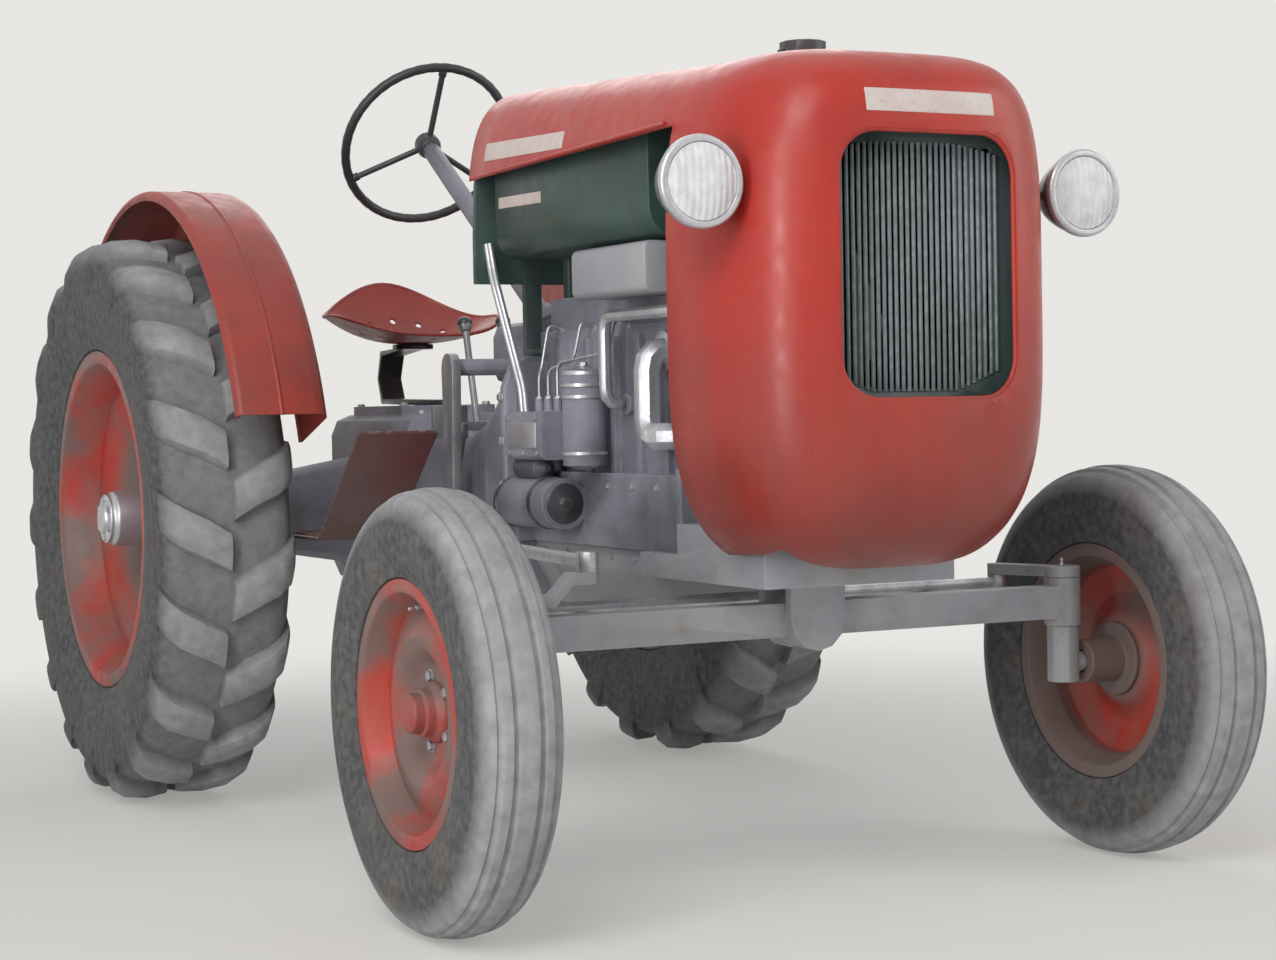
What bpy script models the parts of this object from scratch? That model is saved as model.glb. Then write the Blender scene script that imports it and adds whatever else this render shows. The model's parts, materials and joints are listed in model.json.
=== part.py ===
"""A small vintage row tractor: red bonnet and fenders, open engine, lugged tyres and steered front wheels.

Metres, +Z up. The front faces -Y, the driver's right is -X, and the origin is on the ground at the middle of
the tractor's length and width. Places along the tractor are distances ahead of the rear axle.
"""

import math

import bmesh
import bpy
from mathutils import Vector

# Driving dimensions
WHEELBASE = 1.73
REAR_TRACK = 1.377
FRONT_TRACK = 1.392
REAR_TYRE_RADIUS = 0.6356
REAR_TYRE_WIDTH = 0.298
FRONT_TYRE_RADIUS = 0.369
FRONT_TYRE_WIDTH = 0.15
NOSE_OVERHANG = 0.426
CROWN_REAR_Z = 1.52
CROWN_FRONT_Z = 1.45
SKIRT_Z = 1.33
SHEET = 0.004
SEAM = 0.0003
OVERRUN = 0.02
EMBED = 0.004

NOSE_AHEAD = WHEELBASE + NOSE_OVERHANG
REAR_AXLE_Y = (NOSE_AHEAD - REAR_TYRE_RADIUS) / 2
RIGHT, LEFT = -1, 1
SIDES = {"right": RIGHT, "left": LEFT}
TURN = 2 * math.pi
ROUND_SIDES = 12
FINE_SIDES = 16
THIN_SIDES = 8
ARC_STEPS = 6
STEEP_SHARE = 0.9
SHARP_ANGLE = math.radians(32)

# name: colour, roughness, metallic
PAINTS = {
    "red_paint": ((0.62, 0.06, 0.045), 0.35, 0.0),
    "dark_paint": ((0.12, 0.06, 0.05), 0.55, 0.0),
    "green_black": ((0.05, 0.07, 0.06), 0.5, 0.0),
    "cast_grey": ((0.33, 0.33, 0.37), 0.6, 0.3),
    "silver": ((0.6, 0.6, 0.64), 0.35, 0.8),
    "steel": ((0.36, 0.36, 0.38), 0.45, 0.7),
    "black": ((0.03, 0.03, 0.035), 0.45, 0.0),
    "tyre_rubber": ((0.06, 0.06, 0.062), 0.85, 0.0),
    "lens_glass": ((0.85, 0.85, 0.82), 0.1, 0.0),
}


def clear_scene():
    for obj in list(bpy.data.objects):
        bpy.data.objects.remove(obj, do_unlink=True)


def paint(name):
    """The named material, made on first use."""
    material = bpy.data.materials.get(name)
    if material is None:
        colour, roughness, metallic = PAINTS[name]
        material = bpy.data.materials.new(name)
        material.use_nodes = True
        shader = material.node_tree.nodes["Principled BSDF"]
        shader.inputs["Base Color"].default_value = (*colour, 1.0)
        shader.inputs["Roughness"].default_value = roughness
        shader.inputs["Metallic"].default_value = metallic
        material.diffuse_color = (*colour, 1.0)
    return material


def at(x, ahead, z):
    """A point x to the driver's left, a distance ahead of the rear axle, and z above the ground."""
    return Vector((x, REAR_AXLE_Y - ahead, z))


def shape(name, bm):
    """An object from the bmesh, with its faces turned outwards."""
    bmesh.ops.recalc_face_normals(bm, faces=bm.faces)
    mesh = bpy.data.meshes.new(name)
    bm.to_mesh(mesh)
    bm.free()
    obj = bpy.data.objects.new(name, mesh)
    bpy.context.scene.collection.objects.link(obj)
    return obj


def loft(sections, name="loft"):
    """A closed solid through closed sections that have the same number of points."""
    bm = bmesh.new()
    loops = [[bm.verts.new(point) for point in section] for section in sections]
    count = len(loops[0])
    for low, high in zip(loops, loops[1:]):
        for i in range(count):
            j = (i + 1) % count
            bm.faces.new((low[i], low[j], high[j], high[i]))
    bm.faces.new(loops[0])
    bm.faces.new(loops[-1])
    return shape(name, bm)


def side_prism(outline, x_low, x_high):
    """An outline of (ahead, z) points, extruded across the tractor."""
    return loft([[at(x, ahead, z) for ahead, z in outline] for x in (x_low, x_high)])


def front_prism(outline, ahead_low, ahead_high):
    """An outline of (x, z) points, extruded along the tractor."""
    return loft([[at(x, ahead, z) for x, z in outline] for ahead in (ahead_low, ahead_high)])


def top_prism(outline, z_low, z_high):
    """An outline of (x, ahead) points, extruded upwards."""
    return loft([[at(x, ahead, z) for x, ahead in outline] for z in (z_low, z_high)])


def box(x_low, x_high, ahead_low, ahead_high, z_low, z_high):
    return front_prism(rectangle(x_low, x_high, z_low, z_high), ahead_low, ahead_high)


def rectangle(u_low, u_high, v_low, v_high):
    return [(u_low, v_low), (u_high, v_low), (u_high, v_high), (u_low, v_high)]


def arc(centre, radius, start, end, steps):
    """Points on a circle from one angle to another, both ends included."""
    angles = [start + (end - start) * i / steps for i in range(steps + 1)]
    return [(centre[0] + radius * math.cos(a), centre[1] + radius * math.sin(a)) for a in angles]


def rounded(u_low, u_high, v_low, v_high, radius, steps=3):
    """A rectangle with round corners."""
    quarter = math.pi / 2
    corners = (
        ((u_high - radius, v_high - radius), 0),
        ((u_low + radius, v_high - radius), quarter),
        ((u_low + radius, v_low + radius), 2 * quarter),
        ((u_high - radius, v_low + radius), 3 * quarter),
    )
    points = []
    for centre, start in corners:
        points += arc(centre, radius, start, start + quarter, steps)
    return points


def upright_for(direction):
    """Up, or along the tractor where the given direction is upright itself."""
    return Vector((0, 0, 1)) if abs(direction.z) < STEEP_SHARE else Vector((0, 1, 0))


def ring_points(centre, direction, radius, sides, up=None):
    """A circle's points round a centre, square to a direction."""
    direction = Vector(direction).normalized()
    if up is None:
        up = upright_for(direction)
    across = direction.cross(up).normalized()
    upright = across.cross(direction)
    angles = [TURN * (i + 0.5) / sides for i in range(sides)]
    return [centre + across * radius * math.cos(a) + upright * radius * math.sin(a) for a in angles]


def rod(start, end, radius, sides=ROUND_SIDES):
    """A round bar."""
    way = end - start
    return loft([ring_points(start, way, radius, sides), ring_points(end, way, radius, sides)])


def pipe(points, radius, sides=THIN_SIDES):
    """A round bar through a list of points."""
    sections = []
    for i, point in enumerate(points):
        before = points[max(i - 1, 0)]
        after = points[min(i + 1, len(points) - 1)]
        sections.append(ring_points(point, after - before, radius, sides, up=Vector((1, 0, 0))))
    return loft(sections)


def bent(points, bend, steps=3):
    """The points of a route whose inner corners are rounded by a bend radius."""
    route = [points[0]]
    for before, corner, after in zip(points, points[1:], points[2:]):
        start = corner + (before - corner).normalized() * bend
        end = corner + (after - corner).normalized() * bend
        for i in range(steps + 1):
            t = i / steps
            route.append(start.lerp(corner, t).lerp(corner.lerp(end, t), t))
    route.append(points[-1])
    return route


def turned(centre, direction, profile, steps, start_angle=0.0):
    """A profile of (radius, along) points turned about an axis. An end on the axis closes to one point."""
    direction = Vector(direction).normalized()
    across = direction.cross(upright_for(direction)).normalized()
    upright = across.cross(direction)
    bm = bmesh.new()
    rows = []
    for radius, along in profile:
        middle = centre + direction * along
        if radius == 0:
            rows.append([bm.verts.new(middle)] * steps)
            continue
        row = []
        for i in range(steps):
            angle = start_angle + TURN * i / steps
            way = across * math.cos(angle) + upright * math.sin(angle)
            row.append(bm.verts.new(middle + way * radius))
        rows.append(row)
    closed_profile = profile[0][0] > 0 or profile[-1][0] > 0
    pairs = list(zip(rows, rows[1:])) + ([(rows[-1], rows[0])] if closed_profile else [])
    for row, following in pairs:
        for i in range(steps):
            j = (i + 1) % steps
            corners = list(dict.fromkeys((row[i], row[j], following[j], following[i])))
            if len(corners) > 2:
                bm.faces.new(corners)
    return shape("turned", bm)


def bore_radius(radius, clearance, sides):
    """A faceted bore's corner radius, so that its flats clear a round of this radius by the clearance."""
    return (radius + clearance) / math.cos(math.pi / sides)


def baked(obj):
    """The object with its modifiers applied to its mesh."""
    graph = bpy.context.evaluated_depsgraph_get()
    mesh = bpy.data.meshes.new_from_object(obj.evaluated_get(graph))
    obj.modifiers.clear()
    obj.data = mesh
    return obj


def combine(base, tools, operation):
    for tool in tools:
        tool.hide_render = True
        tool.display_type = "WIRE"
        modifier = base.modifiers.new(operation.title(), "BOOLEAN")
        modifier.operation = operation
        modifier.solver = "EXACT"
        modifier.object = tool
    baked(base)
    for tool in tools:
        bpy.data.objects.remove(tool, do_unlink=True)
    return base


def node(name, material, pieces, cuts=(), common=()):
    """One named sub-part: its pieces joined, cut, and kept only where they lie inside the common solids."""
    base = pieces[0]
    for tools, operation in ((pieces[1:], "UNION"), (cuts, "DIFFERENCE"), (common, "INTERSECT")):
        if tools:
            combine(base, list(tools), operation)
    base.name = name
    base.data.name = name
    base.data.materials.clear()
    base.data.materials.append(paint(material))
    base.data.shade_smooth()
    base.data.set_sharp_from_angle(angle=SHARP_ANGLE)
    return base


# Rear tyres: a hollow carcass with staggered chevron lugs
REAR_BEAD_RADIUS = 0.357
REAR_BEAD_HALF = 0.115
REAR_FLANGE_RADIUS = 0.379
CARCASS = 0.022
LUG_HEIGHT = 0.034
LUG_PITCHES = 18
LUG_CENTRE_GAP = 0.007
LUG_TOP_SHARE = 0.6
CHEVRON_ANGLE = 0.21
# Half of the tread from the centre out: shares of half the width, and drops as shares of the lugs' height
REAR_TREAD_SHARES = ((0.0, 0.0), (0.38, 0.04), (0.74, 0.22), (0.97, 1.1))
REAR_BULGE_SHARE = 0.52

# Front tyres: round ribs
FRONT_BEAD_RADIUS = 0.205
FRONT_BEAD_HALF = 0.056
FRONT_FLANGE_RADIUS = 0.222
FRONT_SEGMENTS = 28
RIB_HEIGHT = 0.009
FRONT_TREAD_SHARES = ((0.2, 0.0), (0.34, 1.0), (0.52, 0.5), (0.88, 3.2))
FRONT_BULGE_SHARE = 0.5


def carcass_profile(half_width, bead_half, bead_radius, flange_radius, tread_base, shoulder, bulge_share):
    """The tyre's section from a shoulder down round the beads to the other one, as (x, radius) points."""
    bulge_radius = flange_radius + (shoulder - flange_radius) * bulge_share
    inner_crown = tread_base - CARCASS
    half = [
        (half_width, bulge_radius),
        (bead_half, flange_radius + 2 * SEAM),
        (bead_half, bead_radius),
        (bead_half - CARCASS, bead_radius),
        (half_width - 2 * CARCASS, inner_crown),
    ]
    return half + [(-x, radius) for x, radius in reversed(half)]


def wheel_point(x, ahead, hub_z, radius, angle):
    """A point on a wheel, where angle 0 is its front and a quarter turn is its top."""
    return at(x, ahead + radius * math.cos(angle), hub_z + radius * math.sin(angle))


def rear_tyre(side_name):
    side = SIDES[side_name]
    middle = side * REAR_TRACK / 2
    half = REAR_TYRE_WIDTH / 2
    base = REAR_TYRE_RADIUS - LUG_HEIGHT
    tread = [(share * half, base - drop * LUG_HEIGHT) for share, drop in REAR_TREAD_SHARES]
    tread = [(-x, radius) for x, radius in reversed(tread[1:])] + tread
    under = carcass_profile(
        half, REAR_BEAD_HALF, REAR_BEAD_RADIUS, REAR_FLANGE_RADIUS, base, tread[0][1], REAR_BULGE_SHARE
    )
    profile = tread + under
    segments = 2 * LUG_PITCHES
    step = TURN / segments
    margin = (1 - LUG_TOP_SHARE) / 2
    phase = -math.pi / 2 - margin * step
    centre = len(tread) // 2
    shoulder_x = tread[-1][0]

    def place(x, radius, turn, skew):
        return wheel_point(middle + x, 0, REAR_TYRE_RADIUS, radius, phase + turn * step + skew)

    bm = bmesh.new()
    skews = [CHEVRON_ANGLE * abs(x) / shoulder_x for x, radius in tread] + [CHEVRON_ANGLE] * len(under)
    rings = [
        [bm.verts.new(place(x, radius, i, skew)) for (x, radius), skew in zip(profile, skews)]
        for i in range(segments)
    ]
    for i, ring in enumerate(rings):
        following = rings[(i + 1) % segments]
        lug_columns = range(centre, len(tread) - 1) if i % 2 else range(centre)
        for j in range(len(profile)):
            k = (j + 1) % len(profile)
            if j not in lug_columns:
                bm.faces.new((ring[j], ring[k], following[k], following[j]))
        stations = list(range(centre, len(tread))) if i % 2 else list(range(centre + 1))
        tops = []
        for j in stations:
            x, radius = tread[j]
            if j == centre:
                x = LUG_CENTRE_GAP if i % 2 else -LUG_CENTRE_GAP
            turns = (i + margin, i + 1 - margin)
            tops.append([bm.verts.new(place(x, radius + LUG_HEIGHT, turn, skews[j])) for turn in turns])
        for (j, near), (k, far) in zip(zip(stations, tops), list(zip(stations, tops))[1:]):
            bm.faces.new((near[0], far[0], far[1], near[1]))
            bm.faces.new((ring[j], ring[k], far[0], near[0]))
            bm.faces.new((following[k], following[j], near[1], far[1]))
        for j, top in ((stations[0], tops[0]), (stations[-1], tops[-1])):
            bm.faces.new((ring[j], top[0], top[1], following[j]))
    return node(f"rear_tyre_{side_name}", "tyre_rubber", [shape("tyre", bm)])


def front_tyre(side_name):
    side = SIDES[side_name]
    half = FRONT_TYRE_WIDTH / 2
    tread = [(share * half, FRONT_TYRE_RADIUS - drop * RIB_HEIGHT) for share, drop in FRONT_TREAD_SHARES]
    tread = [(-x, radius) for x, radius in reversed(tread)] + tread
    under = carcass_profile(
        half,
        FRONT_BEAD_HALF,
        FRONT_BEAD_RADIUS,
        FRONT_FLANGE_RADIUS,
        FRONT_TYRE_RADIUS - RIB_HEIGHT,
        tread[0][1],
        FRONT_BULGE_SHARE,
    )
    profile = [(radius, x) for x, radius in tread + under]
    hub = at(side * FRONT_TRACK / 2, WHEELBASE, FRONT_TYRE_RADIUS)
    tyre = turned(hub, (1, 0, 0), profile, FRONT_SEGMENTS, start_angle=math.pi / 2)
    return node(f"front_tyre_{side_name}", "tyre_rubber", [tyre])


# Rims, discs and hubs
RIM_SIDES = 20
RIM_WALL = 0.005
REAR_WELL_DEPTH = 0.04
REAR_SEAT_WIDTH = 0.035
REAR_DISC_RIM_X = 0.03
REAR_DISC_HUB_X = -0.035
REAR_DISC_HUB_RADIUS = 0.15
REAR_DISC_WALL = 0.008
REAR_HUB_RADIUS = 0.068
REAR_HUB_FLANGE_RADIUS = 0.105
REAR_HUB_FLANGE = 0.016
REAR_HUB_INNER_X = -0.168
REAR_HUB_OUTER_X = 0.118
FRONT_WELL_DEPTH = 0.02
FRONT_SEAT_WIDTH = 0.018
FRONT_DISC_RIM_X = 0.012
FRONT_DISC_CROWN_X = 0.03
FRONT_DISC_CROWN_RADIUS = 0.125
FRONT_DISC_HUB_X = 0.0
FRONT_DISC_HUB_RADIUS = 0.075
FRONT_DISC_WALL = 0.005
FRONT_HUB_RADIUS = 0.042
FRONT_HUB_FLANGE_RADIUS = 0.07
FRONT_HUB_FLANGE = 0.01
FRONT_HUB_INNER_X = -0.088
FRONT_HUB_OUTER_X = 0.035
HUB_CAP_RADIUS = 0.034
HUB_CAP_OUTER_X = 0.062
SPINDLE_RADIUS = 0.019
SPINDLE_END_X = 0.012
RUNNING_CLEARANCE = 0.0008


def rim_and_disc(hub, outward, seat, half, flange, well_depth, seat_width, rim_x, disc, wall):
    """The rolled rim, with a seat for each bead and a well between, and the dished disc that it carries.

    The disc meets the rim at rim_x, and its inner face runs on through the disc's (radius, x) points.
    """
    outer_half = half + SEAM + RIM_WALL
    well = seat - well_depth
    slope = seat_width + well_depth
    profile = [(flange, -outer_half), (flange, -half - SEAM), (seat, -half - SEAM), (well, slope - half)]
    profile += [(radius, -x) for radius, x in reversed(profile)]
    profile += [(seat - RIM_WALL, outer_half), (well - RIM_WALL, half - slope)]
    face = [(well - RIM_WALL, rim_x), *disc]
    profile += [(radius, x + wall) for radius, x in face]
    profile += reversed(face)
    profile += [(well - RIM_WALL, slope - half), (seat - RIM_WALL, -outer_half)]
    return turned(hub, outward, profile, RIM_SIDES)


def rear_rim(side_name):
    side = SIDES[side_name]
    hub = at(side * REAR_TRACK / 2, 0, REAR_TYRE_RADIUS)
    outward = Vector((side, 0, 0))
    seat = REAR_BEAD_RADIUS * math.cos(math.pi / (2 * LUG_PITCHES)) - SEAM
    disc = [(REAR_DISC_HUB_RADIUS, REAR_DISC_HUB_X), (REAR_HUB_RADIUS - EMBED, REAR_DISC_HUB_X)]
    dish = rim_and_disc(
        hub,
        outward,
        seat,
        REAR_BEAD_HALF,
        REAR_FLANGE_RADIUS,
        REAR_WELL_DEPTH,
        REAR_SEAT_WIDTH,
        REAR_DISC_RIM_X,
        disc,
        REAR_DISC_WALL,
    )
    flange_x = REAR_DISC_HUB_X + REAR_DISC_WALL - EMBED / 2
    hub_profile = [
        (0, REAR_HUB_INNER_X),
        (REAR_HUB_RADIUS, REAR_HUB_INNER_X),
        (REAR_HUB_RADIUS, flange_x),
        (REAR_HUB_FLANGE_RADIUS, flange_x),
        (REAR_HUB_FLANGE_RADIUS, flange_x + REAR_HUB_FLANGE),
        (REAR_HUB_RADIUS, flange_x + REAR_HUB_FLANGE),
        (REAR_HUB_RADIUS, REAR_HUB_OUTER_X),
        (0, REAR_HUB_OUTER_X),
    ]
    middle = turned(hub, outward, hub_profile, ROUND_SIDES, start_angle=math.pi / ROUND_SIDES)
    return node(f"rear_rim_{side_name}", "red_paint", [dish, middle])


def front_rim(side_name):
    side = SIDES[side_name]
    hub = at(side * FRONT_TRACK / 2, WHEELBASE, FRONT_TYRE_RADIUS)
    outward = Vector((side, 0, 0))
    seat = FRONT_BEAD_RADIUS * math.cos(math.pi / FRONT_SEGMENTS) - SEAM
    disc = [
        (FRONT_DISC_CROWN_RADIUS, FRONT_DISC_CROWN_X),
        (FRONT_DISC_HUB_RADIUS, FRONT_DISC_HUB_X),
        (FRONT_HUB_RADIUS - EMBED, FRONT_DISC_HUB_X),
    ]
    dish = rim_and_disc(
        hub,
        outward,
        seat,
        FRONT_BEAD_HALF,
        FRONT_FLANGE_RADIUS,
        FRONT_WELL_DEPTH,
        FRONT_SEAT_WIDTH,
        FRONT_DISC_RIM_X,
        disc,
        FRONT_DISC_WALL,
    )
    flange_x = FRONT_DISC_HUB_X - FRONT_HUB_FLANGE + EMBED / 4
    hub_profile = [
        (0, FRONT_HUB_INNER_X),
        (FRONT_HUB_RADIUS, FRONT_HUB_INNER_X),
        (FRONT_HUB_RADIUS, flange_x),
        (FRONT_HUB_FLANGE_RADIUS, flange_x),
        (FRONT_HUB_FLANGE_RADIUS, flange_x + FRONT_HUB_FLANGE),
        (FRONT_HUB_RADIUS, flange_x + FRONT_HUB_FLANGE),
        (FRONT_HUB_RADIUS, FRONT_HUB_OUTER_X),
        (HUB_CAP_RADIUS, FRONT_HUB_OUTER_X),
        (HUB_CAP_RADIUS, HUB_CAP_OUTER_X - HUB_CAP_RADIUS / 4),
        (HUB_CAP_RADIUS / 2, HUB_CAP_OUTER_X),
        (0, HUB_CAP_OUTER_X),
    ]
    middle = turned(hub, outward, hub_profile, ROUND_SIDES, start_angle=math.pi / ROUND_SIDES)
    bore = rod(
        hub + outward * (FRONT_HUB_INNER_X - OVERRUN),
        hub + outward * (SPINDLE_END_X + RUNNING_CLEARANCE),
        bore_radius(SPINDLE_RADIUS, RUNNING_CLEARANCE, ROUND_SIDES),
    )
    return node(f"front_rim_{side_name}", "red_paint", [dish, middle], [bore])


# Rear axle housing with its two trumpets
AXLE_Z = REAR_TYRE_RADIUS
HOUSING_BACK = -0.24
HOUSING_FRONT = 0.26
HOUSING_HALF = 0.165
HOUSING_BOTTOM_Z = 0.45
HOUSING_TOP_Z = 0.86
HOUSING_CORNER = 0.05
COVER_HALF = 0.12
COVER_BACK = -0.2
COVER_FRONT = 0.12
COVER_HEIGHT = 0.02
TRUMPET_ROOT_RADIUS = 0.13
TRUMPET_TIP_RADIUS = 0.075
TRUMPET_FLANGE_RADIUS = 0.125
TRUMPET_FLANGE = 0.018
FENDER_SEAT_LENGTH = 0.05
FENDER_SEAT_HALF = 0.06
PTO_RADIUS = 0.018
PTO_Z = 0.56
PTO_LENGTH = 0.09
PTO_BOSS_RADIUS = 0.05
PTO_BOSS_LENGTH = 0.025
WHEEL_FACE_X = REAR_TRACK / 2 + REAR_HUB_INNER_X
TRUMPET_END_X = WHEEL_FACE_X - SEAM
FENDER_SEAT_Z = AXLE_Z + TRUMPET_FLANGE_RADIUS

# Gearbox and clutch housing: place ahead, half width, bottom and top
GEARBOX_BACK = HOUSING_FRONT + SEAM
GEARBOX_BACK_HALF = 0.15
GEARBOX_WAIST_AHEAD = 0.5
GEARBOX_WAIST_HALF = 0.12
GEARBOX_WAIST_BOTTOM_Z = 0.5
GEARBOX_TOP_Z = 0.82
CLUTCH_AHEAD = 0.7
CLUTCH_HALF = 0.16
CLUTCH_TOP_Z = 0.86
BELL_FRONT = 0.93
BELL_HALF = 0.2
BELL_BOTTOM_Z = 0.47
BELL_TOP_Z = 0.96
BELL_FLANGE = 0.022
BELL_FLANGE_RIM = 0.014
GEARBOX_CORNER = 0.05
BOARD_PAD_BACK = 0.34
BOARD_PAD_FRONT = 0.46
BOARD_PAD_HEIGHT = 0.05
BOARD_X = 0.168
BOARD_Z = 0.6

# Heights of the front axle's beam and of the cast support above it
BEAM_AHEAD = WHEELBASE
BEAM_RISE = 0.116
BEAM_Z = FRONT_TYRE_RADIUS + BEAM_RISE
SUPPORT_RISE = 0.07
SUPPORT_HEIGHT = 0.1
SUPPORT_BOTTOM_Z = BEAM_Z + SUPPORT_RISE
SUPPORT_TOP_Z = SUPPORT_BOTTOM_Z + SUPPORT_HEIGHT

# Engine block
BLOCK_BACK = BELL_FRONT + SEAM
BLOCK_SETBACK = 0.11
BLOCK_FRONT = WHEELBASE - BLOCK_SETBACK
BLOCK_HALF = 0.13
BLOCK_RISE = 0.045
BLOCK_HEIGHT = 0.42
BLOCK_BOTTOM_Z = SUPPORT_BOTTOM_Z + BLOCK_RISE
BLOCK_TOP_Z = BLOCK_BOTTOM_Z + BLOCK_HEIGHT
CRANKCASE_HALF = 0.165
CRANKCASE_HEIGHT = 0.14
CRANKCASE_TOP_Z = BLOCK_BOTTOM_Z + CRANKCASE_HEIGHT
BLOCK_FLANGE = 0.02
BLOCK_RIB = 0.012
BLOCK_RIB_WIDTH = 0.02
BLOCK_RIBS = 5
CRANK_PULLEY_RADIUS = 0.07
CRANK_PULLEY_WIDTH = 0.026
CRANK_PULLEY_Z = CRANKCASE_TOP_Z
PUMP_RADIUS = 0.045
PUMP_LENGTH = 0.018
FAN_RISE = 0.36
FAN_Z = BLOCK_BOTTOM_Z + FAN_RISE

# Pipes on the block's right side, and the round bosses that they seat on
PIPE_X = -0.185
PIPE_RADIUS = 0.012
PIPE_FOOT_SETBACK = 0.285
PIPE_FOOT_AHEAD = BLOCK_FRONT - PIPE_FOOT_SETBACK
PIPE_FOOT_RISE = 0.27
PIPE_TOP_RISE = 0.435
PIPE_FOOT_Z = BLOCK_BOTTOM_Z + PIPE_FOOT_RISE
PIPE_TOP_Z = BLOCK_BOTTOM_Z + PIPE_TOP_RISE
PIPE_BEND = 0.03
PIPE_BOSS_RADIUS = 0.02
ELBOW_SETBACK = 0.11
ELBOW_AHEAD = BLOCK_FRONT - ELBOW_SETBACK
ELBOW_RADIUS = 0.026
ELBOW_TOP_RISE = 0.365
ELBOW_TOP_Z = BLOCK_BOTTOM_Z + ELBOW_TOP_RISE
ELBOW_X = -0.185
ELBOW_LOW_RISE = 0.21
ELBOW_LOW_Z = BLOCK_BOTTOM_Z + ELBOW_LOW_RISE
ELBOW_FOOT_SETBACK = 0.044
ELBOW_FRONT = BLOCK_FRONT - ELBOW_FOOT_SETBACK
ELBOW_BEND = 0.035
ELBOW_FLANGE_RADIUS = 0.038
ELBOW_FLANGE = 0.012
SIDE_BOSS_X = -BLOCK_HALF - BLOCK_RIB

# Bodies on the block: injection pump and oil filter on the right, starter low behind them, dynamo on the left
INJECTOR_PUMP_X = -0.245
INJECTOR_PUMP_BACK_SHARE = 0.1
INJECTOR_PUMP_FRONT_SHARE = 0.35
INJECTOR_PUMP_RISE = 0.165
INJECTOR_PUMP_HEIGHT = 0.095
INJECTOR_PUMP_CORNER = 0.015
OUTLET_RADIUS = 0.009
OUTLET_HEIGHT = 0.025
OUTLETS = 3
FILTER_X = -0.19
FILTER_SHARE = 0.464
FILTER_RADIUS = 0.042
FILTER_RISE = 0.155
FILTER_HEIGHT = 0.175
FILTER_BRACKET = 0.03
STARTER_X = -0.205
STARTER_RISE = 0.08
STARTER_RADIUS = 0.05
STARTER_LENGTH = 0.24
DYNAMO_X = 0.195
DYNAMO_RISE = 0.24
DYNAMO_RADIUS = 0.048
DYNAMO_SETBACK = 0.035
DYNAMO_LENGTH = 0.2
DYNAMO_SHAFT_RADIUS = 0.012
DYNAMO_PULLEY_RADIUS = 0.035
DYNAMO_BRACKET_HALF = 0.03
SIDE_BOSSES = (
    (PIPE_FOOT_AHEAD, PIPE_FOOT_Z, PIPE_BOSS_RADIUS),
    (ELBOW_AHEAD, ELBOW_TOP_Z, ELBOW_FLANGE_RADIUS),
    (ELBOW_FRONT, ELBOW_LOW_Z, ELBOW_FLANGE_RADIUS),
)

# Cylinder head with its rocker cover
HEAD_HALF = 0.125
HEAD_END_GAP = 0.02
HEAD_BACK = BLOCK_BACK + 2 * HEAD_END_GAP
HEAD_FRONT = BLOCK_FRONT - HEAD_END_GAP
HEAD_BOTTOM_Z = BLOCK_TOP_Z + SEAM
HEAD_HEIGHT = 0.065
HEAD_TOP_Z = BLOCK_TOP_Z + HEAD_HEIGHT
ROCKER_HALF = 0.075
ROCKER_HEIGHT = 0.055
ROCKER_TOP_Z = HEAD_TOP_Z + ROCKER_HEIGHT
ROCKER_CORNER = 0.03
ROCKER_INSET = 0.03

# Exhaust and coolant pipe on the head's left side
MANIFOLD_X = 0.165
MANIFOLD_DROP = 0.035
MANIFOLD_RADIUS = 0.026
MANIFOLD_BACK_SHARE = 0.095
MANIFOLD_FRONT_SHARE = 0.795
PORTS = 3
PORT_RADIUS = 0.022
EXHAUST_RADIUS = 0.02
EXHAUST_X = 0.248
EXHAUST_Z = 0.525
EXHAUST_BEND = 0.05
EXHAUST_END_AHEAD = 0.2
MUFFLER_RADIUS = 0.044
MUFFLER_BACK = 0.36
MUFFLER_FRONT = 0.74
COOLANT_X = 0.175
COOLANT_SETBACK = 0.07
COOLANT_DROP = 0.03
COOLANT_RADIUS = 0.018
COOLANT_BEND = 0.03

# Sump and the front support cast with it
SUMP_TOP_Z = BLOCK_BOTTOM_Z - SEAM
SUMP_HALF = 0.15
SUMP_BOTTOM_HALF = 0.1
SUMP_BOTTOM_Z = BELL_BOTTOM_Z
SUMP_END_LENGTH = 0.14
SUMP_FRONT = BLOCK_FRONT - SUMP_END_LENGTH
SUPPORT_OVERHANG = 0.2
SUPPORT_FRONT = WHEELBASE + SUPPORT_OVERHANG
SUPPORT_HALF = 0.19
BEAM_HALF_DEPTH = 0.026
BEAM_HALF_HEIGHT = 0.03
PIVOT_BOSS_RADIUS = 0.05
PIVOT_PIN_RADIUS = 0.02
PIVOT_BOSS_HALF = 0.035
PIVOT_LUG = 0.022
PIVOT_LUG_HALF = 0.055


def rounded_section(ahead, half, bottom_z, top_z, corner):
    return [at(x, ahead, z) for x, z in rounded(-half, half, bottom_z, top_z, corner, 2)]


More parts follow.
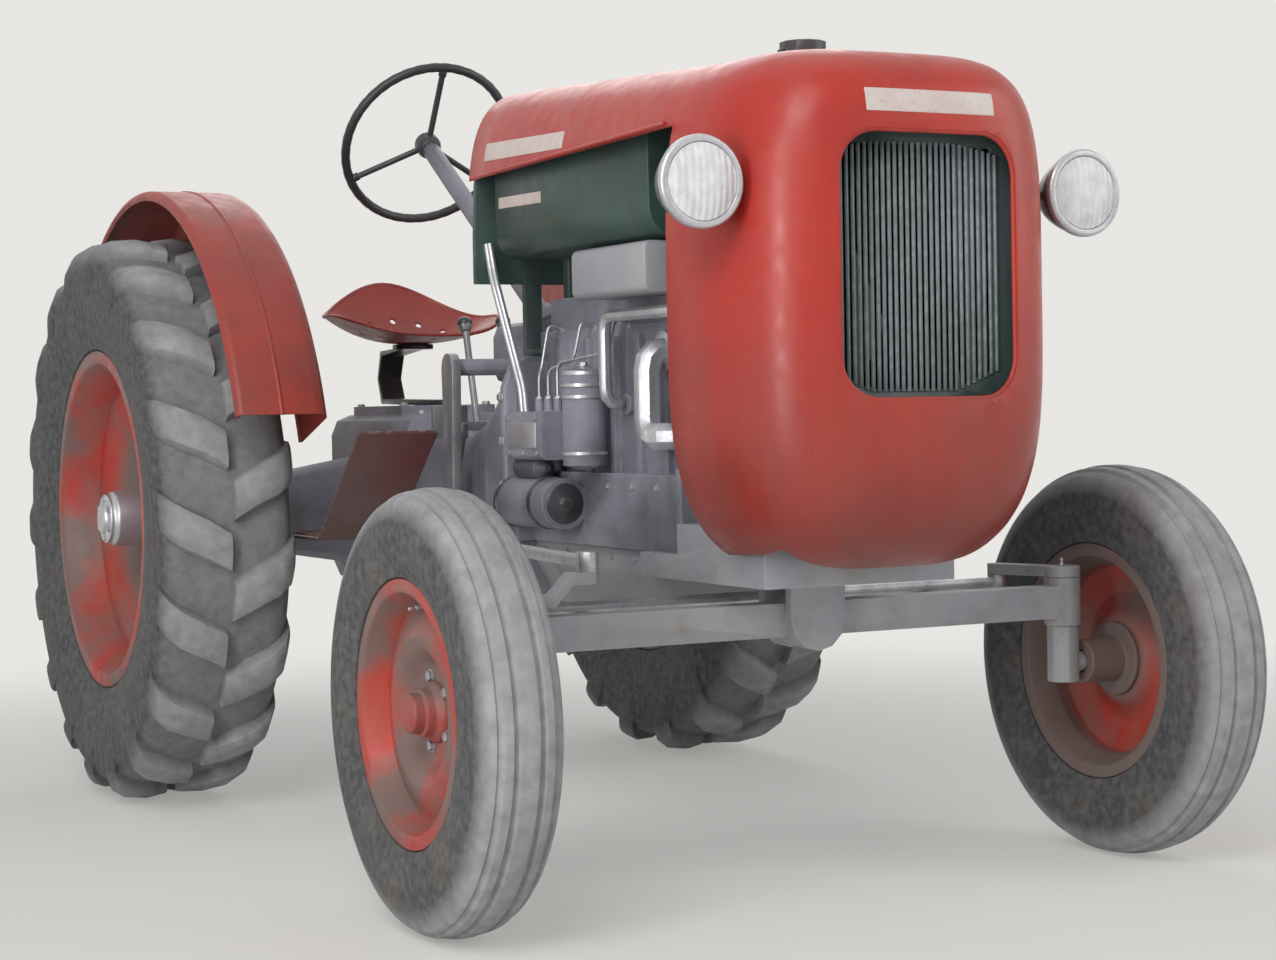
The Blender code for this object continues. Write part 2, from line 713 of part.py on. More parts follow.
def rear_axle_housing():
    """The differential case, with a flanged trumpet out to each wheel, and the power take-off behind."""
    case = loft(
        [
            rounded_section(HOUSING_BACK, HOUSING_HALF, HOUSING_BOTTOM_Z, HOUSING_TOP_Z, HOUSING_CORNER),
            rounded_section(HOUSING_FRONT, HOUSING_HALF, HOUSING_BOTTOM_Z, HOUSING_TOP_Z, HOUSING_CORNER),
        ]
    )
    cover = box(
        -COVER_HALF, COVER_HALF, COVER_BACK, COVER_FRONT, HOUSING_TOP_Z - EMBED, HOUSING_TOP_Z + COVER_HEIGHT
    )
    pieces = [case, cover]
    for side in (RIGHT, LEFT):
        profile = [
            (0, HOUSING_HALF - OVERRUN),
            (TRUMPET_ROOT_RADIUS, HOUSING_HALF - OVERRUN),
            (TRUMPET_ROOT_RADIUS, HOUSING_HALF + OVERRUN),
            (TRUMPET_TIP_RADIUS, TRUMPET_END_X - TRUMPET_FLANGE),
            (TRUMPET_FLANGE_RADIUS, TRUMPET_END_X - TRUMPET_FLANGE),
            (TRUMPET_FLANGE_RADIUS, TRUMPET_END_X),
            (0, TRUMPET_END_X),
        ]
        pieces.append(turned(at(0, 0, AXLE_Z), (side, 0, 0), profile, ROUND_SIDES))
        pieces.append(
            box(
                *sorted((side * (TRUMPET_END_X - FENDER_SEAT_LENGTH), side * (TRUMPET_END_X - EMBED))),
                -FENDER_SEAT_HALF,
                FENDER_SEAT_HALF,
                AXLE_Z,
                FENDER_SEAT_Z,
            )
        )
    boss_end = HOUSING_BACK - PTO_BOSS_LENGTH
    pieces.append(rod(at(0, HOUSING_BACK + EMBED, PTO_Z), at(0, boss_end, PTO_Z), PTO_BOSS_RADIUS))
    stub_end = at(0, boss_end - PTO_LENGTH, PTO_Z)
    pieces.append(rod(at(0, boss_end + EMBED, PTO_Z), stub_end, PTO_RADIUS, THIN_SIDES))
    return node("rear_axle_housing", "cast_grey", pieces)


def gearbox_case(grown=0.0):
    """The gearbox, its waist and the clutch bell, larger all round for what bolts onto their slopes."""
    stations = (
        (GEARBOX_BACK, GEARBOX_BACK_HALF, HOUSING_BOTTOM_Z, GEARBOX_TOP_Z),
        (GEARBOX_WAIST_AHEAD, GEARBOX_WAIST_HALF, GEARBOX_WAIST_BOTTOM_Z, GEARBOX_TOP_Z),
        (CLUTCH_AHEAD, CLUTCH_HALF, GEARBOX_WAIST_BOTTOM_Z, CLUTCH_TOP_Z),
        (BELL_FRONT - BELL_FLANGE, BELL_HALF, BELL_BOTTOM_Z, BELL_TOP_Z),
    )
    return loft(
        [
            rounded_section(ahead, half + grown, bottom_z - grown, top_z + grown, GEARBOX_CORNER)
            for ahead, half, bottom_z, top_z in stations
        ]
    )


def gearbox():
    """The gearbox, its waist, and the bell that covers the clutch and bolts to the engine."""
    rim = BELL_FLANGE_RIM
    flange = loft(
        [
            rounded_section(
                ahead, BELL_HALF + rim, BELL_BOTTOM_Z - rim, BELL_TOP_Z + rim, GEARBOX_CORNER + rim
            )
            for ahead in (BELL_FRONT - BELL_FLANGE - EMBED / 2, BELL_FRONT)
        ]
    )
    pads = box(
        -BOARD_X + SEAM,
        BOARD_X - SEAM,
        BOARD_PAD_BACK,
        BOARD_PAD_FRONT,
        BOARD_Z - BOARD_PAD_HEIGHT / 2,
        BOARD_Z + BOARD_PAD_HEIGHT / 2,
    )
    steer_pad = box(
        -STEER_PAD_HALF,
        STEER_PAD_HALF,
        STEER_BOX_BACK,
        STEER_BOX_FRONT,
        GEARBOX_TOP_Z - EMBED,
        STEER_PAD_TOP_Z,
    )
    return node("gearbox", "cast_grey", [gearbox_case(), flange, pads, steer_pad])


def side_bodies():
    """The pump, filter, starter and dynamo that are bolted to the block's sides."""
    length = BLOCK_FRONT - BLOCK_BACK
    pump_back = BLOCK_BACK + length * INJECTOR_PUMP_BACK_SHARE
    pump_front = BLOCK_BACK + length * INJECTOR_PUMP_FRONT_SHARE
    pump_z = BLOCK_BOTTOM_Z + INJECTOR_PUMP_RISE
    pump_top = pump_z + INJECTOR_PUMP_HEIGHT
    outline = rounded(INJECTOR_PUMP_X, EMBED - BLOCK_HALF, pump_z, pump_top, INJECTOR_PUMP_CORNER)
    bodies = [front_prism(outline, pump_back, pump_front)]
    outlet_x = (INJECTOR_PUMP_X - BLOCK_HALF) / 2
    for i in range(OUTLETS):
        ahead = pump_back + (pump_front - pump_back) * (i + 1) / (OUTLETS + 1)
        foot = at(outlet_x, ahead, pump_top - EMBED)
        bodies.append(rod(foot, at(outlet_x, ahead, pump_top + OUTLET_HEIGHT), OUTLET_RADIUS))
    filter_ahead = BLOCK_BACK + length * FILTER_SHARE
    filter_z = BLOCK_BOTTOM_Z + FILTER_RISE
    filter_top = filter_z + FILTER_HEIGHT
    bowl_foot, bowl_top = (at(FILTER_X, filter_ahead, z) for z in (filter_z, filter_top))
    bowl = rod(bowl_foot, bowl_top, FILTER_RADIUS, FINE_SIDES)
    bracket = box(
        FILTER_X,
        EMBED - BLOCK_HALF,
        filter_ahead - FILTER_BRACKET / 2,
        filter_ahead + FILTER_BRACKET / 2,
        filter_top - 2 * FILTER_BRACKET,
        filter_top - FILTER_BRACKET,
    )
    starter_z = BLOCK_BOTTOM_Z + STARTER_RISE
    starter_back = at(STARTER_X, BLOCK_BACK + BLOCK_FLANGE, starter_z)
    starter_front = at(STARTER_X, BLOCK_BACK + BLOCK_FLANGE + STARTER_LENGTH, starter_z)
    starter = rod(starter_back, starter_front, STARTER_RADIUS, FINE_SIDES)
    dynamo_z = BLOCK_BOTTOM_Z + DYNAMO_RISE
    dynamo_front = BLOCK_FRONT - DYNAMO_SETBACK
    shaft_end = BLOCK_FRONT + CRANK_PULLEY_WIDTH
    case_back = at(DYNAMO_X, dynamo_front - DYNAMO_LENGTH, dynamo_z)
    case = rod(case_back, at(DYNAMO_X, dynamo_front, dynamo_z), DYNAMO_RADIUS, FINE_SIDES)
    shaft_foot = at(DYNAMO_X, dynamo_front - EMBED, dynamo_z)
    shaft = rod(shaft_foot, at(DYNAMO_X, shaft_end, dynamo_z), DYNAMO_SHAFT_RADIUS)
    pulley_foot = at(DYNAMO_X, BLOCK_FRONT + EMBED, dynamo_z)
    pulley = rod(pulley_foot, at(DYNAMO_X, shaft_end - EMBED, dynamo_z), DYNAMO_PULLEY_RADIUS, FINE_SIDES)
    middle = dynamo_front - DYNAMO_LENGTH / 2
    arm = box(
        BLOCK_HALF - EMBED,
        DYNAMO_X,
        middle - DYNAMO_BRACKET_HALF,
        middle + DYNAMO_BRACKET_HALF,
        dynamo_z - DYNAMO_BRACKET_HALF,
        dynamo_z + DYNAMO_BRACKET_HALF,
    )
    return bodies + [bowl, bracket, starter, case, shaft, pulley, arm]


def engine_block():
    """The cylinder block on its crankcase, with flanges, ribs, crank pulley and the water pump's nose."""
    cylinders = box(-BLOCK_HALF, BLOCK_HALF, BLOCK_BACK, BLOCK_FRONT, BLOCK_BOTTOM_Z, BLOCK_TOP_Z)
    crankcase = box(
        -CRANKCASE_HALF,
        CRANKCASE_HALF,
        BLOCK_BACK + BLOCK_FLANGE,
        BLOCK_FRONT - BLOCK_FLANGE,
        BLOCK_BOTTOM_Z,
        CRANKCASE_TOP_Z,
    )
    back_flange = box(
        -BELL_HALF, BELL_HALF, BLOCK_BACK, BLOCK_BACK + BLOCK_FLANGE + EMBED, BLOCK_BOTTOM_Z, BELL_TOP_Z
    )
    front_flange = box(
        -CRANKCASE_HALF - BLOCK_RIB,
        CRANKCASE_HALF + BLOCK_RIB,
        BLOCK_FRONT - BLOCK_FLANGE - EMBED,
        BLOCK_FRONT - EMBED,
        BLOCK_BOTTOM_Z,
        CRANKCASE_TOP_Z + BLOCK_RIB,
    )
    pieces = [cylinders, crankcase, back_flange, front_flange]
    spacing = (BLOCK_FRONT - BLOCK_BACK - 2 * BLOCK_FLANGE) / (BLOCK_RIBS + 1)
    for i in range(BLOCK_RIBS):
        middle = BLOCK_BACK + BLOCK_FLANGE + spacing * (i + 1)
        pieces.append(
            box(
                -BLOCK_HALF - BLOCK_RIB,
                BLOCK_HALF + BLOCK_RIB,
                middle - BLOCK_RIB_WIDTH / 2,
                middle + BLOCK_RIB_WIDTH / 2,
                CRANKCASE_TOP_Z - EMBED,
                BLOCK_TOP_Z - BLOCK_RIB_WIDTH,
            )
        )
    for ahead, z, radius in SIDE_BOSSES:
        root = at(SIDE_BOSS_X + BLOCK_RIB + EMBED, ahead, z)
        pieces.append(rod(root, at(SIDE_BOSS_X, ahead, z), radius))
    pieces += side_bodies()
    crank_end = at(0, BLOCK_FRONT + CRANK_PULLEY_WIDTH, CRANK_PULLEY_Z)
    crank = at(0, BLOCK_FRONT - EMBED, CRANK_PULLEY_Z)
    pieces.append(rod(crank, crank_end, CRANK_PULLEY_RADIUS, FINE_SIDES))
    pump = at(0, BLOCK_FRONT - EMBED, FAN_Z)
    pieces.append(rod(pump, at(0, BLOCK_FRONT + PUMP_LENGTH, FAN_Z), PUMP_RADIUS))
    return node("engine_block", "cast_grey", pieces)


def cylinder_head():
    """The head with its rocker cover, the manifold and exhaust, and the coolant pipe to the radiator."""
    head = box(-HEAD_HALF, HEAD_HALF, HEAD_BACK, HEAD_FRONT, HEAD_BOTTOM_Z, HEAD_TOP_Z)
    low = HEAD_TOP_Z - ROCKER_CORNER
    outline = rounded(-ROCKER_HALF, ROCKER_HALF, low, ROCKER_TOP_Z, ROCKER_CORNER)
    cover = front_prism(outline, HEAD_BACK + ROCKER_INSET, HEAD_FRONT - ROCKER_INSET)
    manifold_z = HEAD_TOP_Z - MANIFOLD_DROP
    manifold_back = HEAD_BACK + (HEAD_FRONT - HEAD_BACK) * MANIFOLD_BACK_SHARE
    manifold_front = HEAD_BACK + (HEAD_FRONT - HEAD_BACK) * MANIFOLD_FRONT_SHARE
    log_back, log_front = (at(MANIFOLD_X, ahead, manifold_z) for ahead in (manifold_back, manifold_front))
    pieces = [head, cover, rod(log_back, log_front, MANIFOLD_RADIUS)]
    for i in range(PORTS):
        ahead = manifold_back + (manifold_front - manifold_back) * (i + 1) / (PORTS + 1)
        port_foot = at(HEAD_HALF - EMBED, ahead, manifold_z)
        pieces.append(rod(port_foot, at(MANIFOLD_X, ahead, manifold_z), PORT_RADIUS))
    down_ahead = manifold_back + MANIFOLD_RADIUS
    route = [
        at(MANIFOLD_X, down_ahead, manifold_z),
        at(EXHAUST_X, down_ahead, manifold_z),
        at(EXHAUST_X, down_ahead, EXHAUST_Z),
        at(EXHAUST_X, EXHAUST_END_AHEAD, EXHAUST_Z),
    ]
    pieces.append(pipe(bent(route, EXHAUST_BEND), EXHAUST_RADIUS))
    muffler_ends = (at(EXHAUST_X, ahead, EXHAUST_Z) for ahead in (MUFFLER_BACK, MUFFLER_FRONT))
    pieces.append(rod(*muffler_ends, MUFFLER_RADIUS, FINE_SIDES))
    coolant_ahead = HEAD_FRONT - COOLANT_SETBACK
    coolant_z = HEAD_TOP_Z - COOLANT_DROP
    route = [
        at(HEAD_HALF - EMBED, coolant_ahead, coolant_z),
        at(COOLANT_X, coolant_ahead, coolant_z),
        at(COOLANT_X, RADIATOR_BACK - SEAM, coolant_z),
    ]
    pieces.append(pipe(bent(route, COOLANT_BEND), COOLANT_RADIUS))
    return node("cylinder_head", "cast_grey", pieces)


def sump_casting():
    """The oil pan, the front support that runs on from it, and the lugs that hold the axle's pivot pin."""
    pan = loft(
        [
            [
                at(x, ahead, z)
                for x, z in (
                    (-SUMP_HALF, SUMP_TOP_Z),
                    (-SUMP_HALF, SUPPORT_BOTTOM_Z),
                    (-SUMP_BOTTOM_HALF, SUMP_BOTTOM_Z),
                    (SUMP_BOTTOM_HALF, SUMP_BOTTOM_Z),
                    (SUMP_HALF, SUPPORT_BOTTOM_Z),
                    (SUMP_HALF, SUMP_TOP_Z),
                )
            ]
            for ahead in (BLOCK_BACK, SUMP_FRONT)
        ]
    )
    wide = (-SUPPORT_HALF, SUPPORT_HALF)
    under_engine = box(*wide, SUMP_FRONT - EMBED, BLOCK_FRONT + EMBED, SUPPORT_BOTTOM_Z, SUMP_TOP_Z)
    support = box(*wide, BLOCK_FRONT + SEAM, SUPPORT_FRONT, SUPPORT_BOTTOM_Z, SUPPORT_TOP_Z)
    pieces = [pan, under_engine, support]
    lug_inner = PIVOT_BOSS_HALF + SEAM
    for low, high in ((-lug_inner - PIVOT_LUG, -lug_inner), (lug_inner, lug_inner + PIVOT_LUG)):
        root_z = SUPPORT_BOTTOM_Z + EMBED
        outline = arc((0, BEAM_Z), PIVOT_LUG_HALF, -math.pi, 0, ARC_STEPS)
        outline += [(PIVOT_LUG_HALF, root_z), (-PIVOT_LUG_HALF, root_z)]
        pieces.append(front_prism(outline, BEAM_AHEAD + low, BEAM_AHEAD + high))
    pin_reach = lug_inner + PIVOT_LUG / 2
    pin_back = at(0, BEAM_AHEAD - pin_reach, BEAM_Z)
    pieces.append(rod(pin_back, at(0, BEAM_AHEAD + pin_reach, BEAM_Z), PIVOT_PIN_RADIUS))
    return node("sump_casting", "cast_grey", pieces)


def front_axle():
    """The straight beam, its pivot boss, and an upright boss for the kingpin at each end."""
    beam = box(
        -KINGPIN_X,
        KINGPIN_X,
        BEAM_AHEAD - BEAM_HALF_DEPTH,
        BEAM_AHEAD + BEAM_HALF_DEPTH,
        BEAM_Z - BEAM_HALF_HEIGHT,
        BEAM_Z + BEAM_HALF_HEIGHT,
    )
    pieces = [
        beam,
        rod(
            at(0, BEAM_AHEAD - PIVOT_BOSS_HALF, BEAM_Z),
            at(0, BEAM_AHEAD + PIVOT_BOSS_HALF, BEAM_Z),
            PIVOT_BOSS_RADIUS,
            FINE_SIDES,
        ),
    ]
    pivot = rod(
        at(0, BEAM_AHEAD - PIVOT_BOSS_HALF - OVERRUN, BEAM_Z),
        at(0, BEAM_AHEAD + PIVOT_BOSS_HALF + OVERRUN, BEAM_Z),
        bore_radius(PIVOT_PIN_RADIUS, SEAM, ROUND_SIDES),
    )
    cuts = [pivot]
    for side in (RIGHT, LEFT):
        x = side * KINGPIN_X
        pieces.append(
            rod(
                at(x, BEAM_AHEAD, BEAM_Z - KINGPIN_BOSS_HALF),
                at(x, BEAM_AHEAD, BEAM_Z + KINGPIN_BOSS_HALF),
                KINGPIN_BOSS_RADIUS,
            )
        )
        cuts.append(
            rod(
                at(x, BEAM_AHEAD, BEAM_Z - KINGPIN_BOSS_HALF - OVERRUN),
                at(x, BEAM_AHEAD, BEAM_Z + KINGPIN_BOSS_HALF + OVERRUN),
                bore_radius(KINGPIN_RADIUS, RUNNING_CLEARANCE, ROUND_SIDES),
            )
        )
    return node("front_axle", "steel", pieces, cuts)


# Steered ends of the front axle
KINGPIN_INSET = 0.126
KINGPIN_X = FRONT_TRACK / 2 - KINGPIN_INSET
KINGPIN_RADIUS = 0.014
KINGPIN_BOSS_RADIUS = 0.034
KINGPIN_BOSS_HALF = 0.045
KNUCKLE_GAP = 0.001
POST_RADIUS = 0.03
POST_FOOT = 0.035
POST_BOTTOM_Z = FRONT_TYRE_RADIUS - POST_FOOT
ARM_THICKNESS = 0.02
ARM_HALF = 0.02
TIE_ARM_LENGTH = 0.14
TIE_ARM_INSET = 0.047
DRAG_ARM_LENGTH = 0.15
DRAG_ARM_BEND = 0.035
BALL_HOUSING_RADIUS = 0.02
BALL_HOUSING_HEIGHT = 0.034
TRACK_ROD_RADIUS = 0.012
ARM_Z = BEAM_Z + KINGPIN_BOSS_HALF + KNUCKLE_GAP
ARM_TOP_Z = ARM_Z + ARM_THICKNESS
TIE_ROD_Z = ARM_Z - SEAM - BALL_HOUSING_HEIGHT / 2
DRAG_ARM_TOP_Z = ARM_TOP_Z + DRAG_ARM_BEND
DRAG_ROD_Z = DRAG_ARM_TOP_Z + SEAM + BALL_HOUSING_HEIGHT / 2
TIE_EYE_X = KINGPIN_X - TIE_ARM_INSET
TIE_EYE_AHEAD = BEAM_AHEAD - TIE_ARM_LENGTH
DRAG_EYE_X = KINGPIN_X - DRAG_ARM_LENGTH


def knuckle(side_name):
    """The kingpin and its post, the spindle, the track rod arm, and on the right the drag link's arm."""
    side = SIDES[side_name]
    x = side * KINGPIN_X
    spindle_end = side * (FRONT_TRACK / 2 + SPINDLE_END_X)
    post_top = BEAM_Z - KINGPIN_BOSS_HALF - KNUCKLE_GAP
    arm_top = at(x, BEAM_AHEAD, ARM_TOP_Z)
    post = rod(at(x, BEAM_AHEAD, POST_BOTTOM_Z), at(x, BEAM_AHEAD, post_top), POST_RADIUS)
    pin = rod(at(x, BEAM_AHEAD, post_top - EMBED), arm_top, KINGPIN_RADIUS)
    axle = at(x, BEAM_AHEAD, FRONT_TYRE_RADIUS)
    spindle = rod(axle, at(spindle_end, BEAM_AHEAD, FRONT_TYRE_RADIUS), SPINDLE_RADIUS)
    head = rod(at(x, BEAM_AHEAD, ARM_Z), arm_top, KINGPIN_BOSS_RADIUS)
    tie_x = side * TIE_EYE_X
    tie_arm = top_prism(
        [
            (x - ARM_HALF, BEAM_AHEAD),
            (x + ARM_HALF, BEAM_AHEAD),
            (tie_x + ARM_HALF, TIE_EYE_AHEAD),
            (tie_x - ARM_HALF, TIE_EYE_AHEAD),
        ],
        ARM_Z,
        ARM_TOP_Z,
    )
    tie_eye = rod(at(tie_x, TIE_EYE_AHEAD, ARM_Z), at(tie_x, TIE_EYE_AHEAD, ARM_TOP_Z), ARM_HALF)
    pieces = [post, pin, spindle, head, tie_arm, tie_eye]
    if side == RIGHT:
        eye_x = side * DRAG_EYE_X
        bend_x = eye_x + side * DRAG_ARM_BEND
        step_x = bend_x + side * DRAG_ARM_BEND
        profile = [
            (x, ARM_Z),
            (step_x, ARM_Z),
            (bend_x, DRAG_ARM_TOP_Z - ARM_THICKNESS),
            (eye_x, DRAG_ARM_TOP_Z - ARM_THICKNESS),
            (eye_x, DRAG_ARM_TOP_Z),
            (bend_x, DRAG_ARM_TOP_Z),
            (step_x, ARM_TOP_Z),
            (x, ARM_TOP_Z),
        ]
        pieces.append(front_prism(profile, BEAM_AHEAD - ARM_HALF, BEAM_AHEAD + ARM_HALF))
        eye = at(eye_x, BEAM_AHEAD, DRAG_ARM_TOP_Z)
        pieces.append(rod(at(eye_x, BEAM_AHEAD, DRAG_ARM_TOP_Z - ARM_THICKNESS), eye, ARM_HALF))
    return node(f"knuckle_{side_name}", "steel", pieces)


def ball_housing(x, ahead, z):
    half = BALL_HOUSING_HEIGHT / 2
    return rod(at(x, ahead, z - half), at(x, ahead, z + half), BALL_HOUSING_RADIUS)


def tie_rod():
    ends = [at(side * TIE_EYE_X, TIE_EYE_AHEAD, TIE_ROD_Z) for side in (RIGHT, LEFT)]
    pieces = [rod(*ends, TRACK_ROD_RADIUS, THIN_SIDES)]
    pieces += [ball_housing(side * TIE_EYE_X, TIE_EYE_AHEAD, TIE_ROD_Z) for side in (RIGHT, LEFT)]
    return node("tie_rod", "steel", pieces)


# Radius rods that hold the beam back to the clutch housing
ROD_BEAM_INSET = 0.17
ROD_BEAM_X = KINGPIN_X - ROD_BEAM_INSET
RADIUS_ROD_RADIUS = 0.013
ROD_SOCKET_HALF = 0.035
ROD_SOCKET_HEIGHT = 0.05
ROD_PLATE_HALF = 0.025
ROD_PLATE = 0.012


def radius_rods():
    socket_top = BELL_BOTTOM_Z - BELL_FLANGE_RIM - SEAM
    socket_back = BELL_FRONT - BELL_FLANGE
    socket = box(
        -ROD_SOCKET_HALF, ROD_SOCKET_HALF, socket_back, BELL_FRONT, socket_top - ROD_SOCKET_HEIGHT, socket_top
    )
    pieces = [socket]
    plate_front = BEAM_AHEAD - BEAM_HALF_DEPTH - SEAM
    for side in (RIGHT, LEFT):
        x = side * ROD_BEAM_X
        socket_z = socket_top - ROD_SOCKET_HEIGHT + RADIUS_ROD_RADIUS
        start = at(side * ROD_SOCKET_HALF / 2, socket_back + BELL_FLANGE / 2, socket_z)
        end = at(x, plate_front - ROD_PLATE / 2, BEAM_Z)
        pieces.append(rod(start, end, RADIUS_ROD_RADIUS, THIN_SIDES))
        pieces.append(
            box(
                x - ROD_PLATE_HALF,
                x + ROD_PLATE_HALF,
                plate_front - ROD_PLATE,
                plate_front,
                BEAM_Z - ROD_PLATE_HALF,
                BEAM_Z + ROD_PLATE_HALF,
            )
        )
    return node("radius_rods", "steel", pieces)


# Steering box, column, wheel, drop arm and drag link
STEER_PAD_HALF = 0.07
STEER_PAD_TOP_Z = 0.92
STEER_BOX_BACK = 0.62
STEER_BOX_FRONT = 0.79
STEER_BOX_RIGHT_X = -0.1
STEER_BOX_LEFT_X = 0.07
STEER_BOX_HEIGHT = 0.13
STEER_BOX_CORNER = 0.03
SECTOR_AHEAD = 0.74
SECTOR_Z = 0.955
SECTOR_RADIUS = 0.018
COLUMN_TOP_AHEAD = 0.02
COLUMN_TOP_Z = 1.505
COLUMN_FOOT_AHEAD = 0.735
COLUMN_FOOT_Z = 1.015
COLUMN_RADIUS = 0.021
COLLAR_RADIUS = 0.03
COLLAR_LENGTH = 0.05
STEERING_RADIUS = 0.205
STEERING_GRIP_RADIUS = 0.012
STEERING_HUB_RADIUS = 0.03
STEERING_HUB_HEIGHT = 0.045
STEERING_HUB_DROP = 0.03
SPOKE_RADIUS = 0.008
SPOKES = 3
GRIP_SIDES = 6
GRIP_STEPS = 26
DROP_ARM_X = 0.24
DROP_ARM = 0.02
DROP_ARM_TOP_HALF = 0.03
DROP_ARM_FOOT_HALF = 0.018
DROP_BALL_RADIUS = 0.0144
DROP_BALL_LENGTH = 0.012
DRAG_END_RADIUS = 0.02
DRAG_END_LENGTH = 0.034
COLUMN_TOP = at(0, COLUMN_TOP_AHEAD, COLUMN_TOP_Z)
COLUMN_FOOT = at(0, COLUMN_FOOT_AHEAD, COLUMN_FOOT_Z)
COLUMN_WAY = (COLUMN_TOP - COLUMN_FOOT).normalized()


def steering_column():
    """The steering box on the gearbox, its cross shaft to the drop arm, and the column up to the wheel."""
    base = STEER_PAD_TOP_Z + SEAM
    outline = rounded(
        STEER_BOX_RIGHT_X, STEER_BOX_LEFT_X, base, base + STEER_BOX_HEIGHT, STEER_BOX_CORNER, 2
    )
    case = front_prism(outline, STEER_BOX_BACK, STEER_BOX_FRONT)
    shaft = rod(
        at(STEER_BOX_RIGHT_X + OVERRUN, SECTOR_AHEAD, SECTOR_Z),
        at(-DROP_ARM_X + SEAM, SECTOR_AHEAD, SECTOR_Z),
        SECTOR_RADIUS,
    )
    column_end = COLUMN_TOP - COLUMN_WAY * (STEERING_HUB_DROP + SEAM)
    column = rod(COLUMN_FOOT, column_end, COLUMN_RADIUS)
    collar_start = COLUMN_FOOT + COLUMN_WAY * COLLAR_LENGTH
    collar = rod(collar_start, collar_start + COLUMN_WAY * COLLAR_LENGTH, COLLAR_RADIUS)
    return node("steering_column", "steel", [case, shaft, column, collar])


def steering_wheel():
    hub = rod(
        COLUMN_TOP - COLUMN_WAY * STEERING_HUB_DROP,
        COLUMN_TOP + COLUMN_WAY * (STEERING_HUB_HEIGHT - STEERING_HUB_DROP),
        STEERING_HUB_RADIUS,
    )
    grip_profile = [
        (STEERING_RADIUS + STEERING_GRIP_RADIUS * math.cos(a), STEERING_GRIP_RADIUS * math.sin(a))
        for a in (TURN * i / GRIP_SIDES for i in range(GRIP_SIDES))
    ]
    grip = turned(COLUMN_TOP, COLUMN_WAY, grip_profile, GRIP_STEPS)
    up = Vector((1, 0, 0)).cross(COLUMN_WAY)
    pieces = [hub, grip]
    for i in range(SPOKES):
        angle = math.pi / 2 + TURN * i / SPOKES
        way = up * math.sin(angle) + Vector((1, 0, 0)) * math.cos(angle)
        pieces.append(rod(COLUMN_TOP, COLUMN_TOP + way * STEERING_RADIUS, SPOKE_RADIUS, THIN_SIDES))
    return node("steering_wheel", "black", pieces)


def drop_arm():
    inner, outer = -DROP_ARM_X, -DROP_ARM_X - DROP_ARM
    top = arc((SECTOR_AHEAD, SECTOR_Z), DROP_ARM_TOP_HALF, 0, math.pi, ARC_STEPS)
    foot = arc((SECTOR_AHEAD, DRAG_ROD_Z), DROP_ARM_FOOT_HALF, math.pi, TURN, ARC_STEPS)
    arm = side_prism(top + foot, outer, inner)
    ball = rod(
        at(outer + EMBED, SECTOR_AHEAD, DRAG_ROD_Z),
        at(outer - DROP_BALL_LENGTH, SECTOR_AHEAD, DRAG_ROD_Z),
        DROP_BALL_RADIUS,
    )
    return node("drop_arm", "steel", [arm, ball])


def drag_link():
    inner = -DROP_ARM_X - DROP_ARM - DROP_BALL_LENGTH - SEAM
    end = at(inner - DRAG_END_LENGTH, SECTOR_AHEAD, DRAG_ROD_Z)
    rear = rod(at(inner, SECTOR_AHEAD, DRAG_ROD_Z), end, DRAG_END_RADIUS)
    link = rod(
        at(inner - DRAG_END_LENGTH / 2, SECTOR_AHEAD, DRAG_ROD_Z),
        at(-DRAG_EYE_X, BEAM_AHEAD, DRAG_ROD_Z),
        TRACK_ROD_RADIUS,
        THIN_SIDES,
    )
    return node("drag_link", "steel", [link, rear, ball_housing(-DRAG_EYE_X, BEAM_AHEAD, DRAG_ROD_Z)])


# Bonnet and nose: one pressed shell
BONNET_BACK = 0.87
TANK_HALF = 0.235
TANK_SIDE_GAP = 0.027
BONNET_BACK_HALF = TANK_HALF + TANK_SIDE_GAP
NOSE_HALF = 0.32
NOSE_BOTTOM_Z = 0.577
NOSE_DEPTH = 0.311
NOSE_SIDE_BACK = NOSE_AHEAD - NOSE_DEPTH
NOSE_HEIGHT = CROWN_FRONT_Z - NOSE_BOTTOM_Z
SECTION_POINTS = 32
CROWN_POWER = 4.6
CHIN_POWER = 3.4
# From the front back, as shares: depth behind the nose, half width, drop of the crown, rise of the chin
NOSE_SHARES = (
    (0.0, 0.4, 0.15, 0.26),
    (0.025, 0.56, 0.095, 0.16),
    (0.11, 0.735, 0.05, 0.09),
    (0.27, 0.865, 0.02, 0.04),
    (0.54, 0.965, 0.004, 0.005),
    (1.0, 1.0, 0.0, 0.0),
)
MOUTH_HALF = 0.21
MOUTH_MARGIN = 0.09
MOUTH_BACK = NOSE_SIDE_BACK - MOUTH_MARGIN / 2
MOUTH_FRONT = SUPPORT_FRONT + MOUTH_MARGIN
MOUTH_TOP_Z = 0.625
GRILLE_HALF = 0.17
GRILLE_BOTTOM_Z = 0.866
GRILLE_TOP_Z = 1.3
GRILLE_CORNER = 0.07
GRILLE_SETBACK = 0.066
GRILLE_AHEAD = NOSE_AHEAD - GRILLE_SETBACK
GRILLE_DEPTH = 0.012
GRILLE_SLOTS = 13
GRILLE_SLOT = 0.014
GRILLE_SLOT_MARGIN = 0.02
GRILLE_STRAIGHT_SHARE = 0.5
GRILLE_PLATE_BOTTOM_Z = 0.8
GRILLE_PLATE_TOP_Z = 1.34
RADIATOR_GAP = 0.115
RADIATOR_BACK = BLOCK_FRONT + RADIATOR_GAP
FILLER_SETBACK = 0.03
FILLER_AHEAD = RADIATOR_BACK + FILLER_SETBACK
FILLER_NECK_RADIUS = 0.028
FILLER_HOLE_RADIUS = 0.034
FILLER_CAP_RADIUS = 0.042
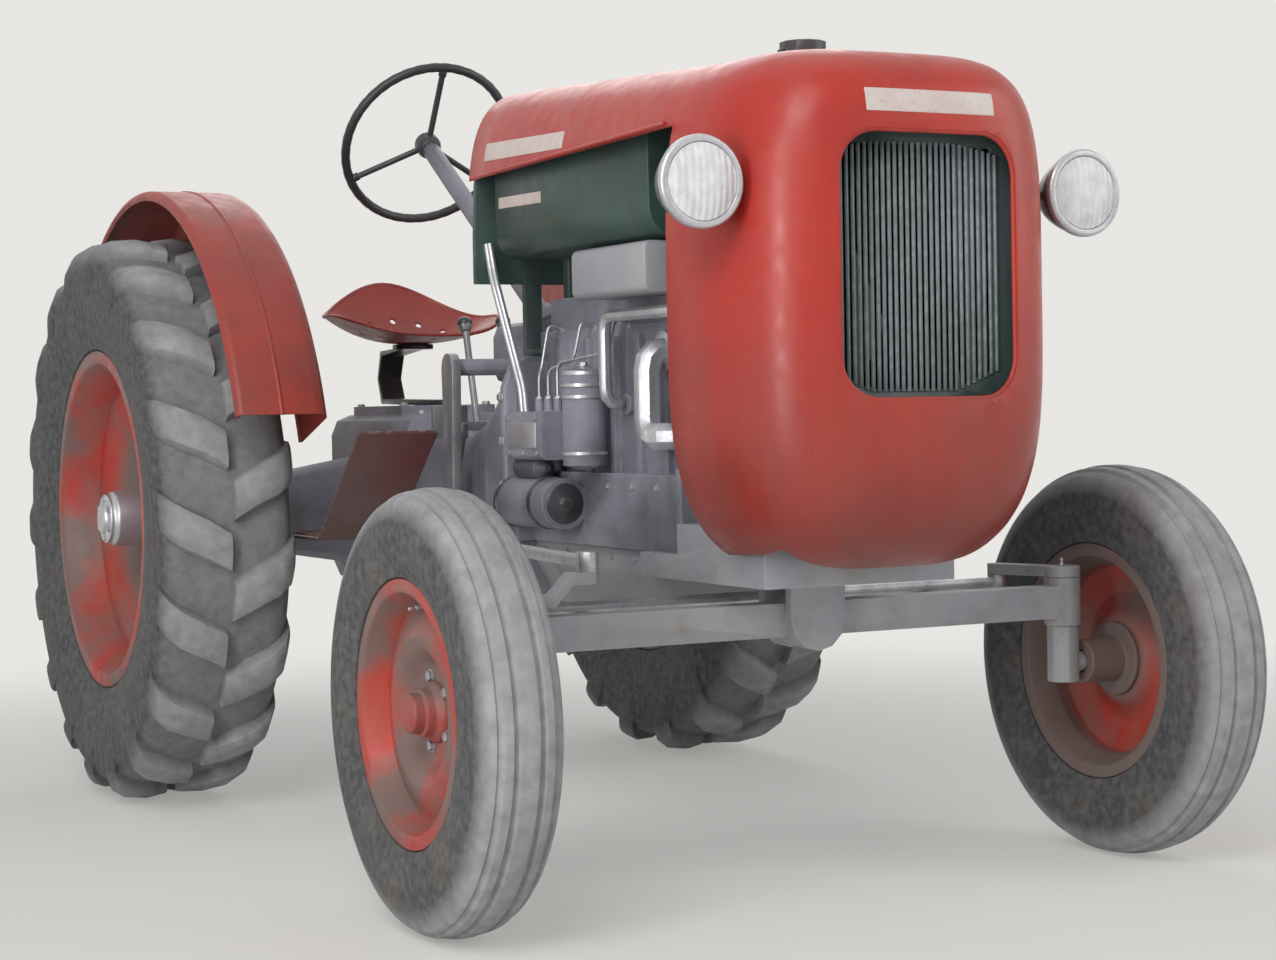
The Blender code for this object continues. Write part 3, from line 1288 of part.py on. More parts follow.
FILLER_CAP_HEIGHT = 0.034
CAP_CLEARANCE = 0.006


def crown_z(ahead):
    """The crown line's height, straight from the bonnet's back to the nose."""
    share = (ahead - BONNET_BACK) / (NOSE_SIDE_BACK - BONNET_BACK)
    return CROWN_REAR_Z + (CROWN_FRONT_Z - CROWN_REAR_Z) * share


def pillow_section(ahead, half, bottom_z, top_z):
    """A soft rectangle, squarer at the crown than at the chin."""
    middle_z, half_height = (bottom_z + top_z) / 2, (top_z - bottom_z) / 2
    points = []
    for i in range(SECTION_POINTS):
        angle = TURN * (i + 0.5) / SECTION_POINTS
        cosine, sine = math.cos(angle), math.sin(angle)
        power = 2 / (CROWN_POWER if sine > 0 else CHIN_POWER)
        x = half * math.copysign(abs(cosine) ** power, cosine)
        z = middle_z + half_height * math.copysign(abs(sine) ** power, sine)
        points.append(at(x, ahead, z))
    return points


def pillow(inset, back):
    """The solid inside the bonnet and nose, smaller all round by the inset and open to the back."""
    sections = []
    for depth, width, drop, rise in NOSE_SHARES:
        sections.append(
            pillow_section(
                NOSE_AHEAD - inset - depth * (NOSE_DEPTH - inset),
                NOSE_HALF * width - inset,
                NOSE_BOTTOM_Z + rise * NOSE_HEIGHT + inset,
                CROWN_FRONT_Z - drop * NOSE_HEIGHT - inset,
            )
        )
    past = (BONNET_BACK - back) / (NOSE_SIDE_BACK - BONNET_BACK)
    back_half = BONNET_BACK_HALF + (BONNET_BACK_HALF - NOSE_HALF) * past - inset
    sections.append(pillow_section(back, back_half, NOSE_BOTTOM_Z + inset, crown_z(back) - inset))
    return loft(sections)


def bonnet():
    """The shell, cut away along the skirt and under the chin, with the openings of grille and filler."""
    outer = pillow(0, BONNET_BACK)
    inner = pillow(SHEET, BONNET_BACK - OVERRUN)
    wide = NOSE_HALF + OVERRUN
    low = NOSE_BOTTOM_Z - OVERRUN
    sides = box(-wide, wide, BONNET_BACK - 2 * OVERRUN, NOSE_SIDE_BACK, low, SKIRT_Z)
    mouth = box(-MOUTH_HALF, MOUTH_HALF, MOUTH_BACK, MOUTH_FRONT, low, MOUTH_TOP_Z)
    opening = front_prism(
        rounded(-GRILLE_HALF, GRILLE_HALF, GRILLE_BOTTOM_Z, GRILLE_TOP_Z, GRILLE_CORNER, ARC_STEPS),
        GRILLE_AHEAD + GRILLE_DEPTH + SEAM,
        NOSE_AHEAD + OVERRUN,
    )
    filler_top = at(0, FILLER_AHEAD, CROWN_REAR_Z + OVERRUN)
    filler = rod(at(0, FILLER_AHEAD, GRILLE_TOP_Z), filler_top, FILLER_HOLE_RADIUS)
    return node("bonnet", "red_paint", [outer], [inner, sides, mouth, opening, filler])


def fitted_plate(ahead_low, ahead_high, bottom_z, top_z=CROWN_REAR_Z):
    """A plate across the inside of the shell, its edge just inside the sheet."""
    plate = box(-NOSE_HALF, NOSE_HALF, ahead_low, ahead_high, bottom_z, top_z)
    return combine(plate, [pillow(SHEET + SEAM, BONNET_BACK - OVERRUN)], "INTERSECT")


def grille():
    """A plate across the nose behind its opening, pierced by upright slots that leave bars between them."""
    front = GRILLE_AHEAD + GRILLE_DEPTH
    plate = fitted_plate(GRILLE_AHEAD, front, GRILLE_PLATE_BOTTOM_Z, GRILLE_PLATE_TOP_Z)
    pitch = (2 * GRILLE_HALF - GRILLE_SLOT_MARGIN) / GRILLE_SLOTS
    slots = []
    for i in range(GRILLE_SLOTS):
        x = pitch * (i - (GRILLE_SLOTS - 1) / 2)
        rise = GRILLE_CORNER * max(abs(x) / GRILLE_HALF - GRILLE_STRAIGHT_SHARE, 0)
        slots.append(
            box(
                x - GRILLE_SLOT / 2,
                x + GRILLE_SLOT / 2,
                GRILLE_AHEAD - OVERRUN,
                front + OVERRUN,
                GRILLE_BOTTOM_Z + GRILLE_SLOT_MARGIN + rise,
                GRILLE_TOP_Z - GRILLE_SLOT_MARGIN,
            )
        )
    return node("grille", "green_black", [plate], slots)


# Radiator, bulkhead and fuel tank
RADIATOR_HALF = 0.2
RADIATOR_TOP_Z = 1.4
BAFFLE_SETBACK = 0.005
BAFFLE_BACK = NOSE_SIDE_BACK + BAFFLE_SETBACK
BAFFLE = 0.008
BULKHEAD_SETBACK = 0.015
BULKHEAD_BACK = BONNET_BACK + BULKHEAD_SETBACK
BULKHEAD = 0.012
BULKHEAD_BOTTOM_Z = 1.12
PANEL_HALF = 0.11
PANEL_BOTTOM_Z = 1.37
PANEL_TOP_Z = 1.47
PANEL_CORNER = 0.02
PANEL_DEPTH = 0.022
BULKHEAD_LEG_X = 0.13
BULKHEAD_LEG_HALF = 0.02
TANK_SETBACK = 0.08
TANK_BACK = BONNET_BACK + TANK_SETBACK
TANK_FRONT = BLOCK_FRONT
TANK_RISE = 0.025
TANK_BOTTOM_Z = ROCKER_TOP_Z + TANK_RISE
TANK_TOP_Z = 1.4
TANK_CORNER = 0.05
TANK_LEG_X = 0.1
TANK_LEG_HALF = 0.014
TANK_LEG_SETBACK = 0.05
TANK_LEGS = (HEAD_BACK + TANK_LEG_SETBACK, HEAD_FRONT - TANK_LEG_SETBACK)


def radiator():
    """The core on the front support, its baffle out to the shell, and the neck and cap through the crown."""
    bottom = SUPPORT_TOP_Z + SEAM
    core_front = BAFFLE_BACK + BAFFLE / 2
    core = box(-RADIATOR_HALF, RADIATOR_HALF, RADIATOR_BACK, core_front, bottom, RADIATOR_TOP_Z)
    baffle = fitted_plate(BAFFLE_BACK, BAFFLE_BACK + BAFFLE, bottom)
    cap_bottom = crown_z(FILLER_AHEAD) + CAP_CLEARANCE
    neck_foot = at(0, FILLER_AHEAD, RADIATOR_TOP_Z - EMBED)
    neck = rod(neck_foot, at(0, FILLER_AHEAD, cap_bottom + EMBED), FILLER_NECK_RADIUS)
    cap_top = at(0, FILLER_AHEAD, cap_bottom + FILLER_CAP_HEIGHT)
    cap = rod(at(0, FILLER_AHEAD, cap_bottom), cap_top, FILLER_CAP_RADIUS)
    return node("radiator", "black", [core, baffle, neck, cap])


def bulkhead():
    """The plate that closes the bonnet's back, with its instrument panel, on legs to the clutch housing."""
    plate = fitted_plate(BULKHEAD_BACK, BULKHEAD_BACK + BULKHEAD, BULKHEAD_BOTTOM_Z)
    foot = BELL_TOP_Z + BELL_FLANGE_RIM + SEAM
    legs = [
        box(
            side * BULKHEAD_LEG_X - BULKHEAD_LEG_HALF,
            side * BULKHEAD_LEG_X + BULKHEAD_LEG_HALF,
            BULKHEAD_BACK,
            BELL_FRONT,
            foot,
            foot + BULKHEAD,
        )
        for side in (RIGHT, LEFT)
    ]
    legs += [
        box(
            side * BULKHEAD_LEG_X - BULKHEAD_LEG_HALF,
            side * BULKHEAD_LEG_X + BULKHEAD_LEG_HALF,
            BULKHEAD_BACK,
            BULKHEAD_BACK + BULKHEAD,
            foot,
            BULKHEAD_BOTTOM_Z + EMBED,
        )
        for side in (RIGHT, LEFT)
    ]
    face = rounded(-PANEL_HALF, PANEL_HALF, PANEL_BOTTOM_Z, PANEL_TOP_Z, PANEL_CORNER)
    panel = front_prism(face, BULKHEAD_BACK - PANEL_DEPTH, BULKHEAD_BACK + EMBED)
    return node("bulkhead", "green_black", [plate, panel, *legs])


def fuel_tank():
    outline = rounded(-TANK_HALF, TANK_HALF, TANK_BOTTOM_Z, TANK_TOP_Z, TANK_CORNER)
    pieces = [front_prism(outline, TANK_BACK, TANK_FRONT)]
    for ahead in TANK_LEGS:
        for side in (RIGHT, LEFT):
            pieces.append(
                box(
                    side * TANK_LEG_X - TANK_LEG_HALF,
                    side * TANK_LEG_X + TANK_LEG_HALF,
                    ahead - TANK_LEG_HALF,
                    ahead + TANK_LEG_HALF,
                    HEAD_TOP_Z + SEAM,
                    TANK_BOTTOM_Z + EMBED,
                )
            )
    return node("fuel_tank", "green_black", pieces)


# Headlamps on brackets from the nose
LAMP_OFFSET = 0.052
LAMP_X = NOSE_HALF + LAMP_OFFSET
LAMP_SETBACK = 0.081
LAMP_FRONT = NOSE_AHEAD - LAMP_SETBACK
LAMP_Z = 1.215
LAMP_RADIUS = 0.07
LAMP_DEPTH = 0.115
LAMP_TAIL_RADIUS = 0.025
LAMP_WALL = 0.004
LAMP_RIM = 0.005
LAMP_RIM_DEPTH = 0.014
LENS_BULGE = 0.01
LAMP_STALK_RADIUS = 0.009
LAMP_STALK_SETBACK = 0.166
LAMP_STALK_AHEAD = NOSE_AHEAD - LAMP_STALK_SETBACK
LAMP_SEAT_SHARE = 0.9
# Down the bucket's outside and inside: shares of the lamp's radius and of its depth
LAMP_BUCKET_SHARES = ((0.72, 0.62), (0.94, 0.28))
LAMP_BOWL_SHARE = (0.6, 0.62)
LENS_CROWN_SHARE = (0.6, 0.7)


def headlamp_shell(side_name):
    """A tapered bucket with a rim round its mouth, on a stalk from the nose."""
    side = SIDES[side_name]
    front = at(side * LAMP_X, LAMP_FRONT, LAMP_Z)
    bowl_radius, bowl_depth = LAMP_BOWL_SHARE
    profile = [
        (0, LAMP_DEPTH),
        (LAMP_TAIL_RADIUS, LAMP_DEPTH),
        *((LAMP_RADIUS * radius, LAMP_DEPTH * depth) for radius, depth in LAMP_BUCKET_SHARES),
        (LAMP_RADIUS, LAMP_RIM_DEPTH),
        (LAMP_RADIUS + LAMP_RIM, LAMP_RIM_DEPTH),
        (LAMP_RADIUS + LAMP_RIM, 0),
        (LAMP_RADIUS - LAMP_WALL, 0),
        (LAMP_RADIUS - LAMP_WALL, LAMP_RIM_DEPTH * 3 / 2),
        (LAMP_RADIUS * bowl_radius, LAMP_DEPTH * bowl_depth),
        (0, LAMP_DEPTH - LAMP_WALL * 2),
    ]
    bucket = turned(front, (0, 1, 0), profile, FINE_SIDES)
    nose_x = side * (NOSE_HALF * LAMP_SEAT_SHARE + SEAM)
    stalk_y = at(0, LAMP_STALK_AHEAD, 0).y
    stalk = rod(
        Vector((nose_x, stalk_y, LAMP_Z)),
        Vector((side * (LAMP_X - LAMP_TAIL_RADIUS), stalk_y, LAMP_Z)),
        LAMP_STALK_RADIUS,
        THIN_SIDES,
    )
    shell_cut = [pillow(-SEAM, BONNET_BACK)]
    return node(f"headlamp_shell_{side_name}", "black", [bucket, stalk], shell_cut)


def headlamp_lens(side_name):
    side = SIDES[side_name]
    front = at(side * LAMP_X, LAMP_FRONT, LAMP_Z)
    edge = LAMP_RADIUS - LAMP_WALL - SEAM
    lens_back = LAMP_RIM_DEPTH / 2
    crown_radius, crown_bulge = LENS_CROWN_SHARE
    profile = [
        (0, lens_back),
        (edge, lens_back),
        (edge, 0),
        (edge * crown_radius, -LENS_BULGE * crown_bulge),
        (0, -LENS_BULGE),
    ]
    lens = turned(front, (0, 1, 0), profile, FINE_SIDES)
    return node(f"headlamp_lens_{side_name}", "lens_glass", [lens])


# Fan with its pulley
FAN_HUB_RADIUS = 0.03
FAN_PULLEY_RADIUS = 0.055
FAN_PULLEY_WIDTH = 0.026
FAN_BLADE_REACH = 0.16
FAN_BLADE_ROOT_HALF = 0.022
FAN_BLADE_TIP_HALF = 0.04
FAN_BLADE_PITCH = 0.012
FAN_BLADE_WALL = 0.003
FAN_BLADES = 4


def fan():
    """Four pitched blades on a hub, in front of the pulley on the water pump's nose."""
    back = BLOCK_FRONT + PUMP_LENGTH + SEAM
    hub_end = back + FAN_PULLEY_WIDTH + FAN_BLADE_PITCH * 2
    middle = back + FAN_PULLEY_WIDTH + FAN_BLADE_PITCH
    pieces = [
        rod(at(0, back, FAN_Z), at(0, back + FAN_PULLEY_WIDTH, FAN_Z), FAN_PULLEY_RADIUS, FINE_SIDES),
        rod(at(0, back + EMBED, FAN_Z), at(0, hub_end, FAN_Z), FAN_HUB_RADIUS),
    ]
    for i in range(FAN_BLADES):
        turn = TURN * (i + 0.5) / FAN_BLADES
        out = Vector((math.cos(turn), 0, math.sin(turn)))
        across = Vector((-math.sin(turn), 0, math.cos(turn)))
        sections = []
        root = (FAN_HUB_RADIUS / 2, FAN_BLADE_ROOT_HALF)
        for reach, half in (root, (FAN_BLADE_REACH, FAN_BLADE_TIP_HALF)):
            centre = at(0, middle, FAN_Z) + out * reach
            pitch = Vector((0, FAN_BLADE_PITCH * half / FAN_BLADE_TIP_HALF, 0))
            wall = Vector((0, FAN_BLADE_WALL / 2, 0))
            low, high = centre - across * half - pitch, centre + across * half + pitch
            sections.append([low - wall, high - wall, high + wall, low + wall])
        pieces.append(loft(sections))
    return node("fan", "steel", pieces)


# The air cleaner
CLEANER_LENGTH = 0.3
CLEANER_FRONT = HEAD_FRONT
CLEANER_BACK = CLEANER_FRONT - CLEANER_LENGTH
CLEANER_DROP = 0.017
CLEANER_RISE = 0.075
CLEANER_BOTTOM_Z = HEAD_TOP_Z - CLEANER_DROP
CLEANER_TOP_Z = HEAD_TOP_Z + CLEANER_RISE
CLEANER_WIDTH = 0.11
CLEANER_CORNER = 0.012


def air_cleaner():
    """The bright box beside the cylinder head, under the tank."""
    inner = -HEAD_HALF - SEAM
    outline = rounded(inner - CLEANER_WIDTH, inner, CLEANER_BOTTOM_Z, CLEANER_TOP_Z, CLEANER_CORNER, 2)
    body = front_prism(outline, CLEANER_BACK, CLEANER_FRONT)
    return node("air_cleaner", "silver", [body])


def breather_pipe():
    """The thin bright pipe that rises beside the block and bends forward to the radiator."""
    boss_x = SIDE_BOSS_X - SEAM
    route = bent(
        [
            at(boss_x, PIPE_FOOT_AHEAD, PIPE_FOOT_Z),
            at(PIPE_X, PIPE_FOOT_AHEAD, PIPE_FOOT_Z),
            at(PIPE_X, PIPE_FOOT_AHEAD, PIPE_TOP_Z),
            at(PIPE_X, RADIATOR_BACK - SEAM, PIPE_TOP_Z),
        ],
        PIPE_BEND,
    )
    return node("breather_pipe", "silver", [pipe(route, PIPE_RADIUS)])


def water_elbow():
    """The thick cast elbow down the block's side and forward to the pump."""
    boss_x = SIDE_BOSS_X - SEAM
    route = bent(
        [
            at(boss_x, ELBOW_AHEAD, ELBOW_TOP_Z),
            at(ELBOW_X, ELBOW_AHEAD, ELBOW_TOP_Z),
            at(ELBOW_X, ELBOW_AHEAD, ELBOW_LOW_Z),
            at(ELBOW_X, ELBOW_FRONT, ELBOW_LOW_Z),
            at(boss_x, ELBOW_FRONT, ELBOW_LOW_Z),
        ],
        ELBOW_BEND,
    )
    flanges = [
        rod(at(boss_x, ahead, z), at(boss_x - ELBOW_FLANGE, ahead, z), ELBOW_FLANGE_RADIUS)
        for ahead, z in ((ELBOW_AHEAD, ELBOW_TOP_Z), (ELBOW_FRONT, ELBOW_LOW_Z))
    ]
    return node("water_elbow", "silver", [pipe(route, ELBOW_RADIUS), *flanges])


# Fenders, footplates, seat
FENDER_CLEARANCE = 0.0994
FENDER_RADIUS = REAR_TYRE_RADIUS + FENDER_CLEARANCE
FENDER_WIDTH = 0.2
FENDER_INNER_X = TRUMPET_END_X - TRUMPET_FLANGE
FENDER_OUTER_X = FENDER_INNER_X + FENDER_WIDTH
FENDER_PLATE_DEPTH = 0.19
FENDER_FRONT_ANGLE = math.radians(18)
FENDER_BACK_ANGLE = math.radians(148)
FENDER_STEPS = 16
FENDER_LIP = 0.018
FENDER_LEG_HALF = 0.09
FENDER_FOOT_HALF = 0.07
FENDER_CLIP = 0.015
FENDER_LEG = 0.006
BOARD_SHEET = 0.006
BOARD_BACK = 0.27
BOARD_BEND = 0.6
BOARD_FRONT = 0.86
BOARD_FRONT_Z = 0.82
BOARD_OUTER_X = FENDER_INNER_X - SEAM
BOARD_INNER_X = 0.215
BOARD_NOTCH_X = 0.33
SEAT_AHEAD = -0.1
SEAT_HALF_WIDTH = 0.22
SEAT_HALF_DEPTH = 0.2
SEAT_Z = 1.03
SEAT_BACK_RISE = 0.16
SEAT_SIDE_RISE = 0.07
SEAT_FRONT_RISE = 0.015
SEAT_SHEET = 0.005
SEAT_RINGS = 5
SEAT_SIDES = 20
SEAT_SIDE_POWER = 2.5
SEAT_FRONT_POWER = 2.0
SPRING_HALF = 0.03
SPRING_LEAF = 0.012
SPRING_FOOT_AHEAD = 0.1
SPRING_FOOT_LENGTH = 0.1
SPRING_BACK = -0.27
SPRING_PAD_RADIUS = 0.05


def fender(side_name):
    """A mudguard over the tyre's inner half, with a side plate and a leg down to the axle trumpet."""
    side = SIDES[side_name]
    outside = FENDER_RADIUS + SHEET
    section = (
        (FENDER_INNER_X, FENDER_RADIUS - FENDER_PLATE_DEPTH),
        (FENDER_INNER_X + SHEET, FENDER_RADIUS - FENDER_PLATE_DEPTH),
        (FENDER_INNER_X + SHEET, FENDER_RADIUS),
        (FENDER_OUTER_X - SHEET, FENDER_RADIUS),
        (FENDER_OUTER_X - SHEET, FENDER_RADIUS - FENDER_LIP),
        (FENDER_OUTER_X, FENDER_RADIUS - FENDER_LIP),
        (FENDER_OUTER_X, outside),
        (FENDER_INNER_X, outside),
    )
    sections = []
    for i in range(FENDER_STEPS + 1):
        angle = FENDER_FRONT_ANGLE + (FENDER_BACK_ANGLE - FENDER_FRONT_ANGLE) * i / FENDER_STEPS
        sections.append([wheel_point(side * x, 0, AXLE_Z, radius, angle) for x, radius in section])
    guard = loft(sections)
    seat_z = FENDER_SEAT_Z + SEAM
    leg_top = AXLE_Z + FENDER_RADIUS - FENDER_PLATE_DEPTH + OVERRUN
    leg_margin = (FENDER_LEG - SHEET) / 2
    leg = side_prism(
        [
            (-FENDER_FOOT_HALF, seat_z + SHEET / 2),
            (FENDER_FOOT_HALF, seat_z + SHEET / 2),
            (FENDER_LEG_HALF, leg_top),
            (-FENDER_LEG_HALF, leg_top),
        ],
        side * (FENDER_INNER_X - leg_margin),
        side * (FENDER_INNER_X + SHEET + leg_margin),
    )
    clip = box(
        *sorted((side * (FENDER_INNER_X - 2 * FENDER_CLIP), side * (FENDER_INNER_X + FENDER_CLIP))),
        -FENDER_SEAT_HALF,
        FENDER_SEAT_HALF,
        seat_z,
        seat_z + SHEET,
    )
    return node(f"fender_{side_name}", "red_paint", [guard, leg, clip])


def footplate(side_name):
    """A flat board beside the gearbox, turned up in front as a toe board and notched for the drop arm."""
    side = SIDES[side_name]
    low = BOARD_Z - BOARD_SHEET / 2
    outline = [
        (BOARD_BACK, low),
        (BOARD_BEND, low),
        (BOARD_FRONT, BOARD_FRONT_Z),
        (BOARD_FRONT, BOARD_FRONT_Z + BOARD_SHEET),
        (BOARD_BEND, low + BOARD_SHEET),
        (BOARD_BACK, low + BOARD_SHEET),
    ]
    board = side_prism(outline, side * BOARD_INNER_X, side * BOARD_OUTER_X)
    clip = box(
        *sorted((side * BOARD_X, side * (BOARD_INNER_X + SHEET))),
        BOARD_PAD_BACK,
        BOARD_PAD_FRONT,
        low,
        low + BOARD_SHEET,
    )
    notch = box(
        *sorted((side * (BOARD_INNER_X - OVERRUN), side * BOARD_NOTCH_X)),
        BOARD_BEND + BOARD_SHEET,
        BOARD_FRONT + OVERRUN,
        BOARD_Z - BOARD_SHEET,
        BOARD_FRONT_Z + OVERRUN,
    )
    return node(f"footplate_{side_name}", "dark_paint", [board, clip], [notch])


def seat_pan():
    """A pressed pan: a dished surface with a round outline that rises at its back and sides."""
    bm = bmesh.new()
    rows = [[bm.verts.new(at(0, SEAT_AHEAD, SEAT_Z))] * SEAT_SIDES]
    for i in range(1, SEAT_RINGS + 1):
        row = []
        for j in range(SEAT_SIDES):
            angle = TURN * j / SEAT_SIDES
            u, v = math.cos(angle) * i / SEAT_RINGS, math.sin(angle) * i / SEAT_RINGS
            back_rise = SEAT_BACK_RISE * max(-v, 0) ** SEAT_SIDE_POWER
            front_rise = SEAT_FRONT_RISE * max(v, 0) ** SEAT_FRONT_POWER
            z = SEAT_Z + back_rise + front_rise + SEAT_SIDE_RISE * abs(u) ** SEAT_SIDE_POWER
            row.append(bm.verts.new(at(u * SEAT_HALF_WIDTH, SEAT_AHEAD + v * SEAT_HALF_DEPTH, z)))
        rows.append(row)
    for row, following in zip(rows, rows[1:]):
        for j in range(SEAT_SIDES):
            k = (j + 1) % SEAT_SIDES
            bm.faces.new(list(dict.fromkeys((row[j], row[k], following[k], following[j]))))
    pan = shape("pan", bm)
    if pan.data.polygons[0].normal.z < 0:
        pan.data.flip_normals()
    skin = pan.modifiers.new("Sheet", "SOLIDIFY")
    skin.thickness = SEAT_SHEET
    skin.offset = 1
    return node("seat_pan", "red_paint", [baked(pan)])


def seat_spring():
    """A leaf from the axle housing's top that runs back, turns up and forward, and ends in the pan's pad."""
    foot_z = HOUSING_TOP_Z + COVER_HEIGHT + SEAM
    pad_z = SEAT_Z - SEAM
    top_z = pad_z - SPRING_LEAF
    route = [
        (SPRING_FOOT_AHEAD, foot_z),
        (SPRING_FOOT_AHEAD, foot_z + SPRING_LEAF),
        (SPRING_BACK + 3 * SPRING_LEAF, foot_z + SPRING_LEAF + SPRING_LEAF / 2),
        (SPRING_BACK + SPRING_LEAF, (foot_z + top_z) / 2),
        (SPRING_BACK + 3 * SPRING_LEAF, top_z - SPRING_LEAF),
        (SEAT_AHEAD, top_z),
        (SEAT_AHEAD, pad_z - SPRING_LEAF / 2),
        (SPRING_BACK + 2 * SPRING_LEAF, top_z),
        (SPRING_BACK, (foot_z + top_z) / 2),
        (SPRING_BACK + 2 * SPRING_LEAF, foot_z + SPRING_LEAF / 2),
        (SPRING_FOOT_AHEAD - SPRING_FOOT_LENGTH, foot_z),
    ]
    leaf = side_prism(route, -SPRING_HALF, SPRING_HALF)
    pad = rod(at(0, SEAT_AHEAD, top_z), at(0, SEAT_AHEAD, pad_z), SPRING_PAD_RADIUS)
    return node("seat_spring", "steel", [leaf, pad])


# Driver's controls
LEVER_PLATE_BACK = 0.3
LEVER_PLATE_FRONT = 0.5
LEVER_PLATE_HALF = 0.06
LEVER_PLATE = 0.02
LEVER_RADIUS = 0.008
LEVER_KNOB_RADIUS = 0.018
KNOB_RINGS = 4
LEVER_LEAN = 0.06
LEVER_TOP_Z = 1.06
LEVER_PLACES = ((0.36, -0.03), (0.44, 0.03))
PEDAL_PIVOT_AHEAD = 0.56
PEDAL_PIVOT_Z = 0.66
PEDAL_BOSS_RADIUS = 0.024
PEDAL_ARM_HALF = 0.011
PEDAL_INNER_X = 0.172
PEDAL_PAD_AHEAD = 0.64
PEDAL_PAD_Z = 0.84
PEDAL_PAD_WIDTH = 0.08
PEDAL_PAD_HALF = 0.035
PEDAL_PAD = 0.012
DRAWBAR_HALF = 0.03
DRAWBAR_THICK = 0.024
DRAWBAR_Z = 0.37
DRAWBAR_BACK = -0.56
DRAWBAR_FRONT = 0.12
DRAWBAR_HOLE_RADIUS = 0.012
HANGER_HALF = 0.07
HANGER = 0.02
HANGER_PLACES = (-0.18, 0.08)


def gear_levers():
    plate_z = GEARBOX_TOP_Z + SEAM
    half = LEVER_PLATE_HALF
    pieces = [box(-half, half, LEVER_PLATE_BACK, LEVER_PLATE_FRONT, plate_z, plate_z + LEVER_PLATE)]
    for ahead, x in LEVER_PLACES:
        foot = at(x, ahead, plate_z + LEVER_PLATE / 2)
        top = at(x, ahead - LEVER_LEAN, LEVER_TOP_Z)
        way = (top - foot).normalized()
        pieces.append(rod(foot, top, LEVER_RADIUS, THIN_SIDES))
        knob = [(0, -LEVER_KNOB_RADIUS)]
        for i in range(1, KNOB_RINGS):
            angle = math.pi * i / KNOB_RINGS
            knob.append((LEVER_KNOB_RADIUS * math.sin(angle), -LEVER_KNOB_RADIUS * math.cos(angle)))
        knob.append((0, LEVER_KNOB_RADIUS))
        pieces.append(turned(top, way, knob, THIN_SIDES))
    return node("gear_levers", "steel", pieces)


def pedal(side_name):
    """An arm on a short pivot out of the clutch housing, with a pad above the toe board."""
    side = SIDES[side_name]
    inner = side * PEDAL_INNER_X
    outer = inner + side * 2 * PEDAL_ARM_HALF
    pivot = rod(
        at(side * (GEARBOX_WAIST_HALF + SEAM), PEDAL_PIVOT_AHEAD, PEDAL_PIVOT_Z),
        at(outer, PEDAL_PIVOT_AHEAD, PEDAL_PIVOT_Z),
        PEDAL_BOSS_RADIUS,
    )
    middle = (inner + outer) / 2
    foot = at(middle, PEDAL_PIVOT_AHEAD, PEDAL_PIVOT_Z)
    arm = rod(foot, at(middle, PEDAL_PAD_AHEAD, PEDAL_PAD_Z), PEDAL_ARM_HALF, THIN_SIDES)
    pad = box(
        *sorted((inner, inner + side * PEDAL_PAD_WIDTH)),
        PEDAL_PAD_AHEAD - PEDAL_PAD,
        PEDAL_PAD_AHEAD,
        PEDAL_PAD_Z - PEDAL_PAD_HALF,
        PEDAL_PAD_Z + PEDAL_PAD_HALF,
    )
    return node(f"pedal_{side_name}", "steel", [pivot, arm, pad], [gearbox_case(SEAM)])


def drawbar():
    """A flat bar under the axle housing, held by two hangers, with a pin hole at its end."""
    bar = box(
        -DRAWBAR_HALF, DRAWBAR_HALF, DRAWBAR_BACK, DRAWBAR_FRONT, DRAWBAR_Z - DRAWBAR_THICK, DRAWBAR_Z
    )
    hangers = [
        box(
            -HANGER_HALF,
            HANGER_HALF,
            ahead - HANGER / 2,
            ahead + HANGER / 2,
            DRAWBAR_Z - DRAWBAR_THICK / 2,
            HOUSING_BOTTOM_Z - SEAM,
        )
        for ahead in HANGER_PLACES
    ]
    hole_ahead = DRAWBAR_BACK + DRAWBAR_HALF
    hole = rod(
        at(0, hole_ahead, DRAWBAR_Z - DRAWBAR_THICK - OVERRUN),
        at(0, hole_ahead, DRAWBAR_Z + OVERRUN),
        DRAWBAR_HOLE_RADIUS,
    )
    return node("drawbar", "steel", [bar, *hangers], [hole])


def main():
    clear_scene()
    bonnet()
    grille()
    radiator()
    bulkhead()
    fuel_tank()
    engine_block()
    cylinder_head()
    sump_casting()
    fan()
    air_cleaner()
    breather_pipe()
    water_elbow()
    gearbox()
    rear_axle_housing()
    front_axle()
    radius_rods()
    steering_column()
    steering_wheel()
    drop_arm()
    drag_link()
    tie_rod()
    seat_pan()
    seat_spring()
    gear_levers()
    drawbar()
    for side_name in SIDES:
        headlamp_shell(side_name)
        headlamp_lens(side_name)
        knuckle(side_name)
        fender(side_name)
        footplate(side_name)
        pedal(side_name)
        rear_rim(side_name)
        rear_tyre(side_name)
        front_rim(side_name)
        front_tyre(side_name)


if __name__ == "__main__":
    main()
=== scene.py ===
"""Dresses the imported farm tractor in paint, rubber, glass and small fittings, on a plain floor."""

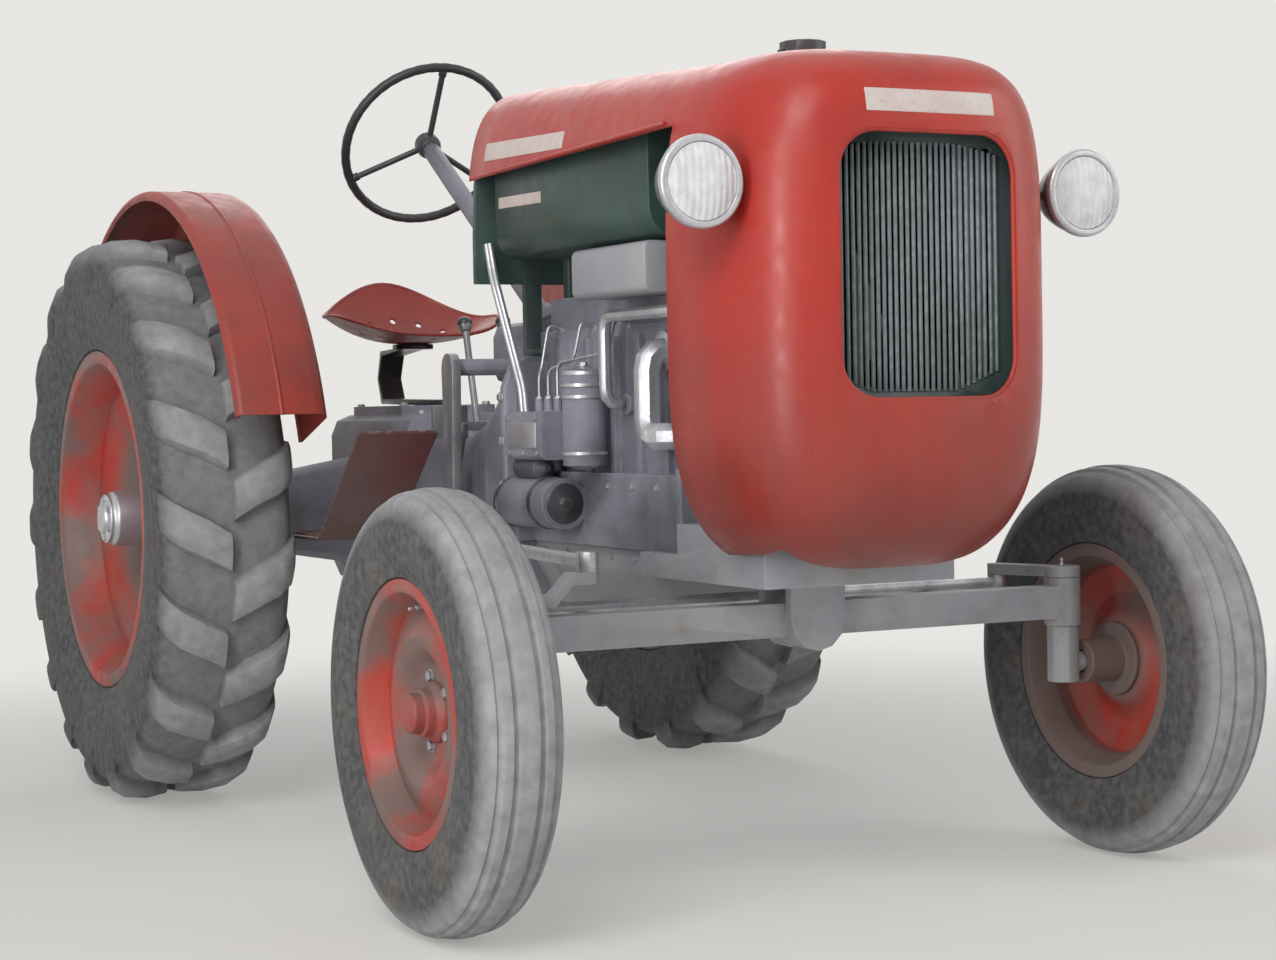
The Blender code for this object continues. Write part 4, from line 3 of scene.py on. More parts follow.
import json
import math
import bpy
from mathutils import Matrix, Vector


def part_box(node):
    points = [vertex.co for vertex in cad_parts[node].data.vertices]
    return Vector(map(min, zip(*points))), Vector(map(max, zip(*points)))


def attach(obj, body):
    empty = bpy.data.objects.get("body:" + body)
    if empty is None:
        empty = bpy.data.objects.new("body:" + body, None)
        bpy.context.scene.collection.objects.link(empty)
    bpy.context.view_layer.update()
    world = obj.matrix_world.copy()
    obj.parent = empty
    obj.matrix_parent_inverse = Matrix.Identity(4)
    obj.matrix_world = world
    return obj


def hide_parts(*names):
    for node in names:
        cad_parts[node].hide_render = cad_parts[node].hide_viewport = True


bl_info = {
    "name": "Vintage Tractor Dressing",
    "version": (1, 0, 0),
    "blender": (4, 5, 0),
    "location": "View3D > Sidebar > Tractor",
    "description": "Adds tyres, rims, fittings and finishes to the packed tractor, one button for each group",
    "category": "Object",
}

import bpy
from mathutils import Matrix, Vector

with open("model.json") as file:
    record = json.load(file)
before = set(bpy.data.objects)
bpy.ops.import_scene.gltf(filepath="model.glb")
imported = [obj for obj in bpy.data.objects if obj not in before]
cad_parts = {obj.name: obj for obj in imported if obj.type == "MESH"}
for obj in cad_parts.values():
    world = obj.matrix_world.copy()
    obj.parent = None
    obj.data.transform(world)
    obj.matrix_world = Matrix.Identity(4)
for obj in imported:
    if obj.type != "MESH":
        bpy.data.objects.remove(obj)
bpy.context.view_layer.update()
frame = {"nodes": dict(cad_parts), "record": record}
RIGHT, LEFT = -1, 1
SIDES = {"right": RIGHT, "left": LEFT}
TURN = 2 * math.pi
X_AXIS, Y_AXIS, Z_AXIS = Vector((1, 0, 0)), Vector((0, 1, 0)), Vector((0, 0, 1))

# Places in the CAD model, in metres
REAR_AXLE_Y = 0.7602
WHEELBASE = 1.73
REAR_RADIUS = 0.6356
REAR_TRACK = 1.377
FRONT_RADIUS = 0.369
FRONT_TRACK = 1.392
SEAM = 0.0003
MERGE_DISTANCE = 1e-5


def at(x, ahead, z):
    """A point x to the driver's left, a distance ahead of the rear axle, and z above the ground."""
    return Vector((x, REAR_AXLE_Y - ahead, z))


def colour_property(name, description, default):
    return bpy.props.FloatVectorProperty(
        name=name, description=description, default=(*default, 1.0), size=4, min=0.0, max=1.0, subtype="COLOR"
    )


def length_property(name, description, default):
    return bpy.props.FloatProperty(
        name=name, description=description, default=default, min=0.0, precision=4, unit="LENGTH"
    )


class TractorColours(bpy.types.PropertyGroup):
    """Colours of the tractor's finishes."""

    red: colour_property("Red enamel", "Sheet metal and wheels in full light", (0.47, 0.03, 0.022))
    red_deep: colour_property("Deep red", "Older, darker patches of the enamel", (0.27, 0.022, 0.02))
    red_faded: colour_property("Faded red", "Sun-bleached patches of the enamel", (0.55, 0.07, 0.04))
    fender: colour_property("Fender red", "Older paint of fenders and seat", (0.33, 0.04, 0.033))
    # Painted shade: the footplates' red paint is darkened to a dull red-brown, as it looks in their shadow.
    # This colour is also the fenders' darker tone and the colour that the low painted shade on the enamel
    # turns to.
    board: colour_property("Board red", "Dull red-brown of the footplates", (0.09, 0.05, 0.042))
    casting: colour_property("Casting grey", "Painted castings of engine and gearbox", (0.34, 0.34, 0.4))
    casting_dark: colour_property("Oily grey", "Oil and soot on the castings", (0.115, 0.115, 0.14))
    casting_pale: colour_property("Pale casting", "Axle, sump and air cleaner under dust", (0.42, 0.42, 0.41))
    silver: colour_property("Bright metal", "Aluminium and plated pieces", (0.6, 0.61, 0.64))
    steel: colour_property("Dull steel", "Axles, rods and levers", (0.34, 0.34, 0.355))
    green: colour_property("Tank green", "Tank, bulkhead and grille", (0.035, 0.085, 0.066))
    slate: colour_property("Slate", "Grille bars", (0.11, 0.15, 0.135))
    rubber: colour_property("Rubber", "Clean tyre rubber", (0.055, 0.056, 0.057))
    chalk: colour_property("Tread dust", "Pale dust on the tread and lugs", (0.36, 0.365, 0.375))
    dirt: colour_property("Field dust", "Dry earth on the lower parts", (0.2, 0.155, 0.11))
    # Mud on the wheels' inner sides, and painted shade in patches across the wheel discs.
    mud: colour_property("Wheel mud", "Dry mud on the inner sides of the wheels", (0.15, 0.135, 0.12))
    plate: colour_property("Blank plates", "Pale enamelled plates without any letters", (0.68, 0.6, 0.56))
    black: colour_property("Black paint", "Steering wheel, lamps, knobs and cap", (0.028, 0.028, 0.032))


class TractorSizes(bpy.types.PropertyGroup):
    """Sizes of the small fittings."""

    bolt: length_property("Bolt head", "Radius of a common bolt head", 0.009)
    small_bolt: length_property("Small bolt head", "Radius of a small bolt head", 0.0055)
    stud: length_property("Wheel nut", "Radius of a wheel nut", 0.012)
    sheet_round: length_property("Sheet edges", "Radius on the edges of pressed sheet", 0.0012)
    fuel_pipe: length_property("Fuel pipe", "Radius of the injector pipes", 0.0032)
    wire: length_property("Grille wire", "Radius of the grille's bars", 0.0028)


class TractorCamera(bpy.types.PropertyGroup):
    """Where the photograph was taken from."""

    place: bpy.props.FloatVectorProperty(
        name="Place", description="The lens", default=(-2.1831, -4.6237, 0.8567), subtype="TRANSLATION"
    )
    yaw: bpy.props.FloatProperty(
        name="Yaw", description="Turn from straight ahead towards the left", default=0.471263, subtype="ANGLE"
    )
    pitch: bpy.props.FloatProperty(
        name="Pitch", description="Tilt above the horizon", default=-0.028732, subtype="ANGLE"
    )
    roll: bpy.props.FloatProperty(
        name="Roll", description="Lean of the picture", default=-0.018755, subtype="ANGLE"
    )
    lens: bpy.props.FloatProperty(name="Lens", description="Focal length in millimetres", default=67.68)


class Finish:
    """A node material under construction, with the object's own coordinates ready."""

    def __init__(self, name, metallic=0.0, coat=0.0):
        self.material = bpy.data.materials.new(name)
        self.material.use_nodes = True
        self.tree = self.material.node_tree
        self.shader = self.tree.nodes["Principled BSDF"]
        self.shader.inputs["Metallic"].default_value = metallic
        self.shader.inputs["Coat Weight"].default_value = coat
        self.place = self.tree.nodes.new("ShaderNodeTexCoord").outputs["Object"]

    def set(self, socket, value):
        if isinstance(value, bpy.types.NodeSocket):
            self.tree.links.new(value, socket)
        else:
            socket.default_value = value

    def node(self, kind, **inputs):
        """A new node with these inputs, each a value or another node's socket."""
        made = self.tree.nodes.new("ShaderNode" + kind)
        for name, value in inputs.items():
            self.set(made.inputs[name.replace("_", " ")], value)
        return made

    def math(self, operation, first, second=0.0, clamp=False):
        made = self.tree.nodes.new("ShaderNodeMath")
        made.operation = operation
        made.use_clamp = clamp
        self.set(made.inputs[0], first)
        self.set(made.inputs[1], second)
        return made.outputs[0]

    def span(self, value, low, high, to_low=0.0, to_high=1.0):
        """The value's run from low to high, turned into a run between two other numbers."""
        run = {"From_Min": low, "From_Max": high, "To_Min": to_low, "To_Max": to_high}
        return self.node("MapRange", Value=value, **run).outputs["Result"]

    def noise(self, scale, detail=3.0, stretch=(1, 1, 1)):
        place = self.node("Mapping", Vector=self.place, Scale=stretch).outputs["Vector"]
        return self.node("TexNoise", Vector=place, Scale=scale, Detail=detail).outputs["Fac"]

    def axis(self, letter):
        return self.node("SeparateXYZ", Vector=self.place).outputs[letter]

    def radius_from(self, centre):
        """The distance from a wheel's axle line, which runs across the tractor."""
        along = self.math("SUBTRACT", self.axis("Y"), centre.y)
        up = self.math("SUBTRACT", self.axis("Z"), centre.z)
        squares = self.math("ADD", self.math("MULTIPLY", along, along), self.math("MULTIPLY", up, up))
        return self.math("SQRT", squares)

    def edges(self, width):
        """Bright where the surface turns within this width: worn edges and corners."""
        bevel = self.node("Bevel", Radius=width)
        bevel.samples = 4
        geometry = self.node("NewGeometry")
        dot = self.tree.nodes.new("ShaderNodeVectorMath")
        dot.operation = "DOT_PRODUCT"
        self.tree.links.new(bevel.outputs["Normal"], dot.inputs[0])
        self.tree.links.new(geometry.outputs["Normal"], dot.inputs[1])
        return self.span(dot.outputs["Value"], 0.99, 0.8)

    def mix(self, share, first, second):
        made = self.tree.nodes.new("ShaderNodeMix")
        made.data_type = "RGBA"
        self.set(made.inputs["Factor"], share)
        self.set(made.inputs["A"], first)
        self.set(made.inputs["B"], second)
        return made.outputs["Result"]

    def bump(self, height, strength, distance):
        made = self.node("Bump", Strength=strength, Distance=distance, Height=height)
        self.set(self.shader.inputs["Normal"], made.outputs["Normal"])

    def done(self, colour, roughness):
        self.set(self.shader.inputs["Base Color"], colour)
        self.set(self.shader.inputs["Roughness"], roughness)
        return self.material


def look_through(camera_data):
    """Places the camera where the photograph was taken from."""
    view = bpy.context.scene.tractor_camera
    yaw, pitch, roll = view.yaw, view.pitch, view.roll
    forward = Vector((math.sin(yaw) * math.cos(pitch), math.cos(yaw) * math.cos(pitch), math.sin(pitch)))
    level = Vector((math.cos(yaw), -math.sin(yaw), 0))
    above = level.cross(forward)
    aside = level * math.cos(roll) + above * math.sin(roll)
    up = above * math.cos(roll) - level * math.sin(roll)
    camera = bpy.data.objects.new("studio_camera", camera_data)
    bpy.context.scene.collection.objects.link(camera)
    turn = Matrix((aside, up, -forward)).transposed().to_4x4()
    camera.matrix_world = Matrix.Translation(view.place) @ turn
    bpy.context.scene.camera = camera


def pick(*pieces):
    """Selects these pieces and nothing else."""
    if bpy.context.mode != "OBJECT":
        bpy.ops.object.mode_set(mode="OBJECT")
    bpy.ops.object.select_all(action="DESELECT")
    for piece in pieces:
        piece.select_set(True)
        bpy.context.view_layer.objects.active = piece


def edit(piece, wanted=None, kind="FACE"):
    """Enters edit mode with the wanted faces, edges or points selected, or all of them."""
    pick(piece)
    bpy.ops.object.mode_set(mode="EDIT")
    bpy.ops.mesh.select_mode(type=kind)
    bpy.ops.mesh.select_all(action="SELECT" if wanted is None else "DESELECT")
    if wanted is not None:
        bpy.ops.object.mode_set(mode="OBJECT")
        mesh = piece.data
        parts = {"FACE": mesh.polygons, "EDGE": mesh.edges, "VERT": mesh.vertices}[kind]
        for part in parts:
            part.select = bool(wanted(part))
        bpy.ops.object.mode_set(mode="EDIT")


def leave():
    bpy.ops.object.mode_set(mode="OBJECT")


def settle(piece):
    """Puts the piece's place into its mesh, so that its object sits at the origin."""
    pick(piece)
    bpy.ops.object.transform_apply(location=True, rotation=True, scale=True)


def modify(piece, kind, **values):
    """Adds a modifier with these values and applies it."""
    pick(piece)
    modifier = piece.modifiers.new(kind.title(), kind)
    for name, value in values.items():
        setattr(modifier, name, value)
    bpy.ops.object.modifier_apply(modifier=modifier.name)


def rounded_edges(piece, width, segments=2, angle=30):
    """Rounds the sharp edges and smooths what lies between them."""
    limit = math.radians(angle)
    modify(piece, "BEVEL", width=width, segments=segments, limit_method="ANGLE", angle_limit=limit)
    smooth(piece)


def smooth(piece, angle=35):
    pick(piece)
    bpy.ops.object.shade_smooth_by_angle(angle=math.radians(angle))


def outward(piece):
    """Merges points that lie together and turns every face outward."""
    edit(piece)
    bpy.ops.mesh.remove_doubles(threshold=MERGE_DISTANCE)
    bpy.ops.mesh.normals_make_consistent(inside=False)
    leave()


def joined(name, pieces):
    """Joins the pieces into the first one, each with its mesh already in place."""
    pick(*reversed(pieces))
    if len(pieces) > 1:
        bpy.ops.object.join()
    piece = bpy.context.view_layer.objects.active
    piece.name = name
    return piece


def copied(piece, matrix):
    """A copy of the piece with its own mesh, moved by the matrix."""
    made = piece.copy()
    made.data = piece.data.copy()
    bpy.context.scene.collection.objects.link(made)
    made.matrix_world = matrix @ made.matrix_world
    settle(made)
    return made


def across(direction):
    """Two directions square to this one."""
    side = Z_AXIS.cross(direction)
    side = side.normalized() if side.length > 0.1 else X_AXIS.copy()
    return side, direction.cross(side).normalized()


def outlined(points):
    """A circle primitive whose points are moved onto the given outline."""
    pick()
    bpy.ops.mesh.primitive_circle_add(vertices=len(points), radius=1, location=(0, 0, 0))
    piece = bpy.context.object
    for vertex, point in zip(piece.data.vertices, points):
        vertex.co = point
    return piece


def turned(points, centre, direction, steps=48):
    """Spins an outline of (along, out) pairs round an axle line."""
    side, _ = across(direction)
    piece = outlined([centre + direction * along + side * out for along, out in points])
    edit(piece)
    bpy.ops.mesh.spin(steps=steps, angle=TURN, center=centre, axis=direction, use_auto_merge=True)
    leave()
    outward(piece)
    return piece


def extruded(points, way):
    """Fills an outline and draws it out along a way."""
    piece = outlined(points)
    edit(piece)
    bpy.ops.mesh.edge_face_add()
    bpy.ops.mesh.extrude_region_move(TRANSFORM_OT_translate={"value": way})
    leave()
    outward(piece)
    return piece


def bar(start, end, radius, sides=16, round_ends=0.0):
    """A round bar between two points, with its ends rounded over."""
    start, end = Vector(start), Vector(end)
    pick()
    bpy.ops.mesh.primitive_cylinder_add(
        vertices=sides,
        radius=radius,
        depth=(end - start).length,
        location=(start + end) / 2,
        rotation=(end - start).to_track_quat("Z", "Y").to_euler(),
    )
    piece = bpy.context.object
    settle(piece)
    if round_ends:
        modify(piece, "BEVEL", width=round_ends, segments=2, limit_method="ANGLE", angle_limit=1.0)
    smooth(piece, 50)
    return piece


def soft_block(low, high, radius, segments=3):
    """A block between two corners with rounded edges."""
    low, high = Vector(low), Vector(high)
    pick()
    bpy.ops.mesh.primitive_cube_add(size=1, location=(low + high) / 2)
    piece = bpy.context.object
    piece.scale = high - low
    settle(piece)
    modify(piece, "BEVEL", width=radius, segments=segments, limit_method="NONE")
    smooth(piece, 50)
    return piece


def leaning(first, corner, last, steps):
    """Points of a soft turn from first to last that leans towards the corner."""
    shares = [k / steps for k in range(steps + 1)]
    return [first * (1 - t) ** 2 + corner * 2 * t * (1 - t) + last * t**2 for t in shares]


def tube(points, radius, sides=12, bend=0.0, closed=False):
    """A pipe along a route, whose corners are rounded by the bend."""
    points = [Vector(point) for point in points]
    route = list(points)
    if bend and not closed:
        route = [points[0]]
        for before, corner, after in zip(points, points[1:], points[2:]):
            reach = min(bend, (before - corner).length / 2.01, (after - corner).length / 2.01)
            first = corner + (before - corner).normalized() * reach
            last = corner + (after - corner).normalized() * reach
            route += leaning(first, corner, last, 6)
        route.append(points[-1])
    curve = bpy.data.curves.new("tube", "CURVE")
    curve.dimensions = "3D"
    spline = curve.splines.new("POLY")
    spline.points.add(len(route) - 1)
    for place, point in zip(spline.points, route):
        place.co = (*point, 1)
    spline.use_cyclic_u = closed
    curve.bevel_depth = radius
    curve.bevel_resolution = max(sides // 4 - 1, 1)
    curve.use_fill_caps = not closed
    piece = bpy.data.objects.new("tube", curve)
    bpy.context.scene.collection.objects.link(piece)
    pick(piece)
    bpy.ops.object.convert(target="MESH")
    piece = bpy.context.object
    outward(piece)
    smooth(piece, 50)
    return piece


def facing(place, direction):
    """The matrix that sets a piece made on the Z axis at a place, facing a direction."""
    turn = Vector(direction).normalized().to_track_quat("Z", "Y").to_matrix().to_4x4()
    return Matrix.Translation(Vector(place)) @ turn


def bolt_head(place, direction, radius, height=None):
    """A hexagon head with a turned top and a washer, standing out from its seat."""
    height = height or radius * 0.75
    pick()
    bpy.ops.mesh.primitive_cylinder_add(vertices=6, radius=radius, depth=height, location=(0, 0, height / 2))
    head = bpy.context.object
    settle(head)
    edit(head, lambda face: face.normal.z > 0.9)
    bpy.ops.mesh.inset(thickness=radius * 0.14, depth=radius * 0.1)
    leave()
    bpy.ops.mesh.primitive_cylinder_add(
        vertices=16, radius=radius * 1.35, depth=radius * 0.16, location=(0, 0, radius * 0.06)
    )
    washer = bpy.context.object
    settle(washer)
    piece = joined("bolt", [head, washer])
    piece.matrix_world = facing(place, direction)
    settle(piece)
    return piece


def bolts(name, seats, radius, body):
    """Bolt heads at these (place, direction) seats, as one piece."""
    pattern = bolt_head((0, 0, 0), (0, 0, 1), radius)
    made = [copied(pattern, facing(place, direction)) for place, direction in seats]
    bpy.data.objects.remove(pattern)
    placed(joined(name, made), body, "zinc")


def placed(piece, body, material, replaced=()):
    """Gives a finished piece its material and body, and hides the CAD nodes it stands for."""
    piece.data.materials.clear()
    piece.data.materials.append(bpy.data.materials[material])
    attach(piece, body)
    if replaced:
        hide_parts(*replaced)
    return piece


def fitted(name, pieces, angle, body, material, replaced=()):
    """Joins the pieces under one name, smooths them and gives them their finish and body."""
    piece = joined(name, pieces)
    smooth(piece, angle)
    return placed(piece, body, material, replaced)


def refined(name, width, body, material):
    """A copy of a CAD node in its place, with flat faces joined and its edges rounded."""
    pick()
    piece = bpy.data.objects.new(name + "_body", frame["nodes"][name].data.copy())
    bpy.context.scene.collection.objects.link(piece)
    edit(piece)
    bpy.ops.mesh.remove_doubles(threshold=2e-5)
    bpy.ops.mesh.dissolve_limited(angle_limit=math.radians(1.0))
    leave()
    modify(
        piece,
        "BEVEL",
        width=width,
        segments=2,
        limit_method="ANGLE",
        angle_limit=math.radians(30),
        use_clamp_overlap=True,
        harden_normals=False,
        miter_outer="MITER_ARC",
    )
    smooth(piece, 40)
    return placed(piece, body, material, (name,))


# The finish that a CAD node shows for each slot of the record
SLOT_FINISHES = {
    "red_paint": "red_enamel",
    "dark_paint": "shaded_board_red",
    "green_black": "tank_green",
    "cast_grey": "casting_grey",
    "silver": "bright_metal",
    "steel": "dull_steel",
    "black": "black_enamel",
    "tyre_rubber": "rubber_rear_right",
    "lens_glass": "lamp_glass",
}


def enamel(name, main, faded, deep, gloss, wear_to, wear=0.5, mud=0.0, low_shade=0.0):
    """Brushed enamel with faded patches, dust and chips.

    Painted shade darkens the paint towards the bottom, and wheel mud lies on the inner side of the wheels and
    in patches, which are partly painted shade on the discs.
    """
    colours = bpy.context.scene.tractor_colours
    paint = Finish(name)
    paint.shader.inputs["Specular IOR Level"].default_value = 0.42
    patches = paint.span(paint.noise(2.3, 4), 0.36, 0.68)
    blotches = paint.span(paint.noise(7.0, 6), 0.45, 0.75)
    colour = paint.mix(paint.math("MULTIPLY", patches, 0.55), main, faded)
    colour = paint.mix(paint.math("MULTIPLY", blotches, 0.4), colour, deep)
    fine = paint.noise(95, 3)
    colour = paint.mix(paint.span(fine, 0.3, 0.9, 0, 0.22), colour, deep)
    streaks = paint.noise(11, 5, (1, 1, 0.12))
    low = paint.span(paint.axis("Z"), 1.0, 0.2)
    dusty = paint.math("ADD", low, 0.16)
    grime = paint.math("MULTIPLY", paint.span(streaks, 0.42, 0.72), dusty, clamp=True)
    colour = paint.mix(paint.math("MULTIPLY", grime, 0.5), colour, colours.dirt)
    # Painted shade: lower down, the paint turns towards the dark red-brown of the footplates.
    if low_shade:
        colour = paint.mix(paint.span(paint.axis("Z"), 1.05, 0.58, 0, low_shade), colour, colours.board)
    # Real mud on the inner side of each wheel. The noise patches in the same colour are partly mud and partly
    # painted shade on the discs.
    if mud:
        inboard = paint.span(paint.math("ABSOLUTE", paint.axis("X")), 0.712, 0.69, 0, 0.9)
        patches = paint.span(paint.noise(5.2, 6), 0.43, 0.6, 0, mud)
        colour = paint.mix(paint.math("MAXIMUM", inboard, patches), colour, colours.mud)
    flakes = paint.span(paint.noise(60, 5), 0.48, 0.6)
    chips = paint.math("MULTIPLY", paint.edges(0.006), flakes, clamp=True)
    colour = paint.mix(paint.math("MULTIPLY", chips, wear, clamp=True), colour, wear_to)
    rough = paint.span(paint.noise(30, 4), 0.3, 0.75, gloss, gloss + 0.16)
    dull = paint.math("MULTIPLY", paint.math("ADD", grime, chips), 0.25)
    rough = paint.math("ADD", rough, dull, clamp=True)
    waves = paint.math("ADD", paint.noise(3.5, 2), paint.math("MULTIPLY", fine, 0.03))
    paint.bump(paint.math("SUBTRACT", waves, paint.math("MULTIPLY", chips, 0.05)), 0.35, 0.006)
    return paint.done(colour, rough)


def cast_iron(name, main, dark, rough_low=0.5):
    """Painted rough castings: sand grain, oil in the low places, bare metal on the edges."""
    colours = bpy.context.scene.tractor_colours
    metal = Finish(name, metallic=0.15)
    oil = metal.span(metal.noise(5.5, 6), 0.4, 0.64)
    run = metal.span(metal.noise(9, 5, (1, 1, 0.15)), 0.5, 0.72)
    colour = metal.mix(metal.math("MULTIPLY", oil, 0.75), main, dark)
    colour = metal.mix(metal.math("MULTIPLY", run, 0.5), colour, dark)
    sand = metal.noise(240, 4)
    colour = metal.mix(metal.span(sand, 0.35, 0.8, 0, 0.3), colour, dark)
    low = metal.span(metal.axis("Z"), 1.0, 0.3)
    dust = metal.math("MULTIPLY", metal.span(metal.noise(14, 5), 0.5, 0.75), low)
    colour = metal.mix(metal.math("MULTIPLY", dust, 0.5, clamp=True), colour, colours.dirt)
    worn = metal.span(metal.noise(45, 4), 0.4, 0.65)
    bare = metal.math("MULTIPLY", metal.edges(0.005), worn, clamp=True)
    colour = metal.mix(metal.math("MULTIPLY", bare, 0.7), colour, colours.silver)
    rough = metal.span(oil, 0, 1, rough_low + 0.2, rough_low - 0.08)
    metal.bump(metal.math("ADD", sand, metal.math("MULTIPLY", metal.noise(28, 3), 1.5)), 0.5, 0.0012)
    return metal.done(colour, rough)


def worked_metal(name, colour, metallic, low, high, tarnish):
    """Machined or plated metal with tool marks, tarnish and handling dirt."""
    colours = bpy.context.scene.tractor_colours
    metal = Finish(name, metallic=metallic)
    marks = metal.noise(150, 4)
    stains = metal.span(metal.noise(12, 6), 0.42, 0.7)
    mixed = metal.mix(metal.math("MULTIPLY", stains, tarnish), colour, colours.casting_dark)
    mixed = metal.mix(metal.span(marks, 0.35, 0.8, 0, 0.2), mixed, colours.casting_dark)
    dull = metal.math("MULTIPLY", stains, 0.18)
    rough = metal.math("ADD", metal.span(marks, 0.2, 0.8, low, high), dull, clamp=True)
    metal.bump(marks, 0.3, 0.0004)
    return metal.done(mixed, rough)


def dusty_rubber(name, hub, tread_from, tread_to):
    """Tyre rubber, pale and scuffed on the tread, dark and dusty on its walls, told apart by radius."""
    colours = bpy.context.scene.tractor_colours
    rubber = Finish(name)
    out = rubber.radius_from(hub)
    tread = rubber.span(out, tread_from, tread_to)
    scuffs = rubber.span(rubber.noise(34, 6), 0.25, 0.8, 0.25, 0.85)
    pale = rubber.math("MULTIPLY", tread, rubber.math("ADD", scuffs, 0.35), clamp=True)
    colour = rubber.mix(pale, colours.rubber, colours.chalk)
    clods = rubber.span(rubber.noise(9, 6), 0.46, 0.75)
    colour = rubber.mix(rubber.math("MULTIPLY", clods, 0.3), colour, colours.dirt)
    film = rubber.span(rubber.noise(60, 4), 0.35, 0.75, 0, 0.25)
    colour = rubber.mix(film, colour, colours.chalk)
    rings = rubber.math("SINE", rubber.math("MULTIPLY", out, 900))
    wall = rubber.math("SUBTRACT", 1.0, tread, clamp=True)
    moulding = rubber.math("MULTIPLY", rings, rubber.math("MULTIPLY", wall, 0.12))
    rubber.bump(rubber.math("ADD", rubber.noise(180, 4), moulding), 0.5, 0.0012)
    return rubber.done(colour, rubber.span(scuffs, 0, 1, 0.66, 0.88))


def lamp_glass():
    """Ribbed lamp glass with a grey film of dust, painted almost opaque and near white as a painted
    reflection.
    """
    glass = Finish("lamp_glass")
    film = glass.span(glass.noise(40, 5), 0.3, 0.75)
    ribs = glass.math("SINE", glass.math("MULTIPLY", glass.axis("X"), 520))
    # Painted reflection: low transmission and a near-white base colour stand in for the bright reflector seen
    # through clear glass.
    glass.shader.inputs["Transmission Weight"].default_value = 0.12
    glass.shader.inputs["IOR"].default_value = 1.48
    glass.bump(ribs, 0.4, 0.001)
    colour = glass.mix(film, (0.93, 0.94, 0.95, 1), (0.7, 0.71, 0.72, 1))
    return glass.done(colour, glass.span(film, 0, 1, 0.12, 0.35))


def blank_plate():
    """Cream enamel on pressed plates, yellowed and chipped, with nothing written on it."""
    colours = bpy.context.scene.tractor_colours
    plate = Finish("blank_plate", coat=0.2)
    age = plate.span(plate.noise(22, 5), 0.35, 0.7)
    colour = plate.mix(plate.math("MULTIPLY", age, 0.16), colours.plate, colours.red_faded)
    colour = plate.mix(plate.span(plate.noise(130, 4), 0.55, 0.85, 0, 0.4), colour, colours.dirt)
    plate.bump(plate.noise(70, 3), 0.2, 0.0006)
    return plate.done(colour, plate.span(age, 0, 1, 0.32, 0.55))


class TRACTOR_OT_finishes(bpy.types.Operator):
    """Procedural paint, metal, rubber and glass for every surface"""

    bl_idname = "tractor.finishes"
    bl_label = "Finishes"

    def execute(self, context):
        colours = context.scene.tractor_colours
        red, faded, deep = colours.red, colours.red_faded, colours.red_deep
        enamel("red_enamel", red, faded, deep, 0.26, deep, low_shade=0.55)
        enamel("fender_red", colours.fender, faded, colours.board, 0.34, colours.board)
        enamel("wheel_red", red, faded, deep, 0.38, colours.dirt, 0.8, mud=0.85)
        # Footplates in painted shade: their red paint is darkened as if it lay in shadow.
        enamel("shaded_board_red", colours.board, deep, colours.casting_dark, 0.45, colours.steel, 0.9)
        enamel("tank_green", colours.green, colours.casting_dark, colours.black, 0.3, colours.steel, 0.6)
        enamel("black_enamel", colours.black, colours.casting_dark, colours.black, 0.24, colours.steel, 0.5)
        cast_iron("casting_grey", colours.casting, colours.casting_dark)
        cast_iron("casting_pale", colours.casting_pale, colours.casting)
        cast_iron("oily_casting", colours.casting_dark, colours.black, 0.36)
        worked_metal("bright_metal", colours.silver, 0.75, 0.26, 0.44, 0.35)
        worked_metal("dull_steel", colours.steel, 0.7, 0.36, 0.56, 0.5)
        worked_metal("zinc", colours.silver, 0.85, 0.3, 0.5, 0.45)
        worked_metal("mirror_metal", colours.silver, 0.9, 0.14, 0.26, 0.2)
        enamel("grille_slate", colours.slate, colours.casting, colours.green, 0.34, colours.silver, 0.6)
        for word, side in SIDES.items():
            rear = at(side * REAR_TRACK / 2, 0, REAR_RADIUS)
            front = at(side * FRONT_TRACK / 2, WHEELBASE, FRONT_RADIUS)
            dusty_rubber(f"rubber_rear_{word}", rear, 0.57, 0.625)
            dusty_rubber(f"rubber_front_{word}", front, 0.315, 0.35)
        lamp_glass()
        blank_plate()
        for node in frame["nodes"].values():
            for slot in node.material_slots:
                base = slot.material.name.split(".")[0] if slot.material else ""
                if base in SLOT_FINISHES:
                    slot.material = bpy.data.materials[SLOT_FINISHES[base]]
        return {"FINISHED"}


# An outline's point nearer than this to the axle line or the middle plane lies on it
ON_LINE = 1e-6


def flowing(points, steps=5):
    """A smooth run through the points."""
    points = [Vector(point) for point in points]
    ends = [2 * points[0] - points[1], *points, 2 * points[-1] - points[-2]]
    run = []
    for a, b, c, d in zip(ends, ends[1:], ends[2:], ends[3:]):
        for i in range(steps):
            t = i / steps
            square, cube = 2 * a - 5 * b + 4 * c - d, 3 * b - a - 3 * c + d
            run.append(0.5 * (2 * b + (c - a) * t + square * t**2 + cube * t**3))
    return [tuple(point) for point in [*run, points[-1]]]


def softened(points, radius, steps=3):
    """A closed outline with its corners rounded."""
    points = [Vector(point) for point in points]
    run = []
    for i, corner in enumerate(points):
        before, after = points[i - 1] - corner, points[(i + 1) % len(points)] - corner
        reach = min(radius, before.length * 0.4, after.length * 0.4)
        on_axle = corner.y < ON_LINE
        if on_axle or before.normalized().dot(after.normalized()) < -0.995:
            run.append(corner)
            continue
        first, last = corner + before.normalized() * reach, corner + after.normalized() * reach
        run += leaning(first, corner, last, steps)
    return [tuple(point) for point in run]


def mirrored_outline(half):
    """Half an outline of (along, out) pairs and its mirror image, as one closed outline."""
    return [*half, *[(-along, out) for along, out in reversed(half) if along > ON_LINE]]


